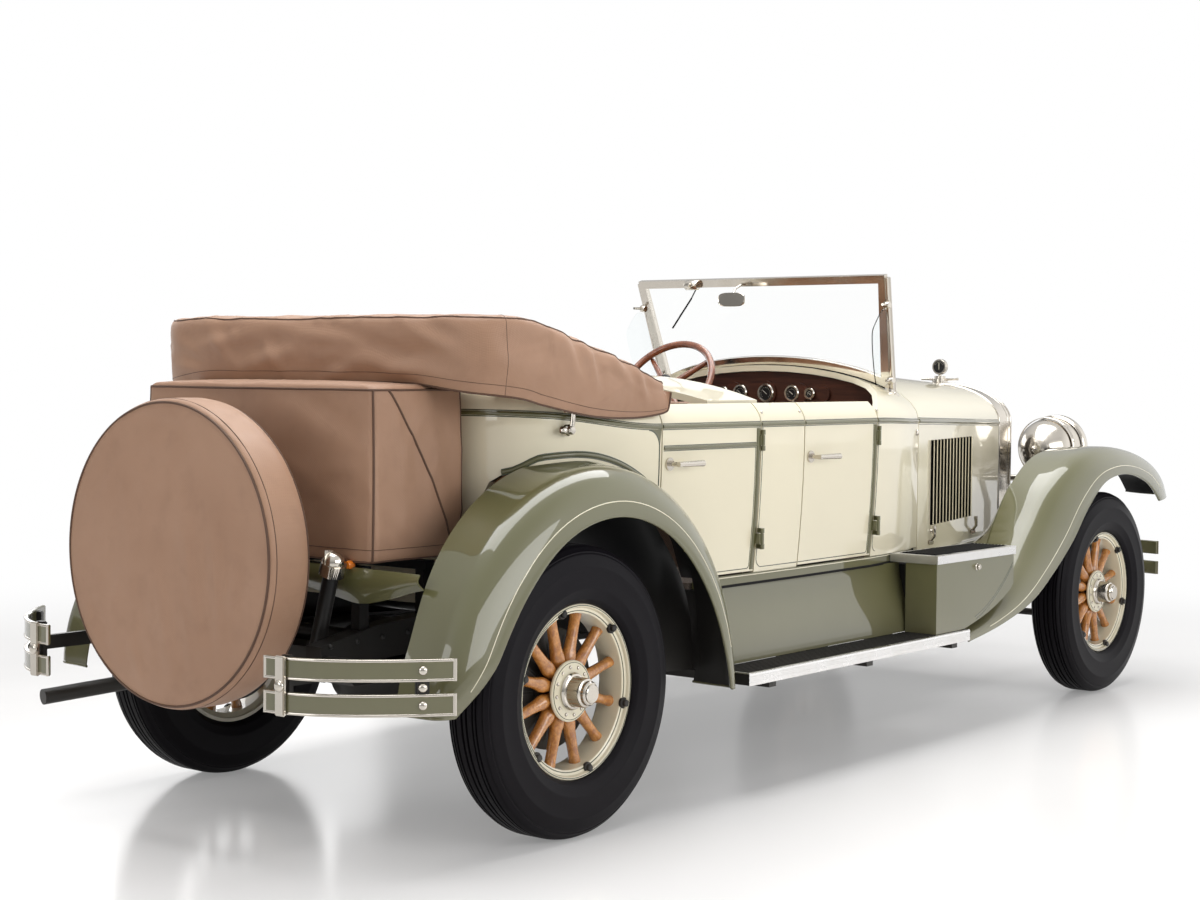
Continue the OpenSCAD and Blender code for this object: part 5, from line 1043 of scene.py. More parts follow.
def buildSpareCover():
    c = spareSet
    r0, deep = c["r"], c["depth"]

    def hoop(r, w):
        return [at(c["back"] + w, r * p, c["z"] + r * q) for p, q in circle(c["segs"])]

    profile = [(r0 * k / 32 * 0.965, 0.004 * (k / 32) ** 6 - 0.0025 * (1 - (k / 32) ** 2)) for k in range(1, 33)]
    profile += [(r0 * 0.985, 0.0085), (r0 * 0.995, 0.016), (r0, 0.028)]
    profile += [(r0 * (1 + 0.002 * math.sin(math.pi * k / 8)), mix(0.045, deep - 0.035, k / 8)) for k in range(9)]
    profile += [(r0 * r, deep - w) for r, w in ((0.994, 0.018), (0.97, 0.006), (0.90, 0.001), (0.55, 0.001))]
    rows = outwards([hoop(r, w) for r, w in profile], at(c["back"] + deep / 2, 0, c["z"]))
    face = at(c["back"] + 0.01, 0, 0).x  # the folds lie on the face alone
    rows = crumple(rows, c["fold"], 4.2, 3.0, (1, 1.0, 0.45), lambda u,
                   v: 0.35 + 0.65 * math.sin(math.pi * min(1, u * 1.5)),
                   True, 0.0, lambda p: foldPush(p.y, p.z, c["folds"]) if p.x < face else 0.0)
    print("stage: spare cover area", gridArea(rows))
    kit = newKit()
    addShell(kit, rows, c["thick"], capFirst=True)
    cover = makePiece("spare_cover_canvas", kit, finish["canvas"], "chassis", ["spare_cover"], 60)
    kit = newKit()
    for r, w, pipe in ((r0 * 0.974, 0.0045, c["pipeR"]), (r0 * 0.998, 0.0235, 0.0013),
                       (r0 * 0.982, deep - 0.010, 0.003)):
        addTube(kit, hoop(r, w), pipe, 0, 8, True)
    pipes = makePiece("spare_cover_piping", kit, finish["piping"], "chassis")


trunkSet = {"front": -0.152, "back": -0.518, "half": 0.480, "low": 0.802, "high": 1.286, "round": 0.026, "side": 24,
            "arc": 8, "full": 0.008, "rows": 34, "fold": 0.0070, "pipeR": 0.0034, "hemR": 0.0030, "seamR": 0.0036,
            "stitchR": 0.0011, "thick": 0.003, "folds": [
    (-0.10, 1.25, -0.42, 1.10, 0.030, 0.0050), (-0.20, 1.05, -0.44, 0.90, 0.034, 0.0050),
    (0.30, 1.24, 0.05, 1.16, 0.028, 0.0045),
    (-0.40, 1.26, -0.46, 1.05, 0.022, 0.0040), (-0.55, 1.24, -0.62, 0.98, 0.024, 0.0045),
    (-0.70, 1.22, -0.76, 0.90, 0.028, 0.0050),
    (-0.53, 0.95, -0.66, 0.84, 0.022, 0.0040), (0.55, 1.20, 0.66, 0.92, 0.028, 0.0050),
    (0.20, 0.95, -0.05, 0.86, 0.030, 0.0040)]}


def trunkRing(grow, z):  # a rounded rectangle whose sides swell a little
    c = trunkSet
    hx, hy, r = (c["front"] - c["back"]) / 2 * grow, c["half"] * grow, c["round"] * grow
    mid, flat = (c["front"] + c["back"]) / 2, []
    for cx, cy, a0, v in ((1, 1, 0, (r - hx, hy)), (-1, 1, 90, (-hx, r - hy)), (-1, -1, 180, (hx - r, -hy)),
                          (1, -1, 270, (hx, hy - r))):
        for k in range(c["arc"] + 1):
            a = math.radians(a0 + 90 * k / c["arc"])
            flat.append((cx * (hx - r) + r * math.cos(a), cy * (hy - r) + r * math.sin(a)))
        a, u = math.radians(a0 + 90), flat[-1]
        for k in range(1, c["side"]):
            t = k / c["side"]
            swell = c["full"] * math.sin(math.pi * t)
            flat.append((mix(u[0], v[0], t) + swell * math.cos(a), mix(u[1], v[1], t) + swell * math.sin(a)))
    return [at(mid + x, y, z) for x, y in flat]


def trunkFold(p):
    c = trunkSet
    s = p.x - car["rearAxle"]
    a = p.y if s < c["back"] + 0.02 else math.copysign(c["half"] + s - c["back"], p.y)
    return foldPush(a, p.z, c["folds"]) if s < c["front"] - 0.02 and p.z < c["high"] - 0.006 else 0.0


def buildTrunkCover():
    c = trunkSet
    rows = [trunkRing(0.93, c["low"] + 0.001), trunkRing(0.985, c["low"] + 0.002)]
    for k in range(c["rows"] + 1):
        t = k / c["rows"]
        grow = 0.990 + 0.010 * math.sin(math.pi * min(1, t * 1.08)) - 0.004 * ease((t - 0.9) / 0.1)
        rows.append(trunkRing(grow, mix(c["low"] + 0.006, c["high"] - 0.024, t)))
    edge = len(rows)
    for grow, drop in ((0.985, 0.013), (0.972, 0.006), (0.952, 0.001), (0.92, -0.001), (0.8, -0.004), (0.6, -0.007),
                       (0.4, -0.009), (0.2, -0.009), (0.05, -0.009)):
        rows.append(trunkRing(grow, c["high"] - drop - 0.002))
    rows = outwards(rows, at((c["front"] + c["back"]) / 2, 0, (c["low"] + c["high"]) / 2))

    def slackAt(u, v):
        return 0.55 + 0.45 * math.sin(math.pi * min(1, u * 1.2)) if u < 0.9 else 0.4

    rows = crumple(rows, c["fold"], 3.6, 11.0, (1, 1, 0.8), slackAt, True, 0.3, trunkFold)
    print("stage: trunk cover area", gridArea(rows))
    kit = newKit()
    addShell(kit, rows, c["thick"], capLast=True)
    cover = makePiece("trunk_cover_canvas", kit, finish["canvas"], "chassis", ["trunk_cover"], 60)

    kit = newKit()
    columns, level = range(len(rows[0])), rows[12]
    for sx in (-1, 1):  # corner seams
        for sy in (-1, 1):
            j = max(columns, key=lambda k: sx * level[k].x + sy * level[k].y)
            addTube(kit, [r[j] for r in rows[1:edge + 1]], c["pipeR"], 0, 8)
    addTube(kit, rows[edge], c["pipeR"], 0, 8, True)
    addTube(kit, rows[1], c["hemR"], 0, 8, True)
    addTube(kit, rows[4], c["stitchR"], 0, 6, True)
    for sy in (-1, 1):  # slanting seam on each end
        run = sorted((k for k in columns if level[k].y * sy > c["half"] * 0.985), key=lambda k: level[k].x)
        face, n = [[r[k] for k in run] for r in rows], len(run) - 1
        addTube(kit, [onGrid(face, mix(edge, 5, t), n * (0.20 + 0.60 * t + 0.035 * math.sin(math.pi * t)))
                      for t in spread(0.0, 1.0, 24)], c["seamR"], 0, 8)
    pipes = makePiece("trunk_cover_piping", kit, finish["piping"], "chassis")


# boot over the folded top; rows of station, side position, lift, half width, half height and hem height
bootSet = {"square": (0.72, 0.30), "hemIn": 0.88, "fine": 18, "arc": 30, "across": 80, "fold": 0.0075, "thick": 0.003,
           "hemR": 0.0030, "stitchR": 0.0009, "crestR": 0.0028, "seamR": 0.0010, "under": (0.94, 1.18),
           "tips": [0.12, 0.38, 0.52, 0.65, 0.76, 0.84, 0.91, 0.95, 0.98], "folds": [
    (0.48, 1.386, 0.19, 1.430, 0.022, 0.0080), (0.29, 1.322, -0.02, 1.392, 0.026, 0.0100),
    (0.08, 1.440, -0.23, 1.402, 0.020, 0.0080),
    (-0.18, 1.372, -0.55, 1.300, 0.026, 0.0110), (0.17, 1.415, 0.07, 1.300, 0.022, 0.0070),
    (-0.42, 1.445, -0.60, 1.375, 0.022, 0.0090),
    (-0.30, 1.305, -0.52, 1.350, 0.020, 0.0070), (0.57, 1.335, 0.40, 1.312, 0.018, 0.0070),
    (-0.06, 1.292, -0.24, 1.340, 0.020, 0.0070),
    (0.40, 1.455, 0.30, 1.330, 0.024, 0.0060), (-0.66, 1.440, -0.72, 1.300, 0.026, 0.0090),
    (-0.76, 1.430, -0.80, 1.270, 0.022, 0.0080),
    (-0.86, 1.400, -0.98, 1.290, 0.022, 0.0070), (-1.02, 1.340, -1.06, 1.240, 0.020, 0.0060),
    (0.68, 1.430, 0.74, 1.290, 0.026, 0.0090),
    (0.84, 1.400, 0.96, 1.270, 0.022, 0.0070)], "rows": [
    (0.520, 0.664, 0.014, 0.030, 0.030, 1.214), (0.470, 0.660, 0.008, 0.046, 0.036, 1.200),
    (0.330, 0.652, 0.002, 0.062, 0.062, 1.190),
    (0.120, 0.640, 0.002, 0.088, 0.080, 1.198), (-0.075, 0.620, 0.006, 0.100, 0.094, 1.232),
    (-0.190, 0.588, 0.016, 0.110, 0.095, 1.262),
    (-0.214, 0.440, 0.022, 0.118, 0.093, 1.289), (-0.216, 0.220, 0.022, 0.120, 0.093, 1.292),
    (-0.216, 0.0, 0.022, 0.120, 0.093, 1.292)]}


def bootRing(r, along, end):  # section over the roll, from the inner hem to the outer hem
    c = bootSet
    s, y, zc, hw, hh, hem = r
    out = Vector((along.y, -along.x, 0))
    if out.dot(Vector((s - 0.6, y, 0))) < 0:
        out = -out
    mid, back = at(s, y, zc), ease((0.10 - s) / 0.22)
    square = mix(*c["square"], back)
    hw, hh = hw * end, hh * end
    under = hh * mix(*c["under"], back)
    pts = [mid + out * hw * mix(0.55, -0.97, k / 4) - Vector((0, 0, under)) for k in range(4)]  # turned under
    pts += [mid - out * hw * mix(0.97, 1.0, k / 4) + Vector((0, 0, mix(-under, 0, k / 4))) for k in range(4)]
    for k in range(c["arc"] + 1):
        a = math.pi * (1 - k / c["arc"])
        p, q = math.cos(a), math.sin(a)
        pts.append(mid + out * hw * math.copysign(abs(p) ** square, p) + Vector((0, 0, hh * abs(q) ** square)))
    foot = mid + out * hw * mix(1.0, c["hemIn"], back)
    skin = planHalf(max(s, 0.2)) + 0.011
    if s > 0.0 and abs(foot.y) < skin:
        foot.y = math.copysign(skin, foot.y)
    foot.z = mix(zc, hem, end)
    start = pts[-1]
    return pts + [start.lerp(foot, k / 7) + out * 0.006 * math.sin(math.pi * (k / 7)) for k in range(1, 8)]


def buildBoot():
    c, half = bootSet, []
    for i in range((len(c["rows"]) - 1) * c["fine"] + 1):
        s, y, lift, hw, hh, hem = rowAt(c["rows"], i / c["fine"])
        half.append((s, -y, topAt(max(s, car["bodyBack"])) + lift + hh, hw, hh, hem))
    path, rows = half + [(r[0], -r[1]) + r[2:] for r in reversed(half[:-1])], []
    for i, r in enumerate(path):
        a, b = around(path, i)
        along = Vector((b[0] - a[0], b[1] - a[1], 0)).normalized()
        edge = min(i, len(path) - 1 - i)
        end = c["tips"][edge] if edge < len(c["tips"]) else 1.0
        rows.append(evenly(bootRing(r, along, end), c["across"]))
    sign = 1 if gridNormals(rows)[len(rows) // 2][42].z > 0 else -1

    def easeEnds(u, v):
        return sign * (0.25 + 0.75 * math.sin(math.pi * min(1, max(0, v)))) * min(1, 8 * u, 8 * (1 - u))

    def bootFold(p):
        s = p.x - car["rearAxle"]
        return foldPush(p.y if s < -0.05 else math.copysign(0.62 + s + 0.05, p.y), p.z, c["folds"])

    rows = crumple(rows, c["fold"], 3.4, 5.0, (0.8, 0.55, 1.9), easeEnds, False, -0.8, bootFold)
    rows = crumple(rows, c["fold"] * 0.40, 9.0, 8.0, (0.8, 0.45, 1.8), easeEnds, False, -0.9)
    print("stage: boot area", gridArea(rows))
    kit = newKit()
    addSheet(kit, rows, -sign * c["thick"])
    cover = makePiece("boot_canvas", kit, finish["canvas"], "chassis", ["folded_top"], 60)
    kit = newKit()
    addTube(kit, [r[-1] for r in rows], c["hemR"], 0, 8)
    addTube(kit, [r[-4] for r in rows[10:-10]], c["stitchR"], 0, 6)
    centre = at(0.5, 0, 0)
    tops = [max(range(30, c["across"] - 8), key=lambda j: 0.8 * (r[j] - centre).xy.length + r[j].z) for r in rows]
    crest = [onGrid(rows, i, sum(tops[i - 8:i + 9]) / 17) for i in range(8, len(rows) - 8)]
    addTube(kit, crest, c["crestR"], 0, 8)  # piping along the upper edge
    turn = 5 * c["fine"] - 4
    for i in (turn, len(rows) - 1 - turn):  # seams down the two corners
        addTube(kit, [p - (p - at(0.1, 0, p.z)).normalized() * 0.0004 for p in rows[i][38:]], c["seamR"], 0, 6)
    pipes = makePiece("boot_piping", kit, finish["piping"], "chassis")


seatSet = {"pleat": 0.088, "puff": 0.011, "columns": 104, "loop": 72, "endRound": 0.030, "endIn": 0.022,
           "weltR": 0.0045, "tubHalf": [(-0.043, 0.400), (-0.005, 0.452), (0.075, 0.520), (0.171, 0.576)],
           "half": (0.566, 0.572),  # half widths of the front and rear seats, then the sections
           "frontCushion": [(1.330, 0.856), (1.560, 0.853), (1.700, 0.856), (1.712, 0.900), (1.700, 0.946),
                            (1.650, 0.964), (1.520, 0.958), (1.400, 0.950), (1.322, 0.930), (1.310, 0.890)],
           "frontBack": [(1.262, 0.862), (1.330, 0.880), (1.372, 0.960), (1.330, 1.070), (1.282, 1.190),
                         (1.256, 1.218), (1.208, 1.222), (1.184, 1.204), (1.194, 1.080), (1.214, 0.930)],
           "rearCushion": [(0.060, 0.868), (0.270, 0.864), (0.466, 0.866), (0.482, 0.910), (0.468, 0.958),
                           (0.420, 0.976), (0.280, 0.970), (0.150, 0.962), (0.060, 0.945), (0.046, 0.905)],
           "rearBack": [(-0.038, 0.872), (0.040, 0.890), (0.104, 0.970), (0.062, 1.090), (0.018, 1.198),
                        (-0.008, 1.226), (-0.032, 1.228), (-0.043, 1.200), (-0.043, 1.080), (-0.043, 0.940)]}


# a pleated pad from its side outline
def buildCushion(name, outline, half, puffFrom, puffTo, halfAt=None, stands=()):
    c = seatSet
    loop = smoothLine(outline, c["loop"], True)
    n = len(loop)
    middle, rows, outs, puffs = sum(loop, Vector((0, 0))) / n, [], [], []
    for k, p in enumerate(loop):
        t = (loop[(k + 1) % n] - loop[k - 1]).normalized()
        out, f = Vector((t.y, -t.x)), k / n
        outs.append(-out if out.dot(p - middle) < 0 else out)
        puffs.append(ease(min(1, (f - puffFrom) / 0.05)) * ease(min(1, (puffTo - f) / 0.05))
                     if puffFrom < f < puffTo else 0.0)
    for i in range(c["columns"] + 1):
        v = -1 + 2 * i / c["columns"]
        y, edge = v * half, (1 - abs(v)) * half
        roll = math.sqrt(max(0.0, 1 - (1 - min(1, edge / c["endRound"])) ** 2))
        phase = abs(math.sin(math.pi * (y / c["pleat"] + 0.5)))
        row = []
        for p, out, puff in zip(loop, outs, puffs):
            q = p + out * (c["puff"] * puff * (phase ** 0.55 - 0.62) * roll - (1 - roll) * c["endIn"])
            row.append(at(q.x, y if halfAt is None else v * min(half, halfAt(q.x)), q.y))
        rows.append(row)
    kit = newKit()
    addLoft(kit, rows)
    ob = makePiece(name, kit, finish["leather"], "chassis", stands, 70)
    kit = newKit()
    for i in (4, c["columns"] - 4):  # welt at each end
        addTube(kit, rows[i], c["weltR"], 0, 8, True)
    makePiece(name + "_welt", kit, finish["leather"], "chassis")


def rearTubHalf(s):  # inside half width of the rear body
    rows = seatSet["tubHalf"]
    for (a, p), (b, q) in zip(rows, rows[1:]):
        if s <= b:
            return mix(p, q, max(0.0, share(a, b, s)))
    return rows[-1][1]


def buildSeats():
    c = seatSet
    front, rear = c["half"]
    buildCushion("front_seat_cushion", c["frontCushion"], front, 0.28, 0.74)
    buildCushion("front_seat_back", c["frontBack"], front, 0.12, 0.58, None, ["front_seat"])
    buildCushion("rear_seat_cushion", c["rearCushion"], rear, 0.28, 0.74, rearTubHalf)
    buildCushion("rear_seat_back", c["rearBack"], rear, 0.12, 0.58, rearTubHalf, ["rear_seat"])


buildSpareCover()
buildTrunkCover()
buildBoot()
buildSeats()
print("stage: covers and seats made")


# running boards, step boxes and bumpers
boardSet = {"back": 0.747, "front": 2.187, "top": 0.394, "edge": 0.858, "inner": 0.700, "sheet": 0.0006,
            "section": [(-0.0165, 0.0010), (-0.0045, 0.0012), (-0.0010, 0.0004), (0.0010, -0.0020), (0.0012, -0.0080),
                        (0.0004, -0.0088), (0.0004, -0.0122), (0.0012, -0.0130), (0.0012, -0.0220), (0.0004, -0.0228),
                        (0.0004, -0.0262), (0.0012, -0.0270), (0.0012, -0.0350), (0.0, -0.038), (-0.004, -0.038)]}
stepSet = {"back": 1.962, "front": 2.560, "out": 0.842, "inner": 0.654, "top": 0.676, "ribs": 10,
           "lock": (2.262, 0.617), "line": (2.10, 2.548, 0.398, 0.600), "lineFrom": (2.25, 0.42)}
barSet = {"rearBack": -0.890, "inner": 0.458, "outer": 0.866, "wrap": 0.280, "low": (0.440, 0.530), "high": 0.058,
          "thick": 0.012, "frontEnd": 4.250, "frontHalf": 0.735, "bow": 0.070, "edgeWide": 0.0075,
          "edgeProud": 0.0022, "clampAt": 0.142, "spacerAt": 28, "ironZ": (0.510, 0.550), "ironEnd": -0.604,
          "railY": 0.4005, "frontIron": (0.354, 0.394)}
# half width and lower edge of the rear apron
apronWave = [(0.0, 0.722), (0.10, 0.724), (0.214, 0.714), (0.32, 0.698), (0.42, 0.685), (0.534, 0.706), (0.61, 0.728),
             (0.655, 0.738)]


def buildBoards():
    b, kit = boardSet, newKit()
    for side in (-1, 1):
        y, ends = b["edge"] + 0.0002, (b["back"] + 0.001, (b["back"] + b["front"]) / 2, b["front"] - 0.001)
        addSheet(kit, [[at(s, side * y + side * dy, b["top"] - 0.0026 + z) for s in ends] for dy, z in b["section"]],
                 b["sheet"] * side)
        for s in (b["back"] + 0.006, b["front"] - 0.006):
            sideBox(kit, side, (s - 0.005, s + 0.005), (b["inner"], y), (b["top"] - 0.0032, b["top"] + 0.0004), 0.001)
    brightPiece("running_board_edges", kit, "alloy")

    t, mats, trim = stepSet, newKit(), newKit()
    for side in (-1, 1):
        outer, inner = t["out"] - 0.018, t["inner"] + 0.022
        sideBox(mats, side, (t["back"] + 0.022, t["front"] - 0.022), (inner, outer),
                (t["top"] - 0.001, t["top"] + 0.0012), 0.0008)
        for y in spread(inner + 0.010, outer - 0.010, t["ribs"] - 1):
            sideBox(mats, side, (t["back"] + 0.030, t["front"] - 0.030), (y - 0.0045, y + 0.0045),
                    (t["top"], t["top"] + 0.0036), 0.0012)
        addLathe(trim, [(0.013, -0.001), (0.013, 0.003), (0.0105, 0.005), (0.0105, 0.013), (0.008, 0.016),
                        (0, 0.0165)], at(t["lock"][0], side * t["out"], t["lock"][1]), (0, side, 0), 0, 24)
    darkPiece("step_box_mats", mats, "mat")
    brightPiece("step_box_locks", trim)


def buildFineLines():  # on the step boxes, along the sills and on the fenders' crowns
    t, kit = stepSet, newKit()
    s0, s1, z0, z1 = t["line"]
    for side in (-1, 1):
        for off in (0.0, 0.014):
            pts = [at(mix(s0, s1, u) + off * 0.4, side * (t["out"] + 0.0002), z0 + off + (z1 - z0) * u ** 2.1)
                   for u in spread(0.0, 1.0, 24)]
            pts = [p for p in pts if p.z > t["lineFrom"][1] and p.x - car["rearAxle"] > t["lineFrom"][0]]
            addBead(kit, pts, [Vector((0, side, 0))] * len(pts), 0.0032, 0.0009, 1)
        ss = spread(0.76, 2.24, 30)
        # the lower one is a painted shadow: a dark strip for the shade in the gap over the apron
        for z, wide, mat in ((0.6705, 0.0030, 0), (0.6425, 0.0085, 2)):
            addBead(kit, [at(s, side * (planHalf(s) - car["turnUnder"] + 0.0092), z) for s in ss],
                    [skinOut(s, side) for s in ss], wide, 0.0009, mat)
        for grid, station in ((rearFenderGrid(side), 0.0), (frontFenderGrid(side), car["wheelbase"])):
            normals, column, span = gridNormals(grid), 6 + 13, range(6, len(grid) - 6)
            sign = -inwardSign(grid, at(station, side * car["halfTrack"], car["tyreR"]))
            addBead(kit, [grid[i][column] for i in span], [normals[i][column] * sign for i in span], 0.0028, 0.0008,
                    0)
    makePiece("fine_lines", kit, [finish["cream"], finish["darkGreen"], finish["mat"]], "chassis")


def rearBar(a, side):
    b = barSet
    return (b["rearBack"] + b["wrap"] * a ** 2.0, side * mix(b["inner"], b["outer"], a))


def frontBar(a):
    b = barSet
    return (b["frontEnd"] - b["bow"] * abs(a) ** 3, a * b["frontHalf"])


def addBar(kit, path, outs, low, high, thick, edge=0.003):
    section = [(0, low + edge), (0, high - edge), (-edge, high), (edge - thick, high),
               (-thick, high - edge), (-thick, low + edge), (edge - thick, low), (-edge, low)]
    addLoft(kit, [[at(s, y, z) + o * d for d, z in section] for (s, y), o in zip(path, outs)])


def buildBumpers():
    b, bars, bright, dark = barSet, newKit(), newKit(), newKit()
    rear = {side: [rearBar(k / 32, side) for k in range(33)] for side in (-1, 1)}
    runs = [(rear[-1], -1), (rear[1], -1), ([frontBar(-1 + k / 20) for k in range(41)], 1)]
    foot, head, wide = b["low"][0], b["low"][1] + b["high"], b["edgeWide"]
    middle, reach = (foot + head) / 2, (foot - 0.004, head + 0.004)
    for path, away in runs:
        outs = planOuts(path, 0, away)
        for z in b["low"]:
            addBar(bars, path, outs, z, z + b["high"], b["thick"])
            for dz in (wide / 2, b["high"] - wide / 2):
                addBead(bright, [at(s, y, z + dz) for s, y in path], outs, wide, b["edgeProud"])
            for end in (0, -1):
                addBead(bright, [at(*path[end], z + b["high"] * k / 8) for k in range(9)], [outs[end]] * 9,
                        wide * 1.4, b["edgeProud"])

    def upright(kit, s, y, back, front, half, bevel):  # a plate across both bars
        addBox(kit, at(s + back, y - half, reach[0]), at(s + front, y + half, reach[1]), 0, bevel)

    for side in (-1, 1):
        s, y = rearBar(b["clampAt"], side)  # clamp with its button, and the iron behind it
        upright(bright, s, y, -0.011, 0.0005, 0.017, 0.003)
        addDome(bright, at(s - 0.010, y, middle), (-1, 0, 0), 0.016, 0.008, 0, 20)
        upright(dark, s, y, 0.008, 0.028, 0.016, 0.003)
        far = b["inner"] + 0.070
        sideBox(dark, side, (b["rearBack"] + 0.020, b["ironEnd"]), (b["inner"] + 0.046, far), b["ironZ"], 0.003)
        sideBox(dark, side, (b["ironEnd"] - 0.028, b["ironEnd"]), (b["railY"], far), b["ironZ"], 0.003)
        s, y = rear[side][b["spacerAt"]]  # spacer with three domed bolts
        o = planOuts(rear[side], 0, -1)[b["spacerAt"]]
        turn = Matrix((o, Vector((-o.y, o.x, 0)), (0, 0, 1))).transposed().to_4x4()
        turn.translation = at(s, y, 0)
        addBox(dark, (-0.026, -0.018, foot + 0.008), (-0.004, 0.018, head - 0.008), 0, 0.003, turn)
        for z, sunk in ((foot + b["high"] / 2, 0.0), (middle, 0.005), (head - b["high"] / 2, 0.0)):
            addDome(bright, at(s, y, z) - o * sunk, o, 0.0125, 0.010, 0, 18)
        upright(bright, *frontBar(side * 0.51), -0.002, 0.0045, 0.016, 0.002)
        near, far = b["frontIron"]
        sideBox(dark, side, (b["frontEnd"] - 0.044, b["frontEnd"] - 0.016), (near, far), (0.450, 0.578), 0.003)
        sideBox(dark, side, (4.000, b["frontEnd"] - 0.040), (near + 0.008, far - 0.008), (0.520, 0.556), 0.003)
    makePiece("bumper_bars", bars, finish["green"], "chassis", ["bumpers"])
    brightPiece("bumper_bright_work", bright)
    darkPiece("bumper_irons", dark)


def buildRearApron():  # a sheet across the car under the trunk, with a waved lower edge
    kit, rows, half = newKit(), [], apronWave[-1][0]
    for q in smoothLine([(-y, z) for y, z in reversed(apronWave)] + apronWave[1:], 81):
        top = 0.788 - 0.006 * (abs(q.x) / half) ** 2
        rows.append([at(-0.521 - 0.012 * math.sin(math.pi * t) + 0.016 * t ** 2, q.x, mix(top, q.y, t))
                     for t in spread(0.0, 1.0, 8)])
    addSheet(kit, rows, -0.004, 0, 1)
    makePiece("rear_apron_sheet", kit, [finish["green"], finish["black"]], "chassis", ["rear_apron"])


# windshield fittings
shieldSet = {"foot": 2.200, "rake": 16.0, "footHalf": 0.524, "topHalf": 0.566, "topZ": 1.690, "postR": 0.0125,
             "mirrorY": 0.064, "mirrorHalf": (0.062, 0.027), "wiperY": 0.298, "rubberR": 0.0085, "rubberHalf": 0.50,
             "wing": [(0.030, 0.175), (0.022, 0.43), (0.125, 0.40), (0.148, 0.34), (0.140, 0.20), (0.118, 0.172)]}


def onShield(y, up, out=0.0):  # a point on the leaning windshield; up is measured along it
    a = math.radians(shieldSet["rake"])
    base = at(shieldSet["foot"], y, beltAt(shieldSet["foot"]))
    return base + Vector((-math.sin(a), 0, math.cos(a))) * up + Vector((-math.cos(a), 0, -math.sin(a))) * out


def cowlCrown(s):
    return car["cowlTop"] + 0.018 * ease(share(car["hoodBack"], car["frontDoorFront"], s))


def addPane(kit, ring, half):  # a flat pane on a closed outline
    base, n = len(kit["verts"]), len(ring)
    kit["verts"] += [p + half for p in ring] + [p - half for p in ring]
    addFace(kit, range(base, base + n))
    addFace(kit, range(base + n, base + 2 * n))
    for k in range(n):
        j = (k + 1) % n
        addFace(kit, (base + k, base + j, base + n + j, base + n + k))


def buildShieldFittings():
    c, bright, panes = shieldSet, newKit(), newKit()
    lean, beltZ = math.cos(math.radians(c["rake"])), beltAt(c["foot"])
    full = (c["topZ"] - beltZ) / lean
    for side in (-1, 1):
        def post(up):
            return side * mix(c["footHalf"], c["topHalf"], share(0.09, full, up))
        addTube(bright, [onShield(post(u) + side * 0.004, u, -0.004) for u in (0.11, 0.2, 0.3, 0.4, full - 0.012)],
                c["postR"], 0, 14)
        for up in (0.16, 0.45):
            spot = onShield(post(up) + side * 0.006, up, 0.012)
            addLathe(bright, [(0.0, -0.012), (0.012, -0.012), (0.014, -0.009), (0.014, 0.009), (0.012, 0.012),
                              (0, 0.012)], spot, (0, side, 0.1), 0, 20)
            addTube(bright, [spot, spot + Vector((-0.05, side * 0.010, 0))], 0.005, 0, 10)
        addDome(bright, onShield(post(0.095) + side * 0.010, 0.095), (0, side, 0), 0.020, 0.014, 0, 22)
        ring = [onShield(post(u) + side * (0.008 + 0.045 * q), u, q) for q, u in smoothLine(c["wing"], 36, True)]
        addPane(panes, ring, Vector((0, side * 0.002, 0)))
    stem = onShield(c["mirrorY"], full - 0.02, 0.012)  # mirror
    addTube(bright, [stem, stem + Vector((-0.05, 0, -0.02)), stem + Vector((-0.065, 0, -0.045))], 0.005, 0, 10)
    hang = stem + Vector((-0.075, 0, -0.062))
    oval = [[math.copysign(abs(q) ** 0.6, q) * half for q, half in zip(spot, c["mirrorHalf"])] for spot in circle(40)]
    addLoft(bright, [[hang + Vector((back, grow * y, grow * z)) for y, z in oval] for grow, back in
                     ((0.05, 0.016), (0.6, 0.0145), (0.9, 0.009), (1.0, 0.002), (1.0, -0.002), (0.95, -0.004),
                      (0.93, -0.0025), (0.05, -0.0025))])
    spot = onShield(c["wiperY"], full - 0.018, 0.020)  # wiper motor
    addLathe(bright, [(0, -0.030), (0.016, -0.030), (0.019, -0.026), (0.019, 0.026), (0.016, 0.030), (0, 0.030)],
             spot, (0, 1, 0), 0, 24)
    addLathe(bright, [(0, -0.014), (0.008, -0.012), (0.008, 0.022), (0, 0.024)], spot + Vector((-0.02, 0, 0)),
             (1, 0, 0), 0, 16)
    brightPiece("windshield_fittings", bright)

    dark = newKit()  # wiper arm and blade, and the rubber on the cowl
    for radius, spots in ((0.0025, ((0.0, 0.030, -0.016), (0.05, 0.09, -0.020), (0.11, 0.15, -0.018))),
                          (0.0034, ((0.04, 0.080, -0.017), (0.155, 0.200, -0.017)))):
        addTube(dark, [onShield(c["wiperY"] + dy, full - down, out) for dy, down, out in spots], radius, 0, 8)
    s = c["foot"] - 0.062
    addTube(dark, [onShield(y, (cowlCrown(s) - beltZ) * math.sqrt(max(0, 1 - (y / planHalf(s)) ** 2)) / lean + 0.002)
                   for y in spread(-c["rubberHalf"], c["rubberHalf"], 40)], c["rubberR"], 0, 10)
    darkPiece("windshield_rubber", dark, "mat")
    makePiece("wind_wings", panes, finish["wing"], "chassis")


# lamps, radiator and nose
lampSet = {"y": 0.400, "z": 1.006, "back": 3.615, "bowl": 0.2155, "fluteR": 0.121, "flutePitch": 0.0125,
           "lensR": 0.126}
coreSet = {"face": 3.5335, "half": 0.2855, "levels": 45, "uprights": 21, "pitch": 0.0132, "span": (0.640, 1.225),
           "foot": 0.632, "topIn": 0.048, "shoulderIn": 0.010}
gaugeSet = {"s": 3.499, "z": 1.358, "ring": 0.021, "marks": 7, "shellDeep": 0.112, "trimFoot": 0.62, "trimIn": 0.003}


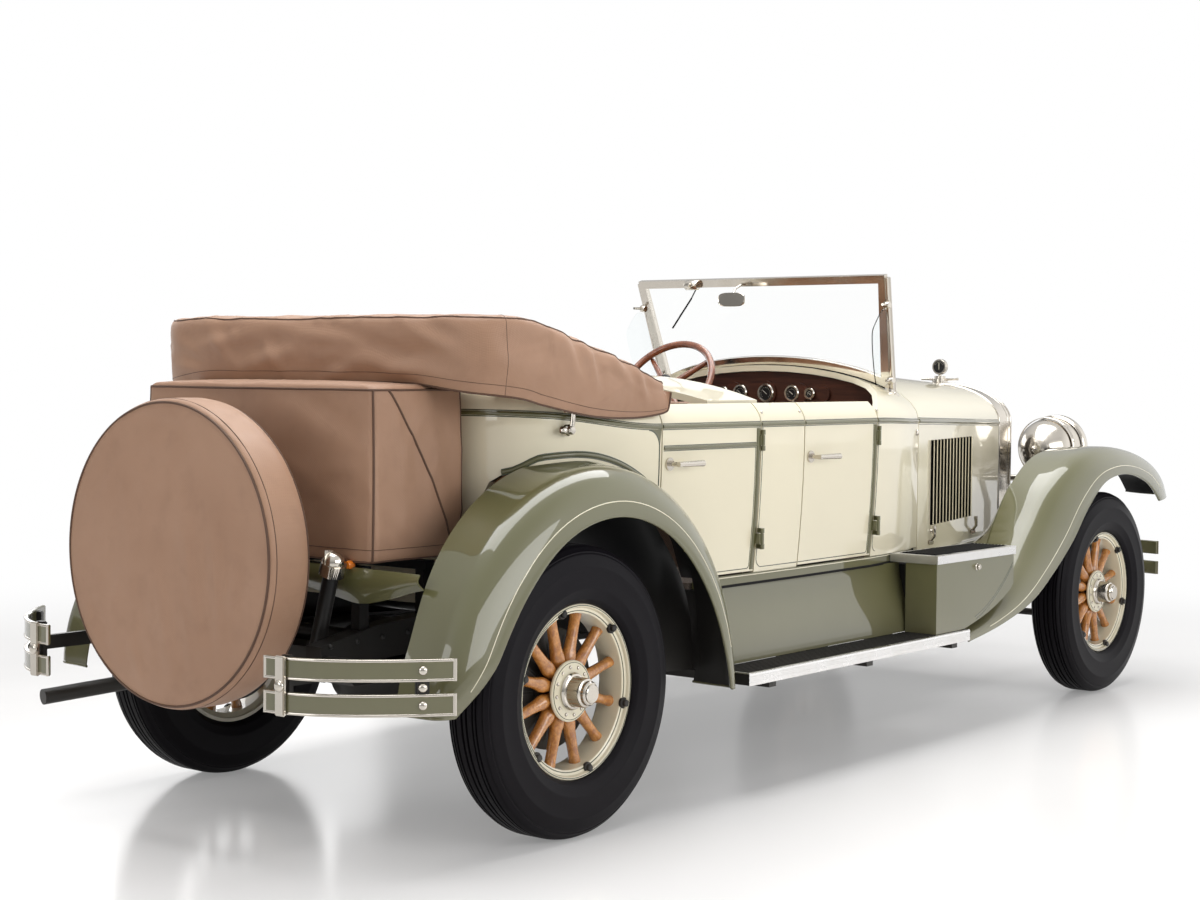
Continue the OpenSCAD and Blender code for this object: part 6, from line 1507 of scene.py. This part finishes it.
def buildLamps():
    c, bright, bowl, flutes = lampSet, newKit(), newKit(), newKit()
    ahead = Vector((1, 0, 0))
    for side in (-1, 1):
        spot = at(c["back"], side * c["y"], c["z"])
        addLathe(bright, [(0.1375, 0.200), (0.1425, 0.204), (0.1440, 0.214), (0.1440, 0.232), (0.1405, 0.2405),
                          (0.131, 0.2425), (0.126, 0.239)], spot, ahead, 0, 72)
        addLathe(bright, [(0.1318, 0.115), (0.1345, 0.118), (0.1345, 0.126), (0.1325, 0.129)], spot, ahead, 0, 72)
        addLathe(bright, [(0, -0.014), (0.006, -0.013), (0.010, -0.008), (0.010, 0.0), (0.022, 0.004)], spot, ahead,
                 0, 20)
        addBox(bright, spot + Vector((0.196, -0.012, -0.158)), spot + Vector((0.236, 0.012, -0.136)), 0, 0.003)
        for dz in (0.035, -0.004):
            out = side * 0.133 * math.cos(math.asin(dz / 0.133))
            addDome(bright, spot + Vector((0.122, out, dz)), (0, side, 0), 0.006, 0.005, 0, 12)
        spot = at(c["back"] + c["bowl"], side * c["y"], c["z"])  # reflector seen through the lens
        addLathe(bowl, [(0.125, -0.0012), (0.10, -0.0012), (0.02, -0.0012), (0, -0.0012)], spot, ahead, 0, 48)
        for k in range(-9, 10):  # moulded flutes on the lens
            y = k * c["flutePitch"]
            h = math.sqrt(max(0.0, c["fluteR"] ** 2 - y * y))
            addBead(flutes, [at(c["back"] + 0.2143 + lensBulge(y, z), side * c["y"] + y, c["z"] + z)
                             for z in spread(-h, h, 12)], [ahead] * 13, 0.011, 0.0026, 0, 5)
    brightPiece("headlamp_trim", bright)
    brightPiece("headlamp_reflectors", bowl)
    makePiece("headlamp_flutes", flutes, finish["lens"], "chassis")


def lensBulge(y, z):
    d = min(1.0, math.hypot(y, z) / lampSet["lensR"])
    return 0.0105 + (0.0125 * (1 - d) if d > 0.6 else 0.0125 * 0.4 + 0.004 * (0.6 - d) / 0.6 + 0.0035)


def buildCore():  # radiator face: fine upright and level fins
    c, kit = coreSet, newKit()
    top, shoulder = car["radiatorTop"] - c["topIn"], car["radiatorShoulder"] - c["shoulderIn"]

    def arch(q):
        return math.sqrt(max(0.0, 1 - q ** 2))

    for z in spread(*c["span"], c["levels"] - 1):
        h = (c["half"] if z <= shoulder else c["half"] * arch((z - shoulder) / (top - shoulder))) - 0.003
        addBox(kit, at(c["face"] - 0.004, -h, z - 0.0016), at(c["face"] + 0.0045, h, z + 0.0016), 0, 0)
    for k in range(-c["uprights"], c["uprights"] + 1):
        y = k * c["pitch"]
        high = shoulder + (top - shoulder) * arch(y / c["half"])
        addBox(kit, at(c["face"] - 0.004, y - 0.0011, c["foot"]), at(c["face"] + 0.0038, y + 0.0011, high - 0.004), 0,
               0)
    darkPiece("radiator_fins", kit, "coreFin")


def buildRadiatorTrim():
    c, bright = gaugeSet, newKit()
    s0, s1 = car["radiatorBack"], car["radiatorBack"] + c["shellDeep"]
    shoulder = car["radiatorShoulder"]
    for s, r, grow in ((s1 - 0.002, 0.0060, 0.0), (s0 + 0.004, 0.0050, 0.001), (s1 - 0.030, 0.0035, 0.001)):
        half, high = car["radiatorHalf"] + grow - c["trimIn"], car["radiatorTop"] - shoulder + grow - c["trimIn"]
        pts = [at(s, -half, z) for z in spread(c["trimFoot"], shoulder, 15)[:-1]]
        pts += [at(s, -half * math.cos(a), shoulder + high * math.sin(a))
                for a in (math.pi * k / 36 for k in range(37))]
        pts += [at(s, half, z) for z in spread(shoulder, c["trimFoot"], 15)[1:]]
        addTube(bright, pts, r, 0, 10)
    gauge = at(c["s"], 0, c["z"])
    addLathe(bright, [(0.0265, -0.0125), (0.0325, -0.0125), (0.0345, -0.009), (0.0345, 0.009), (0.0325, 0.0125),
                      (0.0265, 0.0125), (0.0255, 0.010)], gauge, (1, 0, 0), 0, 40)
    for side in (-1, 1):
        addTube(bright, [at(c["s"], side * y, z) for y, z in ((0.020, 1.302), (0.075, 1.304), (0.090, 1.305))],
                [0.006, 0.0045, 0.0065], 0, 10)
    brightPiece("radiator_trim", bright)
    dark, marks = newKit(), newKit()
    addLathe(dark, [(0, -0.0112), (0.027, -0.0108), (0.027, 0.0108), (0, 0.0112)], gauge, (1, 0, 0), 0, 40)
    darkPiece("radiator_gauge_face", dark)
    addBox(marks, gauge + Vector((-0.0125, -0.0008, -0.012)), gauge + Vector((-0.0105, 0.0008, 0.018)), 0, 0)
    for k in range(c["marks"]):
        a = math.radians(30 + 20 * k)
        addMark(marks, gauge + Vector((-0.0118, c["ring"] * math.cos(a), c["ring"] * math.sin(a))), 0.0006)
    makePiece("radiator_gauge_marks", marks, finish["dial"], "chassis")


def addMark(kit, spot, deep):  # a small square on a dial
    half = Vector((deep, 0.0009, 0.0009))
    addBox(kit, spot - half, spot + half, 0, 0)


# hood fittings, tail fittings and small hardware
louvreSet = {"count": 13, "first": 2.4225, "pitch": 0.04484, "low": 0.7485, "high": 1.0705, "behind": 0.013}


def buildLouvreShade():  # painted shade: a dark sheet behind the louvres for the shaded space seen through the slots
    c, kit = louvreSet, newKit()
    for side in (-1, 1):
        ends = (c["first"] - 0.02, c["first"] + c["count"] * c["pitch"])
        addSheet(kit, [[at(s, side * planHalf(s), z) - skinOut(s, side) * c["behind"]
                        for z in (c["low"] - 0.01, c["high"] + 0.008)] for s in ends], 0.001 * side)
    darkPiece("louvre_backs", kit, "mat")


def buildHardware():
    bright, dark = newKit(), newKit()
    for side in (-1, 1):
        for s in (2.42, 3.02):  # hood latches
            y = planHalf(s) + 0.001
            sideBox(bright, side, (s - 0.020, s + 0.020), (y, y + 0.010), (0.672, 0.690), 0.003)
            addTube(bright, [at(s, side * (y + out), z) for out,
                             z in ((0.004, 0.685), (0.022, 0.706), (0.020, 0.745))],
                    [0.006, 0.006, 0.008], 0, 10)
        addDome(bright, at(2.440, side * (planHalf(2.440) + 0.0005), 0.722), skinOut(2.44, side), 0.009, 0.012, 0, 14)
        addLathe(bright, [(0.012, 0.0), (0.012, 0.004), (0.009, 0.008), (0, 0.009)], skinPoint(2.228, 1.108, side),
                 skinOut(2.228, side), 0, 20)
        addLathe(dark, [(0.017, -0.001), (0.017, 0.002), (0.013, 0.003), (0.012, 0.0005), (0, 0.0005)],
                 skinPoint(2.190, 0.735, side), skinOut(2.19, side), 0, 24)
        for s in (1.046, 1.275, 1.802):  # top-edge fastener studs
            way = (skinOut(s, side) + Vector((0, 0, 0.5))).normalized()
            addDome(bright, skinPoint(s, topAt(s) - 0.030, side), way, 0.0055, 0.006, 0, 12)
        base = at(0.045, side * (planHalf(0.2) - 0.002), 1.158)  # rest for the folded top
        addLathe(bright, [(0.017, -0.002), (0.017, 0.006), (0.013, 0.010), (0.013, 0.020), (0.010, 0.024),
                          (0, 0.0245)], base, (0, side, 0), 0, 24)
        stalk = ((0, 0.016, 0), (0.004, 0.018, 0.030), (0.006, 0.018, 0.060))
        saddle = ((-0.030, 0.016, 0.056), (0.006, 0.018, 0.062), (0.058, 0.020, 0.070))
        for radius, spots in ((0.0075, stalk), ([0.006, 0.009, 0.006], saddle)):
            addTube(bright, [base + Vector((x, side * y, z)) for x, y, z in spots], radius, 0, 12)
        addDome(bright, base + Vector((-0.026, side * 0.004, 0)), (0, side, 0), 0.012, 0.016, 0, 16)
    for side in (-1, 1):  # frame rivets
        for k in range(7):
            addDome(dark, at(-0.60 + 0.1 * k, side * 0.4002, 0.575 + 0.004 * k), (0, side, 0), 0.008, 0.006, 0, 12)
        for s in (1.0, 1.2, 1.4, 1.6, 1.8, 2.0, 2.2, 2.4):
            for z in (0.530, 0.610):
                addDome(dark, at(s, side * 0.4002, z), (0, side, 0), 0.009, 0.006, 0, 12)
    ball = at(-0.576, -0.384, 0.800)  # filler cap with its cross bar
    addBall(bright, ball, 0.032, 0.032, 16, 32)
    addBox(bright, ball + Vector((-0.034, -0.003, -0.012)), ball + Vector((0.0, 0.003, 0.036)), 0, 0.001)
    brightPiece("small_fittings", bright)
    darkPiece("frame_rivets", dark)


def addBall(kit, spot, r, high, arc, segs):
    addLathe(kit, [(r * math.sin(math.pi * k / arc), -high * math.cos(math.pi * k / arc)) for k in range(arc + 1)],
             spot, (0, 0, 1), 0, segs)


def buildTailLamp():  # lamp, its lens and the reflector under the trunk
    shell, lens, amber, spot = newKit(), newKit(), newKit(), at(-0.700, 0.500, 0.800)
    addLathe(shell, [(0, 0.062), (0.020, 0.060), (0.036, 0.050), (0.044, 0.030), (0.046, 0.004), (0.046, -0.004),
                     (0.042, -0.006), (0.040, -0.002)], spot, (1, 0, 0), 0, 40)
    addTube(shell, [spot + Vector((0.04, 0, -0.02)), spot + Vector((0.07, -0.05, -0.10)), at(-0.600, 0.400, 0.600)],
            0.009, 0, 10)
    addLathe(lens, [(0.040, -0.002), (0.034, -0.008), (0.018, -0.012), (0, -0.013)], spot, (1, 0, 0), 0, 36)
    for y in spread(-0.024, 0.024, 4):
        h = math.sqrt(0.034 ** 2 - y * y)
        addBead(lens, [spot + Vector((-0.011 + 0.10 * (y * y + z * z) * 4, y, z)) for z in spread(-h, h, 6)],
                [Vector((-1, 0, 0))] * 7, 0.008, 0.002)
    addLathe(amber, [(0.0, -0.010), (0.011, -0.010), (0.012, -0.006), (0.012, 0.006), (0.010, 0.012), (0, 0.013)],
             at(-0.524, -0.395, 0.792), (-1, 0, 0), 0, 20)
    darkPiece("tail_lamp_shell", shell)
    makePiece("tail_lamp_lens", lens, finish["ruby"], "chassis")
    makePiece("tail_reflector", amber, finish["amber"], "chassis")


# inside: instruments, controls and trim boards
cabin = {"dash": 2.122, "dialZ": 1.248,
         "dials": [(-0.120, 0.028), (0.0, 0.032), (0.120, 0.028), (-0.200, 0.019), (0.200, 0.019)],
         "wall": 0.046, "trimLow": 0.705, "wheelHub": (1.905, 0.330, 1.272), "columnSlope": 36,
         "levers": [[(1.905, 0.06, 0.660), (1.88, 0.06, 0.80), (1.80, 0.055, 0.975)],
                    [(1.960, -0.02, 0.660), (1.95, -0.02, 0.82), (1.915, -0.02, 0.965)]]}


def buildCabin():
    c, bright, pale, dark, back = cabin, newKit(), newKit(), newKit(), (-1, 0, 0)
    for y, r in c["dials"]:
        spot = at(c["dash"] - 0.010, y, c["dialZ"])
        addLathe(bright, [(r + 0.004, -0.004), (r + 0.005, 0.002), (r + 0.002, 0.006), (r - 0.003, 0.006),
                          (r - 0.005, 0.002)], spot, back, 0, 40)
        addLathe(dark, [(r - 0.004, 0.0012), (r * 0.5, 0.0012), (0, 0.0012)], spot, back, 0, 40)
        for k in range(13):
            a = math.radians(225 - 270 * k / 12)
            addMark(pale, spot + Vector((-0.0017, -math.cos(a) * (r - 0.011), math.sin(a) * (r - 0.011))), 0.0004)
        addTube(pale, [spot + Vector((-0.003, -0.006, -0.004)),
                       spot + Vector((-0.003, (r - 0.014) * 0.7, (r - 0.014) * 0.6))], 0.0009, 0, 6)
    for y in spread(-0.20, 0.20, 5):
        addDome(bright, at(c["dash"], y, 1.175), back, 0.010, 0.020, 0, 16)
    for lever in c["levers"]:
        addTube(bright, [at(*p) for p in lever], 0.009, 0, 12)
    addBall(dark, at(1.797, 0.055, 0.985), 0.022, 0.024, 12, 24)
    for y in (0.27, 0.41):  # pedals
        addTube(dark, [at(2.175, y, 0.72), at(2.08, y, 0.79)], 0.008, 0, 10)
        addBox(dark, at(2.050, y - 0.035, 0.775), at(2.080, y + 0.035, 0.840), 0, 0.006)
    addBox(dark, at(2.08, 0.165, 0.700), at(2.135, 0.205, 0.770), 0, 0.006)
    brightPiece("cabin_bright_work", bright)
    makePiece("instrument_faces", pale, finish["dial"], "chassis")
    darkPiece("cabin_controls", dark)

    horn, slope = newKit(), math.radians(c["columnSlope"])
    addLathe(horn, [(0.036, 0.020), (0.036, 0.026), (0.030, 0.032), (0.022, 0.034), (0.020, 0.041), (0.010, 0.045),
                    (0, 0.0455)], at(*c["wheelHub"]), (-math.cos(slope), 0, math.sin(slope)), 0, 32)
    makePiece("horn_button", horn, finish["black"], "steering_wheel")


def buildDoorTrim():  # a leather board with two welts on each door
    c, top = cabin, 1.205
    for side, word in ((-1, "right"), (1, "left")):
        for door, s0, s1 in (("front", car["frontDoorBack"], car["frontDoorFront"]),
                             ("rear", car["rearDoorBack"], car["rearDoorFront"])):
            def lowOf(s):
                return c["trimLow"] if door == "front" else max(c["trimLow"], archZ(s, 0.690))
            kit, rows = newKit(), []
            for k, s in enumerate(spread(s0 + 0.022, s1 - 0.022, 24)):
                rows.append([skinPoint(s, mix(lowOf(s), top, j / 16), side, -c["wall"] - 0.0005
                                       - 0.004 * math.sin(math.pi * j / 16) * math.sin(math.pi * k / 24))
                                       for j in range(17)])
            addSheet(kit, rows, 0.003 * (1 if gridNormals(rows)[12][8].y * side < 0 else -1))
            for z in (0.86, 1.02):
                ss = [s for s in spread(s0 + 0.06, s1 - 0.06, 12) if lowOf(s) < z - 0.02]
                if len(ss) > 2:
                    addTube(kit, [skinPoint(s, z, side, -c["wall"] - 0.0085) for s in ss], 0.0032, 0, 8)
            body = "%s_door_%s" % (door, word)
            makePiece(body + "_trim", kit, finish["leather"], body)


# dark liners inside the rear wheel arches
linerSet = {"y": 0.626, "front": 0.652, "thick": 0.003, "rows": 40, "low": 0.648, "foot": 0.392}


def buildLiners():
    c, kit, r = linerSet, newKit(), rearFender["rootR"] - 0.006
    for side in (-1, 1):
        rows = []
        for a in spread(0, 108, c["rows"]):
            s, z = archSpot(r, a)
            y = side * mix(c["y"], c["front"], ease((s - 0.58) / 0.14))
            foot = min(mix(c["low"], c["foot"], ease((s - 0.38) / 0.08)), z - 0.02)
            rows.append([at(s, y, q) for q in spread(z, foot, 8)])
        addSheet(kit, rows, c["thick"])
        sideBox(kit, side, (0.7285, 0.7365), (0.54, 0.70), (c["foot"], 0.640), 0.002)
        sideBox(kit, side, (2.012, 2.020), (0.62, 0.7135), (0.396, 0.634), 0.002)  # between apron and step box
    darkPiece("wheel_arch_liners", kit)


finish["wing"] = glass("wingGlass", (0.95, 0.975, 0.975, 1), 0.0)
finish["coreFin"] = metal("radiatorFin", (0.22, 0.20, 0.17, 1), 0.35, 0.3)
buildBoards()
buildFineLines()
buildBumpers()
buildRearApron()
buildShieldFittings()
buildLamps()
buildCore()
buildRadiatorTrim()
buildLouvreShade()
buildHardware()
buildTailLamp()
buildCabin()
buildDoorTrim()
buildLiners()
print("stage: trim and fittings made")


# floor, light and camera
studio = {"floorSize": 60.0, "floorTone": (0.90, 0.885, 0.875, 1), "floorRough": 0.16, "near": 2.2, "far": 6.5,
          "ambient": (0.10, 0.50), "mirror": (0.26, 0.95), "wall": 1.40, "wallWay": (0.78, -0.62, 0.05), "lift": 0.22}
banks = [("overheadBank", (0, 0, 5.0), (0, 0, 0.6), 7.0, 3.6, 360.0),  # place, target, width, height and power
         ("rightBank", (-1.0, -6.5, 2.6), (0, 0, 0.8), 7.0, 2.4, 180.0),
         ("rearBank", (-7.0, 0.5, 2.4), (0, 0, 0.8), 3.0, 2.2, 58.0),
         ("leftBank", (1.5, 6.5, 2.6), (0, 0, 0.8), 6.0, 2.4, 100.0)]


def buildStage():
    kit = newKit()
    h = studio["floorSize"] / 2
    steps = 24
    addGrid(kit, [[Vector((mix(-h, h, i / steps), mix(-h, h, j / steps), 0)) for j in range(steps + 1)]
                  for i in range(steps + 1)])
    mesh = bpy.data.meshes.new("studioFloor")
    mesh.from_pydata([tuple(v) for v in kit["verts"]], [], kit["faces"])
    floor = bpy.data.objects.new("studioFloor", mesh)
    bpy.context.scene.collection.objects.link(floor)
    mat = bpy.data.materials.new("paleFloor")
    mat.use_nodes = True
    tree = mat.node_tree
    bsdf = tree.nodes["Principled BSDF"]
    spot = tree.nodes.new("ShaderNodeTexCoord").outputs["Object"]
    tree.links.new(ramp(tree, noiseAt(tree, spot, 0.7, 3.0), 0.3, 0.7, studio["floorRough"],
                        studio["floorRough"] + 0.06), bsdf.inputs["Roughness"])
    bsdf.inputs["Base Color"].default_value = studio["floorTone"]
    length = addNode(tree, "ShaderNodeVectorMath", operation="LENGTH")
    tree.links.new(spot, length.inputs[0])
    away = addNode(tree, "ShaderNodeMapRange", {"From Min": studio["near"], "From Max": studio["far"],
                                                "To Min": studio["lift"]}, interpolation_type="SMOOTHERSTEP")
    tree.links.new(length.outputs["Value"], away.inputs["Value"])
    white = addNode(tree, "ShaderNodeEmission", {"Color": (1, 1, 1, 1)})
    rays = tree.nodes.new("ShaderNodeLightPath")
    tree.links.new(ramp(tree, rays.outputs["Is Glossy Ray"], 0.0, 1.0, 1.0, studio["mirror"][1]),
                   white.inputs["Strength"])
    seen = mathNode(tree, "SUBTRACT", 1.0, rays.outputs["Is Diffuse Ray"])
    blend = tree.nodes.new("ShaderNodeMixShader")
    tree.links.new(mathNode(tree, "MULTIPLY", away.outputs["Result"], seen), blend.inputs[0])
    tree.links.new(bsdf.outputs[0], blend.inputs[1])
    tree.links.new(white.outputs[0], blend.inputs[2])
    tree.links.new(blend.outputs[0], tree.nodes["Material Output"].inputs["Surface"])
    mesh.materials.append(mat)


def buildWorld():
    world = bpy.data.worlds.new("studioWorld")
    bpy.context.scene.world = world
    world.use_nodes = True
    tree = world.node_tree
    back = tree.nodes["Background"]
    back.inputs["Color"].default_value = (1, 1, 1, 1)
    rays = tree.nodes.new("ShaderNodeLightPath")
    seen = mathNode(tree, "MAXIMUM", rays.outputs["Is Camera Ray"], rays.outputs["Is Transmission Ray"])
    parts = tree.nodes.new("ShaderNodeSeparateXYZ")  # darker towards the horizon
    tree.links.new(tree.nodes.new("ShaderNodeTexCoord").outputs["Generated"], parts.inputs[0])
    ambient, mirror = (ramp(tree, parts.outputs["Z"], 0.0, 0.7, *studio[k]) for k in ("ambient", "mirror"))
    # bright wall ahead of the car's right side
    ahead = addNode(tree, "ShaderNodeVectorMath", operation="DOT_PRODUCT")
    tree.links.new(parts.inputs[0].links[0].from_socket, ahead.inputs[0])
    ahead.inputs[1].default_value = studio["wallWay"]
    mirror = mathNode(tree, "MAXIMUM", mirror, ramp(tree, ahead.outputs["Value"], 0.2, 0.9, 0.0, studio["wall"]))
    soft = mathNode(tree, "MAXIMUM", ambient, mathNode(tree, "MULTIPLY", mirror, rays.outputs["Is Glossy Ray"]))
    tree.links.new(mathNode(tree, "MAXIMUM", soft, seen), back.inputs["Strength"])


def addBank(name, place, target, width, height, power):
    lamp = bpy.data.lights.new(name, "AREA")
    lamp.shape = "RECTANGLE"
    lamp.size, lamp.size_y, lamp.energy = width, height, power
    ob = bpy.data.objects.new(name, lamp)
    ob.location = place
    ob.rotation_euler = (Vector(target) - Vector(place)).to_track_quat("-Z", "Y").to_euler()
    bpy.context.scene.collection.objects.link(ob)


# the photograph's camera: place in metres, turn from +X towards +Y, tilt and roll in degrees, focal length in pixels
lensFit = {"place": (-6.0864, -4.3323, 1.3297), "turn": 38.306, "tilt": -2.269, "roll": 0.490, "focal": 2008.9,
           "imageWidth": 1200.0}


def buildCamera():
    turn, tilt, roll = (math.radians(lensFit[k]) for k in ("turn", "tilt", "roll"))
    forward = Vector((math.cos(tilt) * math.cos(turn), math.cos(tilt) * math.sin(turn), math.sin(tilt)))
    right = Vector((math.sin(turn), -math.cos(turn), 0))
    up = right.cross(forward)
    right, up = right * math.cos(roll) + up * math.sin(roll), up * math.cos(roll) - right * math.sin(roll)
    data = bpy.data.cameras.new("photoCamera")
    data.sensor_width = 36.0
    data.sensor_fit = "HORIZONTAL"
    data.lens = lensFit["focal"] / lensFit["imageWidth"] * data.sensor_width
    camera = bpy.data.objects.new("photoCamera", data)
    basis = Matrix((right, up, -forward)).transposed().to_4x4()
    camera.matrix_world = Matrix.Translation(lensFit["place"]) @ basis
    bpy.context.scene.collection.objects.link(camera)
    bpy.context.scene.camera = camera


buildStage()
buildWorld()
for bank in banks:
    addBank(*bank)
buildCamera()
bpy.context.scene.view_settings.view_transform = "Standard"
print("stage: floor, light and camera set")
